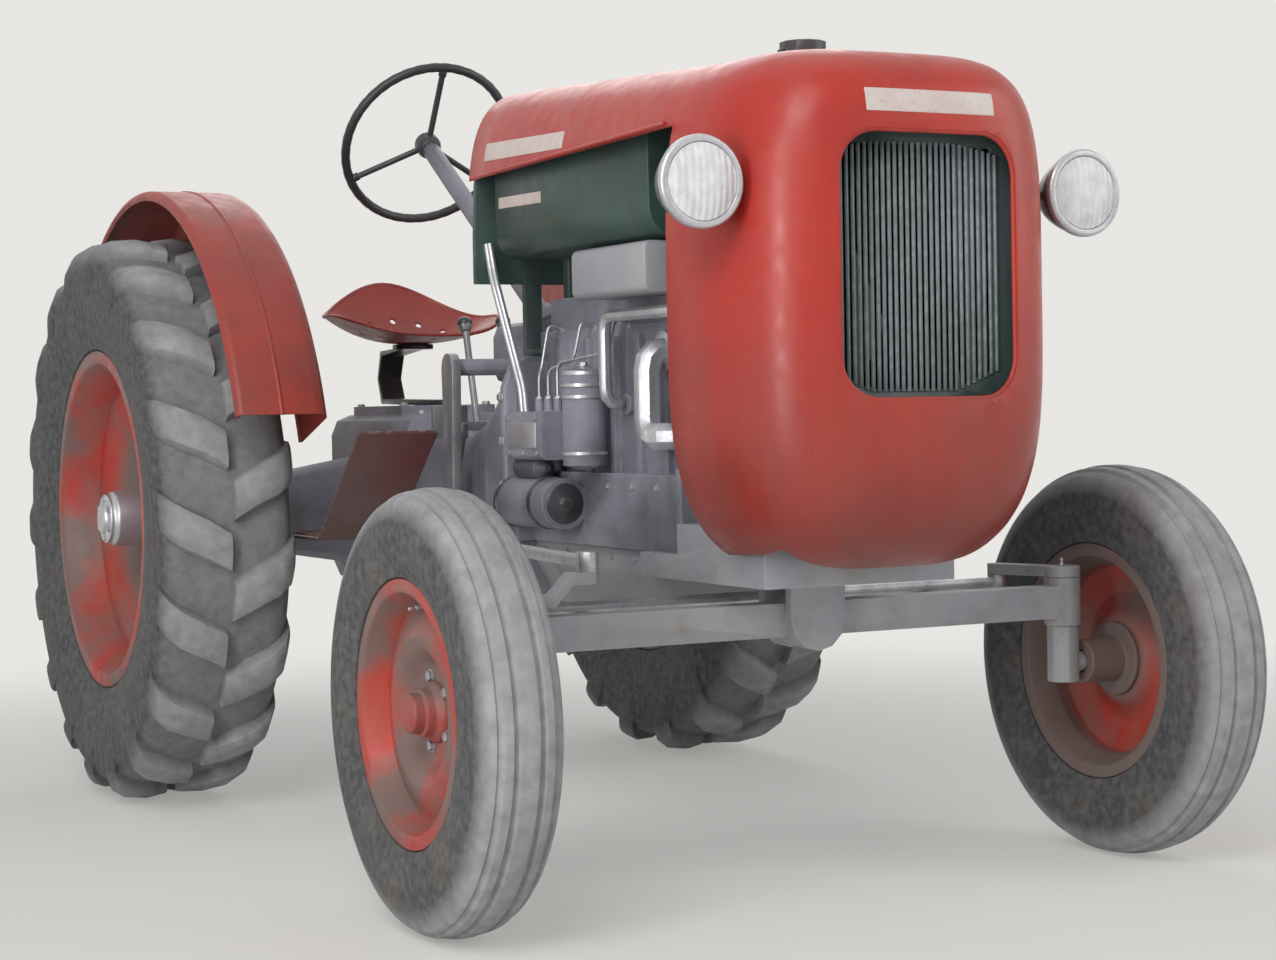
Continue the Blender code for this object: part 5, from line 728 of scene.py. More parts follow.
# Half of each tyre's section: distance from the middle, distance from the axle
REAR_OUTSIDE = (
    (0.0, 0.6016), (0.05, 0.6008), (0.1, 0.5955), (0.128, 0.583), (0.1412, 0.557),
    (0.1442, 0.52), (0.1432, 0.475), (0.134, 0.428), (0.1235, 0.395), (0.1225, 0.3835),
)
REAR_INSIDE = (
    (0.116, 0.3815), (0.1148, 0.378), (0.1148, 0.3578), (0.093, 0.3572), (0.1, 0.39),
    (0.118, 0.46), (0.118, 0.52), (0.1, 0.556), (0.05, 0.5745), (0.0, 0.576),
)
FRONT_OUTSIDE = (
    (0.0, 0.369), (0.01, 0.3689), (0.0145, 0.368), (0.0165, 0.3625), (0.0192, 0.3605), (0.0235, 0.3603),
    (0.0262, 0.3625), (0.028, 0.3655), (0.034, 0.3648), (0.041, 0.363), (0.0432, 0.36), (0.0447, 0.356),
    (0.0472, 0.3543), (0.0502, 0.3543), (0.0522, 0.3558), (0.057, 0.3528), (0.063, 0.346), (0.0685, 0.333),
    (0.0712, 0.3245), (0.0722, 0.3218), (0.0727, 0.3195), (0.0742, 0.295), (0.0735, 0.27), (0.069, 0.247),
    (0.064, 0.231), (0.0635, 0.2245),
)
FRONT_INSIDE = (
    (0.0575, 0.2235), (0.0557, 0.2212), (0.0557, 0.2058), (0.043, 0.2054), (0.05, 0.235),
    (0.06, 0.27), (0.06, 0.31), (0.045, 0.335), (0.0, 0.345),
)
# The lug from the middle of the tread round its shoulder: across, out from the axle, half width as an angle
LUG_STATIONS = (
    (0.005, 0.6345, 0.058), (0.045, 0.6345, 0.061), (0.09, 0.6315, 0.064), (0.122, 0.621, 0.067),
    (0.1405, 0.602, 0.067), (0.1478, 0.572, 0.064), (0.1488, 0.535, 0.055), (0.1462, 0.505, 0.042),
)
# Where the lug's foot sinks into the tread: across, out from the axle
LUG_FOOT = (
    (0.005, 0.598), (0.045, 0.598), (0.09, 0.592), (0.12, 0.58),
    (0.1335, 0.562), (0.138, 0.545), (0.1395, 0.525), (0.1402, 0.497),
)
LUGS = 18
LUG_SWEEP = 0.21
LUG_PHASE = -math.pi / 2
RIM_SKIN = 0.005


def between(table, share):
    """The row of a table at a share of the way along it."""
    place = min(max(share, 0), 1) * (len(table) - 1)
    first = min(int(place), len(table) - 2)
    rest = place - first
    return [a + (b - a) * rest for a, b in zip(table[first], table[first + 1])]


def lug(hub, side, turn):
    """One rubber lug, drawn out of a block so that it follows the tread round the shoulder."""
    pick()
    bpy.ops.mesh.primitive_cube_add(size=2, location=(0, 0, 0))
    piece = bpy.context.object
    edit(piece)
    bpy.ops.mesh.subdivide(number_cuts=5)
    leave()
    for vertex in piece.data.vertices:
        along, wide, high = vertex.co
        share = (along + 1) / 2
        rise = (high + 1) / 2 * (1 - 0.16 * abs(wide) ** 6) * (1 - 0.2 * max(-along, 0) ** 8)
        top_x, top_out, half_angle = between(LUG_STATIONS, share)
        foot_x, foot_out = between(LUG_FOOT, share)
        x = foot_x + (top_x - foot_x) * rise
        out = foot_out + (top_out - foot_out) * rise
        angle = turn + LUG_SWEEP * share**0.85 + wide * half_angle * (1.3 - 0.36 * rise)
        vertex.co = hub + Vector((side * x, -out * math.cos(angle), out * math.sin(angle)))
    edit(piece)
    bpy.ops.mesh.normals_make_consistent(inside=False)
    leave()
    return piece


def ring_of(piece, hub, count):
    """The piece and its copies, evenly round the axle line."""
    made = [piece]
    for i in range(1, count):
        turn = Matrix.Rotation(TURN * i / count, 4, "X")
        made.append(copied(piece, Matrix.Translation(hub) @ turn @ Matrix.Translation(-hub)))
    return made


def rim_outline(half, seat, flange, well_depth, seat_width, disc, wall):
    """The rolled rim and its dished disc, as (along, out) pairs."""
    skin = RIM_SKIN
    outer_half = half + SEAM + skin
    well = seat - well_depth
    slope = seat_width + well_depth
    side = [(-outer_half, flange), (-half - SEAM, flange), (-half - SEAM, seat), (slope - half, well)]
    outline = [*side, *[(-along, out) for along, out in reversed(side)]]
    outline += [(outer_half, seat - skin), (half - slope, well - skin)]
    outline += [(along + wall, out) for along, out in disc]
    outline += [(along, out) for along, out in reversed(disc)]
    outline += [(slope - half, well - skin), (-outer_half, seat - skin)]
    return outline


class TRACTOR_OT_rear_tyres(bpy.types.Operator):
    """Smooth rear tyres with eighteen lugs on each side of the tread"""

    bl_idname = "tractor.rear_tyres"
    bl_label = "Rear tyres"

    def execute(self, context):
        for word, side in SIDES.items():
            hub = at(side * REAR_TRACK / 2, 0, REAR_RADIUS)
            outline = mirrored_outline([*flowing(REAR_OUTSIDE, 3), *REAR_INSIDE])
            shell = turned(outline, hub, X_AXIS, 120)
            step = TURN / LUGS
            rows = ring_of(lug(hub, RIGHT, LUG_PHASE + step / 4), hub, LUGS)
            rows += ring_of(lug(hub, LEFT, LUG_PHASE + step * 3 / 4), hub, LUGS)
            fitted(
                f"rear_tyre_{word}_rubber", [shell, *rows], 40,
                f"rear_wheel_{word}", f"rubber_rear_{word}", [f"rear_tyre_{word}"],
            )
        return {"FINISHED"}


class TRACTOR_OT_front_tyres(bpy.types.Operator):
    """Ribbed front tyres"""

    bl_idname = "tractor.front_tyres"
    bl_label = "Front tyres"

    def execute(self, context):
        for word, side in SIDES.items():
            hub = at(side * FRONT_TRACK / 2, WHEELBASE, FRONT_RADIUS)
            tyre = turned(mirrored_outline([*FRONT_OUTSIDE, *FRONT_INSIDE]), hub, X_AXIS, 112)
            fitted(
                f"front_tyre_{word}_rubber", [tyre], 38,
                f"front_wheel_{word}", f"rubber_front_{word}", [f"front_tyre_{word}"],
            )
        return {"FINISHED"}


class TRACTOR_OT_wheels(bpy.types.Operator):
    """Rolled rims, dished discs, hubs, wheel nuts and valves"""

    bl_idname = "tractor.wheels"
    bl_label = "Wheels and hubs"

    def execute(self, context):
        stud = context.scene.tractor_sizes.stud
        for word, side in SIDES.items():
            out = Vector((side, 0, 0))
            self.rear(word, out, at(side * REAR_TRACK / 2, 0, REAR_RADIUS), stud)
            self.front(word, out, at(side * FRONT_TRACK / 2, WHEELBASE, FRONT_RADIUS), stud)
        return {"FINISHED"}

    def nuts(self, name, hub, out, along, radius, count, size, body):
        """A ring of nuts or bolts on a wheel."""
        side, up = across(out)
        seats = []
        for i in range(count):
            angle = TURN * (i + 0.5) / count
            arm = (side * math.cos(angle) + up * math.sin(angle)) * radius
            seats.append((hub + out * along + arm, out))
        bolts(name, seats, size, body)

    def rear(self, word, out, hub, stud):
        body = f"rear_wheel_{word}"
        disc = [(0.03, 0.3116), (0.027, 0.285), (0.002, 0.225), (-0.026, 0.178), (-0.035, 0.15)]
        disc = flowing(disc, 4)
        disc += [(-0.035, 0.11), (-0.035, 0.0675)]
        outline = rim_outline(0.115, 0.3563, 0.379, 0.04, 0.035, disc, 0.008)
        rim = turned(softened(outline, 0.006), hub, out, 96)
        flange = [
            (-0.168, 0.0), (-0.168, 0.068), (-0.028, 0.068), (-0.028, 0.105), (-0.012, 0.105),
            (-0.012, 0.068), (0.02, 0.066), (0.03, 0.0),
        ]
        hub_flange = turned(softened(flange, 0.005), hub, out, 64)
        fitted(
            f"rear_rim_{word}_body", [rim, hub_flange], 40,
            body, "wheel_red", [f"rear_rim_{word}"],
        )
        barrel = [
            (0.018, 0.0), (0.018, 0.064), (0.09, 0.062), (0.098, 0.055), (0.108, 0.055),
            (0.108, 0.034), (0.1175, 0.031), (0.1175, 0.0),
        ]
        barrel = turned(softened(barrel, 0.004), hub, out, 64)
        fitted(f"rear_hub_{word}_barrel", [barrel], 40, body, "bright_metal")
        self.nuts(f"rear_wheel_{word}_nuts", hub, out, -0.012, 0.086, 8, stud, body)
        self.nuts(f"rear_hub_{word}_bolts", hub, out, 0.108, 0.0445, 6, stud * 0.5, body)
        self.valve(f"rear_valve_{word}", hub, out, 0.036, 0.306, body)

    def front(self, word, out, hub, stud):
        body = f"front_wheel_{word}"
        disc = flowing([(0.012, 0.1797), (0.0135, 0.172), (0.024, 0.148), (0.03, 0.125)], 3)
        disc += flowing([(0.03, 0.125), (0.023, 0.104), (0.005, 0.084), (0.0, 0.075)], 3)[1:]
        disc += [(0.0, 0.0415)]
        outline = rim_outline(0.056, 0.2044, 0.222, 0.02, 0.018, disc, 0.005)
        rim = turned(softened(outline, 0.004), hub, out, 88)
        smooth(rim, 40)
        barrel = [
            (-0.088, 0.021), (-0.088, 0.042), (-0.01, 0.042),
            (-0.01, 0.07), (-0.0002, 0.07), (-0.0002, 0.021),
        ]
        barrel = turned(softened(barrel, 0.004), hub, out, 48)
        fitted(
            f"front_rim_{word}_body", [rim, barrel], 40,
            body, "wheel_red", [f"front_rim_{word}"],
        )
        cap = [
            (0.004, 0.0), (0.004, 0.052), (0.012, 0.05), (0.02, 0.041), (0.035, 0.039),
            (0.036, 0.034), (0.054, 0.033), (0.061, 0.022), (0.062, 0.0),
        ]
        cap = turned(softened(cap, 0.003), hub, out, 56)
        fitted(f"front_hub_{word}_cap", [cap], 45, body, "wheel_red")
        self.nuts(f"front_wheel_{word}_nuts", hub, out, 0.0052, 0.0605, 5, stud * 0.75, body)
        self.valve(f"front_valve_{word}", hub, out, 0.03, 0.177, body)

    def valve(self, name, hub, out, along, radius, body):
        """A valve's stem and its cap, leaning a little towards the axle."""
        _, up = across(out)
        foot = hub + out * (along - 0.022) + up * radius
        neck = foot + out * 0.03 - up * 0.004
        stem = bar(foot, neck, 0.0042, 12, 0.001)
        tip = bar(neck, foot + out * 0.042 - up * 0.0055, 0.0032, 12, 0.0008)
        placed(joined(name, [stem, tip]), body, "zinc")


# The bonnet and nose, from the same sections as the CAD shell. Places are given ahead of the rear axle.
BONNET_BACK, BONNET_BACK_HALF = 0.87, 0.262
NOSE_AHEAD, NOSE_SIDE_BACK = 2.156, 1.845
NOSE_HALF, NOSE_LOW, CROWN_FRONT, CROWN_REAR = 0.32, 0.577, 1.45, 1.52
# Shares of the nose's depth, half width, drop of the crown and rise of the chin
NOSE_SHARES = (
    (0.0, 0.4, 0.15, 0.26), (0.025, 0.56, 0.095, 0.16), (0.11, 0.735, 0.05, 0.09),
    (0.27, 0.865, 0.02, 0.04), (0.54, 0.965, 0.004, 0.005), (1.0, 1.0, 0.0, 0.0),
)
CROWN_POWER, CHIN_POWER = 4.6, 3.4
SECTION_POINTS = 96
SHEET = 0.004
SKIRT_Z = 1.33
MOUTH_HALF, MOUTH_TOP, MOUTH_BACK, MOUTH_FRONT = 0.21, 0.625, 1.8, 2.02
OPENING = {"half": 0.17, "low": 0.866, "high": 1.3, "corner": 0.07}
# The grille's opening in its frame, the bead round it and the filler hole
GRILLE_BACK = 2.1035
BEAD_RADIUS, ROLL_RADIUS = 0.0044, 0.0042
BEAD_WINDOW = {"half": 0.1688, "low": 0.8672, "high": 1.2988, "corner": 0.0688}
FILLER_AHEAD, FILLER_RADIUS = 1.765, 0.034


def soft_section(ahead, half, low, high):
    """A soft rectangle round the bonnet, squarer at the crown than at the chin."""
    middle, rise = (low + high) / 2, (high - low) / 2
    points = []
    for i in range(SECTION_POINTS):
        angle = TURN * (i + 0.5) / SECTION_POINTS
        cosine, sine = math.cos(angle), math.sin(angle)
        power = 2 / (CROWN_POWER if sine > 0 else CHIN_POWER)
        x = half * math.copysign(abs(cosine) ** power, cosine)
        points.append(at(x, ahead, middle + rise * math.copysign(abs(sine) ** power, sine)))
    return points


def bridged(sections):
    """Circle primitives moved onto the sections and bridged into one skin."""
    rings = [outlined(points) for points in sections]
    skin = joined("skin", rings)
    edit(skin)
    bpy.ops.mesh.bridge_edge_loops()
    leave()
    return skin


def rounded_window(half, low, high, corner, steps=8):
    """The grille opening's outline as (across, height) pairs."""
    points = []
    for x, z, start in (
        (half - corner, high - corner, 0.0), (corner - half, high - corner, 0.25),
        (corner - half, low + corner, 0.5), (half - corner, low + corner, 0.75),
    ):
        for i in range(steps + 1):
            angle = TURN * (start + 0.25 * i / steps)
            points.append((x + corner * math.cos(angle), z + corner * math.sin(angle)))
    return points


def cut(piece, tool):
    """Cuts the tool out of the piece and removes it."""
    modify(piece, "BOOLEAN", operation="DIFFERENCE", object=tool, solver="EXACT")
    bpy.data.objects.remove(tool)


def plain_block(low, high):
    """A sharp block between two corners, to cut with."""
    pick()
    low, high = Vector(low), Vector(high)
    bpy.ops.mesh.primitive_cube_add(size=1, location=(low + high) / 2)
    piece = bpy.context.object
    piece.scale = [abs(value) for value in high - low]
    settle(piece)
    return piece


def bonnet_at(ahead):
    """Half width and crown height of the bonnet behind the nose."""
    run = (ahead - NOSE_SIDE_BACK) / (BONNET_BACK - NOSE_SIDE_BACK)
    half = NOSE_HALF + (BONNET_BACK_HALF - NOSE_HALF) * run
    return half, CROWN_FRONT + (CROWN_REAR - CROWN_FRONT) * run


def bonnet_sections(inset, back):
    """Outlines from the tip of the nose to the back of the bonnet, set in by the inset."""
    rows = flowing([(depth, width, drop) for depth, width, drop, _ in NOSE_SHARES], 3)
    rises = flowing([(depth, rise, 0) for depth, _, _, rise in NOSE_SHARES], 3)
    height = CROWN_FRONT - NOSE_LOW
    sections = []
    for (depth, width, drop), (_, rise, _) in zip(rows, rises):
        depth, width = min(max(depth, 0), 1), min(width, 1)
        sections.append(
            soft_section(
                NOSE_AHEAD - inset - depth * (NOSE_AHEAD - NOSE_SIDE_BACK - inset),
                NOSE_HALF * width - inset,
                NOSE_LOW + max(rise, 0) * height + inset,
                CROWN_FRONT - max(drop, 0) * height - inset,
            )
        )
    for i in range(1, 9):
        ahead = NOSE_SIDE_BACK + (back - NOSE_SIDE_BACK) * i / 8
        half, crown = bonnet_at(ahead)
        sections.append(soft_section(ahead, half - inset, NOSE_LOW + inset, crown - inset))
    return sections


def closed_ends(skin):
    """Fills the open ends of a bridged skin."""
    edit(skin)
    bpy.ops.mesh.select_all(action="DESELECT")
    bpy.ops.mesh.select_mode(type="EDGE")
    bpy.ops.mesh.select_non_manifold(extend=False)
    bpy.ops.mesh.edge_face_add()
    leave()
    outward(skin)
    return skin


class TRACTOR_OT_bonnet(bpy.types.Operator):
    """The pressed bonnet and nose in one smooth shell, with rolled edges"""

    bl_idname = "tractor.bonnet"
    bl_label = "Bonnet and nose"

    def execute(self, context):
        shell = closed_ends(bridged(bonnet_sections(0.0, BONNET_BACK)))
        inner = closed_ends(bridged(bonnet_sections(SHEET, BONNET_BACK - 0.02)))
        cut(shell, inner)
        cut(shell, plain_block(at(-0.4, NOSE_SIDE_BACK, 0.5), at(0.4, 0.8, SKIRT_Z)))
        mouth = plain_block(at(-MOUTH_HALF, MOUTH_FRONT, 0.5), at(MOUTH_HALF, MOUTH_BACK, MOUTH_TOP))
        cut(shell, mouth)
        window = [at(x, GRILLE_BACK, z) for x, z in rounded_window(**OPENING)]
        cut(shell, extruded(window, Vector((0, -0.2, 0))))
        cut(shell, bar(at(0, FILLER_AHEAD, 1.3), at(0, FILLER_AHEAD, 1.6), FILLER_RADIUS, 32))
        edit(shell)
        bpy.ops.mesh.remove_doubles(threshold=MERGE_DISTANCE)
        bpy.ops.mesh.dissolve_limited(angle_limit=math.radians(0.05))
        leave()
        rounded_edges(shell, context.scene.tractor_sizes.sheet_round, 2, 50)
        fitted("bonnet_shell", [shell], 40, "chassis", "red_enamel", ["bonnet"])
        self.trim()
        return {"FINISHED"}

    def trim(self):
        """A rolled bead round the grille opening and one along each skirt."""
        window = [at(x, self.front_at(x, z) - BEAD_RADIUS, z) for x, z in rounded_window(**BEAD_WINDOW)]
        bead = tube(window, BEAD_RADIUS, 12, closed=True)
        placed(joined("grille_bead", [bead]), "chassis", "red_enamel")
        rails = []
        for side in SIDES.values():
            places = []
            for i in range(9):
                ahead = 0.88 + (1.835 - 0.88) * i / 8
                half, _ = bonnet_at(ahead)
                places.append(at(side * (half - 0.0072), ahead, SKIRT_Z + 0.0045))
            rails.append(tube(places, ROLL_RADIUS, 12))
        placed(joined("bonnet_skirt_rolls", rails), "chassis", "red_enamel")

    def front_at(self, x, z):
        """How far ahead the nose's skin lies behind the opening's rim."""
        height = CROWN_FRONT - NOSE_LOW
        for row, following in zip(NOSE_SHARES, NOSE_SHARES[1:]):
            for i in range(12):
                depth, width, drop, rise = between((row, following), i / 12)
                low, high = NOSE_LOW + rise * height, CROWN_FRONT - drop * height
                middle, half_height = (low + high) / 2, (high - low) / 2
                power = CROWN_POWER if z > middle else CHIN_POWER
                reach = abs(x / (NOSE_HALF * width)) ** power
                if reach + abs((z - middle) / half_height) ** power <= 1:
                    return NOSE_AHEAD - depth * (NOSE_AHEAD - NOSE_SIDE_BACK)
        return NOSE_SIDE_BACK


# CAD nodes shown by a copy with rounded edges: node, width of the rounding, finish, slot
ROUNDED_NODES = (
    ("engine_block", 0.004, "casting_grey", "cast_grey"),
    ("cylinder_head", 0.003, "casting_grey", "cast_grey"),
    ("sump_casting", 0.004, "casting_pale", "cast_grey"),
    ("gearbox", 0.005, "casting_grey", "cast_grey"),
    ("rear_axle_housing", 0.005, "casting_grey", "cast_grey"),
    ("front_axle", 0.003, "casting_pale", "cast_grey"),
    ("radius_rods", 0.002, "dull_steel", "steel"),
    ("steering_column", 0.002, "casting_grey", "cast_grey"),
    ("fuel_tank", 0.003, "tank_green", "green_black"),
    ("bulkhead", 0.002, "tank_green", "green_black"),
    ("radiator", 0.002, "black_enamel", "black"),
    ("air_cleaner", 0.004, "casting_pale", "silver"),
    ("water_elbow", 0.002, "bright_metal", "silver"),
    ("breather_pipe", 0.001, "bright_metal", "silver"),
    ("fan", 0.0015, "black_enamel", "black"),
    ("seat_spring", 0.0015, "black_enamel", "black"),
    ("drawbar", 0.003, "dull_steel", "steel"),
    ("gear_levers", 0.001, "dull_steel", "steel"),
    ("footplate_right", 0.0012, "shaded_board_red", "dark_paint"),
    ("footplate_left", 0.0012, "shaded_board_red", "dark_paint"),
    ("pedal_right", 0.0015, "dull_steel", "steel"),
    ("pedal_left", 0.0015, "dull_steel", "steel"),
    ("drop_arm", 0.002, "dull_steel", "steel"),
    ("drag_link", 0.0015, "zinc", "steel"),
    ("tie_rod", 0.0015, "zinc", "steel"),
    ("knuckle_right", 0.002, "casting_pale", "cast_grey"),
    ("knuckle_left", 0.002, "casting_pale", "cast_grey"),
)


class TRACTOR_OT_castings(bpy.types.Operator):
    """Rounded edges on the castings, rods and plates, which otherwise keep their CAD shape"""

    bl_idname = "tractor.castings"
    bl_label = "Castings, rods and plates"

    def execute(self, context):
        bodies = frame["record"]["behaviour"]["bodies"]
        own_body = {member: body for body, nodes in bodies.items() for member in nodes}
        for name, width, material, slot in ROUNDED_NODES:
            refined(name, width, own_body[name], material)
        return {"FINISHED"}


# The rear fender: inner edge across, radius of its top, ends of its arc, sheet and height of its seat
FENDER_INNER, FENDER_RADIUS = 0.5022, 0.735
FENDER_FROM, FENDER_TO = math.radians(18), math.radians(148)
FENDER_SKIN, FENDER_SEAT = 0.0035, 0.7606
LAMP_X, LAMP_FRONT, LAMP_Z, LAMP_STALK_AHEAD = 0.372, 2.075, 1.215, 1.99
WHEEL_CENTRE = at(0, 0.02, 1.505)
WHEEL_WAY = (WHEEL_CENTRE - at(0, 0.735, 1.015)).normalized()
GRIP_RADIUS, SPOKE_REACH = 0.2032, 0.2
SEAT_MIDDLE = at(0, -0.1, 1.03)
SEAT_HALF_WIDTH, SEAT_HALF_DEPTH = 0.22, 0.2
FORWARD = Vector((0, -1, 0))


def lathed(outline, rounding, centre, axis, steps):
    """Turns an outline of (along, out) pairs round the axis, with its corners rounded."""
    return turned(softened(outline, rounding), centre, axis, steps)


def arch(points, side):
    """Spins a fender's outline of (across, out) pairs over the tyre from its front end to its back end."""
    hub = at(0, 0, REAR_RADIUS)
    first = Vector((0, -math.cos(FENDER_FROM), math.sin(FENDER_FROM)))
    piece = outlined([hub + X_AXIS * side * x + first * out for x, out in points])
    edit(piece)
    bpy.ops.mesh.spin(steps=48, angle=FENDER_TO - FENDER_FROM, center=hub, axis=(1, 0, 0))
    bpy.ops.mesh.select_all(action="SELECT")
    bpy.ops.mesh.fill_holes(sides=0)
    leave()
    outward(piece)
    return piece


def quarter(x, out, radius, start, end, steps=6):
    """An arc of (across, out) pairs, with its angles in quarter turns."""
    angles = [math.pi / 2 * (start + (end - start) * i / steps) for i in range(steps + 1)]
    return [(x + radius * math.cos(angle), out + radius * math.sin(angle)) for angle in angles]


def showing(sheet, way):
    """Turns every face of an open sheet to the side that the way points to."""
    edit(sheet)
    bpy.ops.mesh.normals_make_consistent(inside=False)
    leave()
    if sum(face.normal.dot(way) for face in sheet.data.polygons) < 0:
        edit(sheet)
        bpy.ops.mesh.flip_normals()
        leave()


class TRACTOR_OT_fenders(bpy.types.Operator):
    """Pressed rear fenders with rounded shoulders, rolled edges, legs and fixing bolts"""

    bl_idname = "tractor.fenders"
    bl_label = "Fenders"

    def outline(self, skin):
        """The pressing's outer side, or its inner side where a skin is given."""
        return [
            (FENDER_INNER + skin, FENDER_RADIUS - 0.19),
            *quarter(FENDER_INNER + 0.034, FENDER_RADIUS - 0.03, 0.034 - skin, 2, 1),
            *quarter(FENDER_INNER + 0.184, FENDER_RADIUS - 0.012, 0.016 - skin, 1, 0),
        ]

    def carrier(self, side):
        """The leg under a fender and the clip on the axle housing's pad."""
        leg = [
            at(side * (FENDER_INNER - 0.001), ahead, z)
            for ahead, z in (
                (-0.07, FENDER_SEAT + 0.004), (0.07, FENDER_SEAT + 0.004), (0.09, 1.19), (-0.09, 1.19),
            )
        ]
        leg = extruded(leg, Vector((side * 0.006, 0, 0)))
        rounded_edges(leg, 0.0015)
        low, high = sorted((side * (FENDER_INNER - 0.03), side * (FENDER_INNER + 0.015)))
        foot, cap = at(low, 0.06, FENDER_SEAT + 0.0003), at(high, -0.06, FENDER_SEAT + 0.0045)
        return [leg, soft_block(foot, cap, 0.0012, 2)]

    def execute(self, context):
        inner, top = FENDER_INNER, FENDER_RADIUS
        radius = context.scene.tractor_sizes.small_bolt * 1.2
        for word, side in SIDES.items():
            guard = arch([*self.outline(0), *reversed(self.outline(FENDER_SKIN))], side)
            edges = (inner + 0.1945, top - 0.0135), (inner + 0.0048, top - 0.1875)
            beads = [arch(quarter(x, out, 0.0048, 0, 3.6, 11), side) for x, out in edges]
            rib = quarter(inner + 0.105, top + 0.0012, 0.0055, 0, 2)
            rib = arch([*rib, (inner + 0.0995, top - 0.001), (inner + 0.1105, top - 0.001)], side)
            fitted(
                f"fender_{word}_pressing", [guard, *beads, rib, *self.carrier(side)], 40,
                "chassis", "fender_red", [f"fender_{word}"],
            )
            places = (-0.05, 0.86), (0.05, 0.86), (-0.055, 1.0), (0.055, 1.0), (-0.06, 1.15), (0.06, 1.15)
            seats = [(at(side * (inner - 0.001), ahead, z), (-side, 0, 0)) for ahead, z in places]
            for ahead in (-0.035, 0.035):
                seats.append((at(side * (inner - 0.016), ahead, FENDER_SEAT + 0.0045), (0, 0, 1)))
            bolts(f"fender_{word}_bolts", seats, radius, "chassis")
        return {"FINISHED"}


class TRACTOR_OT_seat(bpy.types.Operator):
    """The pressed steel seat pan with its rolled rim and drain holes"""

    bl_idname = "tractor.seat"
    bl_label = "Seat"

    def place(self, share, angle, lift=0.0):
        """A place on the pan, at a share of its half width and half depth."""
        u, v = math.cos(angle) * share, math.sin(angle) * share
        rise = 0.16 * max(-v, 0) ** 2.5 + 0.015 * max(v, 0) ** 2 + 0.07 * abs(u) ** 2.5
        return SEAT_MIDDLE + Vector((u * SEAT_HALF_WIDTH, -v * SEAT_HALF_DEPTH, rise + lift))

    def ring(self, share, lift=0.0):
        return [self.place(share, TURN * i / 64, lift) for i in range(64)]

    def execute(self, context):
        pan = bridged([self.ring(share) for share in (0.04, *(k / 12 for k in range(1, 13)))])
        edit(pan, lambda vertex: (vertex.co - SEAT_MIDDLE).length < 0.0095, "VERT")
        bpy.ops.mesh.edge_face_add()
        leave()
        showing(pan, Z_AXIS)
        modify(pan, "SOLIDIFY", thickness=0.004, offset=1)
        for row, share, count in ((0, 0.42, 8), (1, 0.66, 14)):
            for i in range(count):
                spot = self.place(share, TURN * (i + 0.5 * row) / count)
                cut(pan, bar(spot - Z_AXIS * 0.03, spot + Z_AXIS * 0.04, 0.0075, 14))
        rim = tube(self.ring(0.985, 0.002), 0.0048, 12, closed=True)
        fitted("seat_pressing", [pan, rim], 40, "chassis", "fender_red", ["seat_pan"])
        corners = (0.022, 0.022), (-0.022, 0.022), (0.022, -0.022), (-0.022, -0.022)
        seats = [(SEAT_MIDDLE + Vector((x, y, 0.0045)), (0, 0, 1)) for x, y in corners]
        bolts("seat_bolts", seats, context.scene.tractor_sizes.small_bolt, "chassis")
        return {"FINISHED"}


class TRACTOR_OT_steering_wheel(bpy.types.Operator):
    """The steering wheel's grip with finger waves, its spokes, hub and nut"""

    bl_idname = "tractor.steering_wheel"
    bl_label = "Steering wheel"

    def execute(self, context):
        up = X_AXIS.cross(WHEEL_WAY)
        grip = turned(quarter(0, GRIP_RADIUS, 0.011, 0, 3.75, 15), WHEEL_CENTRE, WHEEL_WAY, 120)
        for vertex in grip.data.vertices:
            arm = vertex.co - WHEEL_CENTRE
            angle = math.atan2(arm.dot(up), arm.dot(X_AXIS))
            flat = (arm - WHEEL_WAY * arm.dot(WHEEL_WAY)).normalized() * GRIP_RADIUS
            vertex.co = WHEEL_CENTRE + flat + (arm - flat) * (1 - 0.07 * max(math.sin(angle * 40), 0))
        pieces = [grip]
        for i in range(3):
            angle = math.pi / 2 + TURN * i / 3
            way = up * math.sin(angle) + X_AXIS * math.cos(angle)
            reach = WHEEL_CENTRE + way * SPOKE_REACH
            spoke = bar(WHEEL_CENTRE - WHEEL_WAY * 0.006, reach, 0.0072, 16)
            cuff = bar(WHEEL_CENTRE + way * 0.18, reach, 0.0098, 16, 0.003)
            pieces += [spoke, cuff]
        hub = (-0.03, 0.0), (-0.03, 0.024), (-0.016, 0.03), (0.006, 0.03), (0.0145, 0.025), (0.0145, 0.0)
        pieces.append(lathed(hub, 0.004, WHEEL_CENTRE, WHEEL_WAY, 40))
        fitted(
            "steering_wheel_grip", pieces, 45, "steering_wheel", "black_enamel", ["steering_wheel"]
        )
        nut = bolt_head(WHEEL_CENTRE + WHEEL_WAY * 0.0145, WHEEL_WAY, 0.012, 0.004)
        placed(joined("steering_wheel_nut", [nut]), "steering_wheel", "zinc")
        return {"FINISHED"}


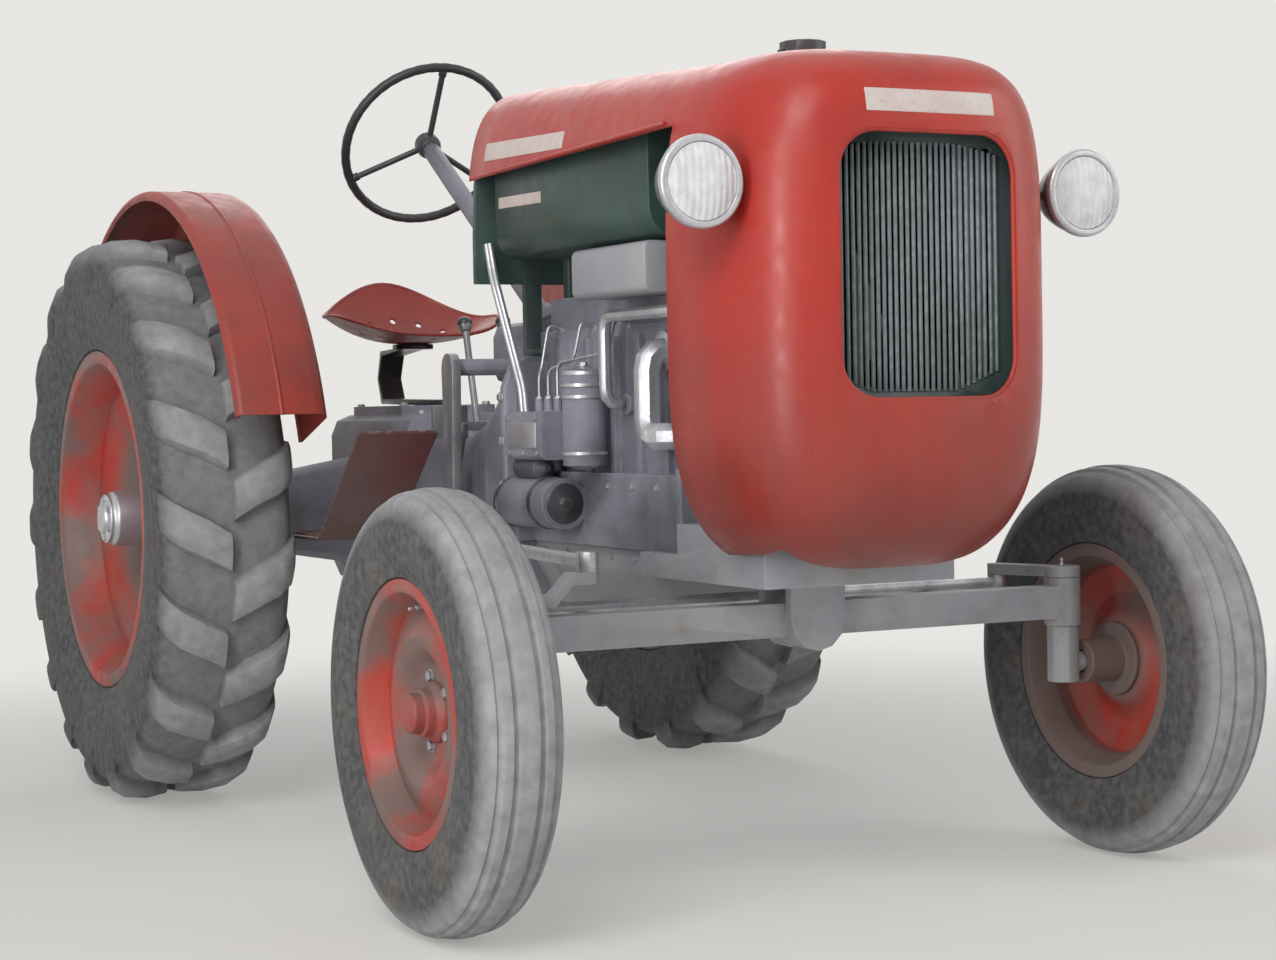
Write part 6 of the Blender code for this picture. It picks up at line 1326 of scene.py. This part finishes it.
class TRACTOR_OT_lamps(bpy.types.Operator):
    """Headlamps: spun buckets, plated rims, reflectors, bulbs and domed glass"""

    bl_idname = "tractor.lamps"
    bl_label = "Headlamps"

    def shell(self, word, side, front):
        """The bucket with its stalk and collar, and the plated rim."""
        curve = flowing([(0.014, 0.07), (0.033, 0.0665), (0.06, 0.0555), (0.085, 0.0405), (0.104, 0.026)], 4)
        inside = [(along, out - 0.003) for along, out in reversed(curve)]
        end = (0.113, 0.0235), (0.115, 0.018), (0.115, 0.0), (0.111, 0.0)
        bucket = turned([(0.008, 0.066), (0.008, 0.07), *curve, *end, *inside], front, Y_AXIS, 64)
        y = at(0, LAMP_STALK_AHEAD, 0).y
        root, tip = Vector((side * 0.2885, y, LAMP_Z)), Vector((side * (LAMP_X - 0.03), y, LAMP_Z))
        stalk = bar(root, tip, 0.0088, 20)
        flange_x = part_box("headlamp_shell_" + word)[1 if side < 0 else 0].x
        y = stalk.data.vertices[0].co.y
        collar = bar((flange_x, y, LAMP_Z), (flange_x + side * 0.007, y, LAMP_Z), 0.0155, 24, 0.002)
        fitted(
            f"headlamp_{word}_bucket", [bucket, stalk, collar], 40,
            "chassis", "black_enamel", [f"headlamp_shell_{word}"],
        )
        rim = [
            (0.0005, 0.0625), (0.0005, 0.071), (0.004, 0.0748), (0.0135, 0.0748),
            (0.0135, 0.0702), (0.006, 0.0685), (0.006, 0.0625),
        ]
        rim = lathed(rim, 0.0025, front, Y_AXIS, 72)
        fitted(f"headlamp_{word}_rim", [rim], 40, "chassis", "bright_metal")

    def optics(self, word, front):
        """The reflector with its bulb, and the domed glass."""
        bowl = flowing([(0.012, 0.0635), (0.035, 0.0575), (0.06, 0.042), (0.078, 0.02), (0.082, 0.008)], 4)
        behind = [(along + 0.0012, out + 0.0008) for along, out in reversed(bowl)]
        reflector = turned([*bowl, (0.082, 0.0), (0.0835, 0.0), *behind], front, Y_AXIS, 56)
        bulb = [(0.083, 0.0), (0.08, 0.0055), (0.066, 0.0062), (0.054, 0.009), (0.044, 0.0065), (0.0405, 0.0)]
        bulb = turned(flowing(bulb, 4), front, Y_AXIS, 24)
        fitted(f"headlamp_{word}_reflector", [reflector, bulb], 40, "chassis", "mirror_metal")
        dome = flowing([(-0.0085, 0.0), (-0.0078, 0.02), (-0.005, 0.042), (0.0015, 0.0615)], 5)
        within = [(along + 0.003, max(out - 0.0012, 0)) for along, out in reversed(dome)]
        lens = turned([*dome, (0.0058, 0.0625), (0.0058, 0.0605), *within], front, Y_AXIS, 72)
        fitted(
            f"headlamp_{word}_glass", [lens], 40,
            "chassis", "lamp_glass", [f"headlamp_lens_{word}"],
        )

    def execute(self, context):
        for word, side in SIDES.items():
            front = at(side * LAMP_X, LAMP_FRONT, LAMP_Z)
            self.shell(word, side, front)
            self.optics(word, front)
        return {"FINISHED"}


def pressed_plate(name, corners, direction, onto, lift):
    """A thin blank plate between four corners, pressed onto the skin behind it."""
    direction = Vector(direction)
    pick()
    bpy.ops.mesh.primitive_grid_add(x_subdivisions=24, y_subdivisions=6, size=2, location=(0, 0, 0))
    plate = bpy.context.object
    low_left, low_right, high_right, high_left = (at(*corner) for corner in corners)
    for vertex in plate.data.vertices:
        u, v = (vertex.co.x + 1) / 2, (vertex.co.y + 1) / 2
        flat = low_left.lerp(low_right, u).lerp(high_left.lerp(high_right, u), v)
        hit, place, _, _ = onto.ray_cast(flat - direction * 0.05, direction)
        vertex.co = (place if hit else flat) - direction * lift
    showing(plate, -direction)
    modify(plate, "SOLIDIFY", thickness=0.0016, offset=-1)
    modify(plate, "BEVEL", width=0.0005, segments=2, limit_method="ANGLE", angle_limit=1.0)
    fitted(name, [plate], 40, "chassis", "blank_plate")


GRILLE_BARS, GRILLE_SPAN, GRILLE_AHEAD = 29, 0.324, 2.1028
FINS, FIN_PITCH = 34, 0.0148
PLATE_LIFT, THIN_PLATE_LIFT = 0.0012, 0.0008


class TRACTOR_OT_nose_trim(bpy.types.Operator):
    """Grille bars, radiator cap, blank plates on nose, bonnet and tank"""

    bl_idname = "tractor.nose_trim"
    bl_label = "Grille, cap and plates"

    def execute(self, context):
        wire = context.scene.tractor_sizes.wire
        refined("grille", 0.0015, "chassis", "tank_green")
        pitch = GRILLE_SPAN / (GRILLE_BARS - 1)
        bars = []
        for i in range(GRILLE_BARS):
            x = pitch * (i - (GRILLE_BARS - 1) / 2)
            rise = 0.07 * max(abs(x) / 0.17 - 0.5, 0)
            low, high = at(x, GRILLE_AHEAD, 0.88 + rise), at(x, GRILLE_AHEAD, 1.286 - rise * 0.5)
            bars.append(bar(low, high, wire * 1.25, 12, wire * 0.5))
        placed(joined("grille_bars", bars), "chassis", "grille_slate")
        fins = []
        for i in range(FINS):
            z = 0.835 + i * FIN_PITCH
            fins.append(soft_block(at(-0.188, 1.8585, z), at(0.188, 1.8545, z + 0.0024), 0.0006, 1))
        placed(joined("radiator_fins", fins), "chassis", "mirror_metal")
        self.cap()
        self.plates()
        return {"FINISHED"}

    def cap(self):
        """The radiator's filler cap with its two ears."""
        cap = [
            (0.0, 0.0), (0.0, 0.0425), (0.008, 0.0425), (0.012, 0.038),
            (0.026, 0.036), (0.031, 0.028), (0.0335, 0.012), (0.0335, 0.0),
        ]
        seat = Vector((0, at(0, FILLER_AHEAD, 0).y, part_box("radiator")[1].z - 0.034))
        pieces = [lathed(cap, 0.003, seat, Z_AXIS, 48)]
        for x in (0.0425, -0.0425):
            low, high = seat + Vector((x - 0.007, -0.006, 0.004)), seat + Vector((x + 0.007, 0.006, 0.02))
            pieces.append(soft_block(low, high, 0.003, 2))
        fitted("radiator_cap", pieces, 45, "chassis", "black_enamel")

    def plates(self):
        """Blank plates on the nose, on both sides of the bonnet and on the tank."""
        shell, tank = bpy.data.objects["bonnet_shell"], bpy.data.objects["fuel_tank_body"]
        nose = (-0.118, 2.2, 1.327), (0.128, 2.2, 1.327), (0.128, 2.2, 1.364), (-0.118, 2.2, 1.364)
        pressed_plate("nose_plate_blank", nose, (0, 1, 0), shell, THIN_PLATE_LIFT)
        for word, side in SIDES.items():
            x = side * 0.4
            flank = (x, 1.36, 1.345), (x, 0.95, 1.362), (x, 0.95, 1.398), (x, 1.36, 1.377)
            pressed_plate(f"bonnet_plate_{word}_blank", flank, (-side, 0, 0), shell, PLATE_LIFT)
        belly = (-0.4, 1.17, 1.262), (-0.4, 0.97, 1.266), (-0.4, 0.97, 1.288), (-0.4, 1.17, 1.284)
        pressed_plate("tank_plate_blank", belly, (1, 0, 0), tank, THIN_PLATE_LIFT)


# The injection pump, the engine's head and the belt, as in the CAD
PUMP_BACK, PUMP_LENGTH = 0.9993, 0.1724
HEAD_BACK, HEAD_LENGTH = 0.9703, 0.6297
FILTER_FOOT = at(-0.19, 1.2503, 0.755)
STARTER_BACK = at(-0.205, 1.0, 0.68)
BELT_AHEAD, BELT_WIDTH, BELT_THICKNESS = 1.6325, 0.011, 0.0055
# Crank, dynamo and fan pulleys: across, height, radius of the belt
BELT_ROUNDS = ((0.0, 0.74, 0.0715), (0.195, 0.84, 0.0365), (0.0, 0.96, 0.0415))


def seat_on(names, start, way):
    """The place where a ray first meets one of these pieces."""
    start, way = Vector(start), Vector(way).normalized()
    met = []
    for name in names:
        hit, place, _, _ = bpy.data.objects[name].ray_cast(start, way)
        if hit:
            met.append(place)
    if not met:
        raise RuntimeError(f"no surface of {names} lies along the ray from {tuple(start)}")
    return min(met, key=lambda place: (place - start).length)


def bolts_on(name, targets, starts, way, radius):
    """Bolt heads where rays from these places meet the targets, facing the way they came."""
    way = Vector(way)
    bolts(name, [(seat_on(targets, start, way), -way) for start in starts], radius, "chassis")


def hoops(lows, width, inner, outer, centre, axis):
    """Flat hoops round the axis, each from one of these places along it."""
    return [
        turned([(low, inner), (low, outer), (low + width, outer), (low + width, inner)], centre, axis, 40)
        for low in lows
    ]


def puck(height, radius, rounding, foot, axis, steps):
    """A round disc standing on its foot."""
    return lathed([(0.0, 0.0), (0.0, radius), (height, radius), (height, 0.0)], rounding, foot, axis, steps)


class TRACTOR_OT_engine_fittings(bpy.types.Operator):
    """Injector pipes, filter and pump details, cover nuts, belt and casting bolts of the engine"""

    bl_idname = "tractor.engine_fittings"
    bl_label = "Engine fittings"

    def execute(self, context):
        sizes = context.scene.tractor_sizes
        head, block, sump = "cylinder_head_body", "engine_block_body", "sump_casting_body"
        self.injection(sizes)
        cover = [at(0, ahead, 1.3) for ahead in (1.05, 1.28, 1.5)]
        bolts_on("rocker_cover_nuts", [head], cover, (0, 0, -1), sizes.bolt * 1.2)
        rows = [at(x, ahead, 1.16) for x in (-0.1, 0.1) for ahead in (1.0, 1.14, 1.28, 1.42, 1.56)]
        bolts_on("head_nuts", [head], rows, (0, 0, -1), sizes.bolt)
        for word, side in SIDES.items():
            flange = [at(side * 0.4, ahead, 0.715) for ahead in (0.965, 1.3, 1.4, 1.5, 1.59)]
            bolts_on(f"crankcase_bolts_{word}", [block], flange, (-side, 0, 0), sizes.small_bolt)
            pan = [at(side * 0.4, ahead, 0.58) for ahead in (0.98, 1.08, 1.18, 1.28, 1.38, 1.46)]
            bolts_on(f"sump_bolts_{word}", [sump, block], pan, (-side, 0, 0), sizes.small_bolt)
        self.filter_bands(sizes)
        self.starter_bands()
        self.belt()
        self.manifold()
        return {"FINISHED"}

    def injection(self, sizes):
        """Three steel pipes to the injectors, the pump's screws and cover, and the twin governor rod."""
        pipes, unions = [], []
        for i in range(3):
            ahead = PUMP_BACK + PUMP_LENGTH * (i + 1) / 4
            injector = 1.03 + 0.15 * i
            rise = 0.012 * i
            foot = at(-0.1875, ahead, 0.884)
            route = [
                foot,
                foot + Vector((0, 0, 0.045 + rise)),
                at(-0.176, injector, 0.945 + rise),
                at(-0.158, injector, 1.035),
                at(-0.124, injector, 1.02),
            ]
            pipes.append(tube(route, sizes.fuel_pipe, 12, bend=0.022))
            unions += [(foot, (0, 0, 1)), (at(-0.1255, injector, 1.02), (-1, 0, 0))]
        placed(joined("injector_pipes", pipes), "chassis", "bright_metal")
        bolts("injector_unions", unions, sizes.small_bolt * 1.35, "chassis")
        seats = [
            (at(-0.245, PUMP_BACK + PUMP_LENGTH * share, z), (-1, 0, 0))
            for share in (0.12, 0.5, 0.88)
            for z in (0.778, 0.847)
        ]
        bolts("pump_screws", seats, sizes.small_bolt * 0.8, "chassis")
        plate = soft_block(at(-0.2485, 1.152, 0.788), at(-0.2445, 1.02, 0.838), 0.0012, 2)
        placed(joined("pump_cover", [plate]), "chassis", "bright_metal")
        way = (-0.232, 0.905, 1.2), (-0.232, 0.93, 1.13), (-0.214, 1.02, 0.905), (-0.214, 1.028, 0.858)
        rods = []
        for gap in (-0.009, 0.009):
            rods.append(tube([at(*place) - Y_AXIS * gap for place in way], 0.0065, 12, bend=0.02))
        placed(joined("governor_rod", rods), "chassis", "bright_metal")

    def filter_bands(self, sizes):
        """Hoops, top, foot and nut of the oil filter."""
        rings = hoops((0.02, 0.128, 0.15), 0.006, 0.0415, 0.0445, FILTER_FOOT, Z_AXIS)
        top = (0.172, 0.0), (0.172, 0.043), (0.181, 0.04), (0.186, 0.02), (0.19, 0.01), (0.19, 0.0)
        foot = (-0.008, 0.0), (-0.008, 0.012), (0.0, 0.038), (0.003, 0.042), (0.003, 0.0)
        top = lathed(top, 0.003, FILTER_FOOT, Z_AXIS, 40)
        foot = lathed(foot, 0.002, FILTER_FOOT, Z_AXIS, 40)
        fitted("filter_bands", [*rings, top, foot], 40, "chassis", "bright_metal")
        bolts("filter_nut", [(FILTER_FOOT + Z_AXIS * 0.19, (0, 0, 1))], sizes.bolt, "chassis")

    def starter_bands(self):
        """Hoops, nose and solenoid of the starter."""
        bands = hoops((-0.04, 0.12), 0.012, 0.049, 0.0518, STARTER_BACK, FORWARD)
        nose = (0.184, 0.0), (0.184, 0.047), (0.192, 0.038), (0.199, 0.014), (0.205, 0.013), (0.205, 0.0)
        solenoid = (0.0, 0.0), (0.0, 0.024), (0.1, 0.024), (0.106, 0.012), (0.118, 0.008), (0.118, 0.0)
        nose = lathed(nose, 0.003, STARTER_BACK, FORWARD, 40)
        solenoid = lathed(solenoid, 0.003, STARTER_BACK + Vector((-0.002, 0, 0.068)), FORWARD, 32)
        fitted("starter_bands", [*bands, nose, solenoid], 40, "chassis", "oily_casting")

    def belt(self):
        """The belt round the crank, fan and dynamo pulleys."""
        points = []
        for x, z, radius in BELT_ROUNDS:
            for i in range(64):
                angle = TURN * i / 64
                points.append((x + radius * math.cos(angle), z + radius * math.sin(angle)))
        strip = outlined([at(x, BELT_AHEAD - BELT_WIDTH / 2, z) for x, z in outer_loop(points)])
        edit(strip, None, "EDGE")
        bpy.ops.mesh.extrude_region_move(TRANSFORM_OT_translate={"value": (0, -BELT_WIDTH, 0)})
        leave()
        outward(strip)
        modify(strip, "SOLIDIFY", thickness=BELT_THICKNESS, offset=0)
        fitted("fan_belt", [strip], 35, "chassis", "rubber_rear_right")

    def manifold(self):
        """Flange rings on the exhaust's ports and clamps on the muffler."""
        back, front = HEAD_BACK + HEAD_LENGTH * 0.095, HEAD_BACK + HEAD_LENGTH * 0.795
        ports = [at(0.1252, back + (front - back) * i / 4, 1.05) for i in (1, 2, 3)]
        clamps = [at(0.248, ahead, 0.525) for ahead in (0.352, 0.735)]
        rings = [puck(0.008, 0.033, 0.002, port, X_AXIS, 28) for port in ports]
        rings += [puck(0.012, 0.047, 0.003, clamp, FORWARD, 36) for clamp in clamps]
        fitted("exhaust_rings", rings, 40, "chassis", "dull_steel")


def outer_loop(points):
    """The outline of a belt drawn tight round all the points."""
    points = sorted(set(points))

    def half(run):
        chain = []
        for point in run:
            while len(chain) > 1:
                (ax, az), (bx, bz) = chain[-2], chain[-1]
                if (bx - ax) * (point[1] - az) - (bz - az) * (point[0] - ax) > 0:
                    break
                chain.pop()
            chain.append(point)
        return chain[:-1]

    return half(points) + half(points[::-1])


KNOB_SPACING, KNOB_REACH = 0.06, 0.03
GAUGES_Z = 1.42
# The gauges on the instrument panel: across, radius
GAUGES = ((-0.065, 0.027), (0.0, 0.033), (0.065, 0.027))
BOARD_INNER, BOARD_SLOPE_INNER, BOARD_OUTER = 0.24, 0.345, 0.485


class TRACTOR_OT_chassis_fittings(bpy.types.Operator):
    """Bolts of gearbox and axle, axle details, tread bars, knobs and gauges"""

    bl_idname = "tractor.chassis_fittings"
    bl_label = "Gearbox, axle and cab fittings"

    def execute(self, context):
        sizes = context.scene.tractor_sizes
        self.transmission(sizes)
        self.power_take_off()
        self.front_axle(sizes)
        self.knobs()
        self.gauges()
        self.boards()
        return {"FINISHED"}

    def transmission(self, sizes):
        """Bolts of the gearbox, of the axle housing and of both trumpets."""
        box, axle = "gearbox_body", "rear_axle_housing_body"
        for word, side in SIDES.items():
            column = [at(side * 0.4, 0.915, z) for z in (0.53, 0.62, 0.71, 0.8, 0.89)]
            bolts_on(f"bell_bolts_{word}", [box], column, (-side, 0, 0), sizes.bolt)
            rim = [at(side * 0.4, 0.275, z) for z in (0.5, 0.58, 0.66, 0.74, 0.82)]
            bolts_on(f"gearbox_bolts_{word}", [box, axle], rim, (-side, 0, 0), sizes.bolt)
            flange = []
            for i in range(8):
                angle = TURN * (i + 0.5) / 8
                flange.append(at(side * 0.6, 0.108 * math.cos(angle), REAR_RADIUS + 0.108 * math.sin(angle)))
            bolts_on(f"trumpet_bolts_{word}", [axle], flange, (-side, 0, 0), sizes.bolt * 0.85)
        cover = (-0.1, -0.2), (0.1, -0.2), (-0.1, 0.2), (0.1, 0.2), (-0.105, 0.1), (0.105, 0.1)
        cover = [at(x, ahead, 1.0) for x, ahead in cover]
        bolts_on("axle_cover_bolts", [axle], cover, (0, 0, -1), sizes.bolt)
        back = [at(x, -0.6, z) for z in (0.5, 0.66, 0.8) for x in (-0.12, 0.12)]
        bolts_on("rear_case_bolts", [axle], back, (0, -1, 0), sizes.bolt)

    def power_take_off(self):
        """The splined shaft end at the back of the axle housing, on its flange."""
        root = seat_on(["rear_axle_housing_body"], at(0, -0.7, 0.6), (0, -1, 0))
        flange = (-0.002, 0.0), (-0.002, 0.04), (0.006, 0.04), (0.006, 0.0)
        shaft = (0.0, 0.0), (0.0, 0.0165), (0.05, 0.0165), (0.053, 0.013), (0.053, 0.0)
        pieces = [lathed(flange, 0.002, root, Y_AXIS, 36), lathed(shaft, 0.002, root, Y_AXIS, 32)]
        for i in range(6):
            angle = TURN * i / 6
            foot = root + Vector((math.cos(angle), 0, math.sin(angle))) * 0.0168
            pieces.append(bar(foot + Y_AXIS * 0.004, foot + Y_AXIS * 0.05, 0.0034, 8, 0.0008))
        fitted("power_take_off", pieces, 40, "chassis", "dull_steel")

    def front_axle(self, sizes):
        """Bolts of the axle's support and a grease nipple on each kingpin."""
        starts = [at(x, 2.2, 0.605) for x in (-0.15, -0.05, 0.05, 0.15)]
        targets = ["front_axle_body", "engine_block_body"]
        bolts_on("support_bolts", targets, starts, (0, 1, 0), sizes.bolt * 1.2)
        outline = [
            (0.0, 0.0), (0.0, 0.006), (0.004, 0.006), (0.004, 0.0032),
            (0.009, 0.0032), (0.011, 0.0042), (0.015, 0.002), (0.015, 0.0),
        ]
        for word, side in SIDES.items():
            pin = f"knuckle_{word}"
            top = seat_on([pin + "_body"], at(side * 0.57, WHEELBASE, 0.8), (0, 0, -1))
            nipple = lathed(outline, 0.0008, top, Z_AXIS, 16)
            fitted(f"grease_nipple_{word}", [nipple], 40, pin, "zinc")

    def knobs(self):
        """A ball on the top of each of the two gear levers."""
        points = [vertex.co for vertex in bpy.data.objects["gear_levers_body"].data.vertices]
        tops = []
        for place in sorted(points, key=lambda place: -place.z):
            if len(tops) < 2 and all((place - other).length > KNOB_SPACING for other in tops):
                tops.append(place.copy())
        outline = [
            (-0.016, 0.0), (-0.015, 0.007), (-0.006, 0.0165),
            (0.006, 0.0165), (0.0135, 0.009), (0.0155, 0.0),
        ]
        balls = []
        for top in tops:
            near = [place for place in points if (place - top).length < KNOB_REACH]
            balls.append(turned(flowing(outline, 4), sum(near, Vector()) / len(near), Z_AXIS, 28))
        fitted("lever_knobs", balls, 60, "chassis", "black_enamel")

    def gauges(self):
        """Three round gauges with a needle and nine marks each, and nothing written."""
        face = seat_on(["bulkhead_body"], at(0, 0.5, GAUGES_Z), (0, -1, 0)).y
        marks, rims = [], []
        for x, radius in GAUGES:
            centre = Vector((x, face, GAUGES_Z))
            rim = [
                (-0.001, 0.0), (-0.001, radius), (0.008, radius),
                (0.008, radius - 0.004), (0.003, radius - 0.005), (0.003, 0.0),
            ]
            rims.append(lathed(rim, 0.0012, centre, Y_AXIS, 40))
            low = centre + Vector((-0.0008, 0.0032, -0.002))
            high = centre + Vector((0.0008, 0.0042, radius * 0.72))
            marks.append(soft_block(low, high, 0.0003, 1))
            front = centre + Y_AXIS * 0.0033
            for i in range(9):
                angle = math.radians(-30 + 240 * i / 8)
                way = Vector((math.cos(angle), 0, math.sin(angle))) * radius
                marks.append(bar(front + way * 0.62, front + way * 0.78, 0.0006, 6))
        fitted("gauge_rims", rims, 40, "chassis", "black_enamel")
        placed(joined("gauge_marks", marks), "chassis", "blank_plate")

    def boards(self):
        """Flat tread bars on the footplates and round ones on their slopes."""
        for word, side in SIDES.items():
            board = [f"footplate_{word}_body"]
            low, high = sorted((side * BOARD_INNER, side * BOARD_OUTER))
            bars = []
            for i in range(7):
                _, y, z = seat_on(board, at(side * 0.4, 0.3 + i * 0.045, 0.9), (0, 0, -1))
                first, last = Vector((low, y - 0.004, z - 0.0005)), Vector((high, y + 0.004, z + 0.0035))
                bars.append(soft_block(first, last, 0.0015, 2))
            for i in range(5):
                _, y, z = seat_on(board, at(side * 0.42, 0.65 + i * 0.04, 1.1), (0, 0, -1))
                first, last = (side * BOARD_SLOPE_INNER, y, z + 0.0005), (side * BOARD_OUTER, y, z + 0.0005)
                bars.append(bar(first, last, 0.0028, 10, 0.001))
            placed(joined(f"footplate_{word}_treads", bars), "chassis", "shaded_board_red")


BACKDROP = (0.81, 0.795, 0.765, 1.0)
FLOOR_SPAN = 60.0
# The floor turns into the backdrop between these distances from the middle
FLOOR_NEAR, FLOOR_FAR = 1.6, 4.2
LAMP_AIM = Vector((0, -0.2, 0.7))
LAMPS = (
    # Name, place, power in watts, width, height
    ("studio_key", (-4.2, -5.2, 5.2), 210, 3.4, 3.4),
    ("studio_strip", (-4.4, -3.3, 1.3), 75, 0.7, 2.6),
    ("studio_fill", (5.0, -4.0, 3.2), 95, 4.0, 4.0),
    ("studio_back", (2.5, 5.5, 4.5), 60, 3.5, 3.5),
    ("studio_top", (0.0, 0.0, 6.5), 30, 5.0, 5.0),
)


def seen_directly(tree):
    """One where a ray comes from the camera, a mirror or glass, and nought where it lights the object."""
    path = tree.nodes.new("ShaderNodeLightPath")
    either = path.outputs["Is Camera Ray"]
    for name in ("Is Glossy Ray", "Is Transmission Ray"):
        both = tree.nodes.new("ShaderNodeMath")
        both.operation = "MAXIMUM"
        tree.links.new(either, both.inputs[0])
        tree.links.new(path.outputs[name], both.inputs[1])
        either = both.outputs[0]
    return either


def blended(tree, share, first, second, output):
    """Sends a mix of two shaders to the output."""
    mixed = tree.nodes.new("ShaderNodeMixShader")
    for socket, source in zip(mixed.inputs, (share, first.outputs[0], second.outputs[0])):
        tree.links.new(source, socket)
    tree.links.new(mixed.outputs[0], tree.nodes[output].inputs["Surface"])


class TRACTOR_OT_studio(bpy.types.Operator):
    """Pale floor, soft lamps, pale surroundings and the photograph's camera"""

    bl_idname = "tractor.studio"
    bl_label = "Studio"

    def execute(self, context):
        self.floor()
        self.surroundings(context.scene)
        for name, place, power, width, height in LAMPS:
            pick()
            bpy.ops.object.light_add(type="AREA", location=place)
            lamp = context.object
            lamp.name = name
            lamp.data.energy = power
            lamp.data.shape = "RECTANGLE"
            lamp.data.size = width
            lamp.data.size_y = height
            aim = LAMP_AIM - lamp.location
            lamp.rotation_euler = aim.to_track_quat("-Z", "Y").to_euler()
        camera_data = bpy.data.cameras.new("studio_camera")
        camera_data.sensor_width = 36
        camera_data.lens = context.scene.tractor_camera.lens
        look_through(camera_data)
        context.scene.view_settings.view_transform = "Standard"
        return {"FINISHED"}

    def floor(self):
        """A floor that keeps the shadow near the tractor and turns into the backdrop further out."""
        pick()
        bpy.ops.mesh.primitive_plane_add(size=FLOOR_SPAN, location=(0, 0, 0))
        floor = bpy.context.object
        floor.name = "studio_floor"
        paper = Finish("studio_floor")
        paper.shader.inputs["Specular IOR Level"].default_value = 0.0
        floor.data.materials.append(paper.done(BACKDROP, 0.9))
        length = paper.node("VectorMath", Vector=paper.place)
        length.operation = "LENGTH"
        run = {"From_Min": FLOOR_NEAR, "From_Max": FLOOR_FAR, "To_Min": 0.35}
        far = paper.node("MapRange", Value=length.outputs["Value"], **run)
        far.interpolation_type = "SMOOTHSTEP"
        share = paper.math("MULTIPLY", far.outputs["Result"], seen_directly(paper.tree))
        glow = paper.node("Emission", Color=BACKDROP)
        blended(paper.tree, share, paper.shader, glow, "Material Output")

    def surroundings(self, scene):
        """A world that lights the tractor softly and is seen as the pale backdrop."""
        world = bpy.data.worlds.new("studio_world")
        scene.world = world
        world.use_nodes = True
        tree = world.node_tree
        light = tree.nodes["Background"]
        light.inputs["Color"].default_value = (0.8, 0.82, 0.86, 1)
        light.inputs["Strength"].default_value = 0.36
        seen = tree.nodes.new("ShaderNodeBackground")
        seen.inputs["Color"].default_value = BACKDROP
        blended(tree, seen_directly(tree), light, seen, "World Output")


OPERATORS = (
    TRACTOR_OT_finishes,
    TRACTOR_OT_rear_tyres,
    TRACTOR_OT_front_tyres,
    TRACTOR_OT_wheels,
    TRACTOR_OT_bonnet,
    TRACTOR_OT_castings,
    TRACTOR_OT_fenders,
    TRACTOR_OT_seat,
    TRACTOR_OT_steering_wheel,
    TRACTOR_OT_lamps,
    TRACTOR_OT_nose_trim,
    TRACTOR_OT_engine_fittings,
    TRACTOR_OT_chassis_fittings,
    TRACTOR_OT_studio,
)


class TRACTOR_PT_dressing(bpy.types.Panel):
    """Buttons for each group of pieces, with their sizes and colours"""

    bl_idname = "TRACTOR_PT_dressing"
    bl_label = "Tractor dressing"
    bl_space_type = "VIEW_3D"
    bl_region_type = "UI"
    bl_category = "Tractor"

    def draw(self, context):
        layout = self.layout
        for operator in OPERATORS:
            layout.operator(operator.bl_idname)
        for group in GROUPS:
            settings = getattr(context.scene, group)
            column = layout.column(align=True)
            for name in settings.bl_rna.properties.keys():
                if name not in ("rna_type", "name"):
                    column.prop(settings, name)


GROUPS = {"tractor_colours": TractorColours, "tractor_sizes": TractorSizes, "tractor_camera": TractorCamera}


def register():
    for made in (*GROUPS.values(), *OPERATORS, TRACTOR_PT_dressing):
        bpy.utils.register_class(made)
    for name, group in GROUPS.items():
        setattr(bpy.types.Scene, name, bpy.props.PointerProperty(type=group))


def unregister():
    for name in GROUPS:
        delattr(bpy.types.Scene, name)
    for made in (TRACTOR_PT_dressing, *reversed(OPERATORS), *reversed(GROUPS.values())):
        bpy.utils.unregister_class(made)


def main():
    register()
    for operator in OPERATORS:
        group, name = operator.bl_idname.split(".")
        getattr(getattr(bpy.ops, group), name)()
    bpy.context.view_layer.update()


if __name__ == "__main__":
    main()
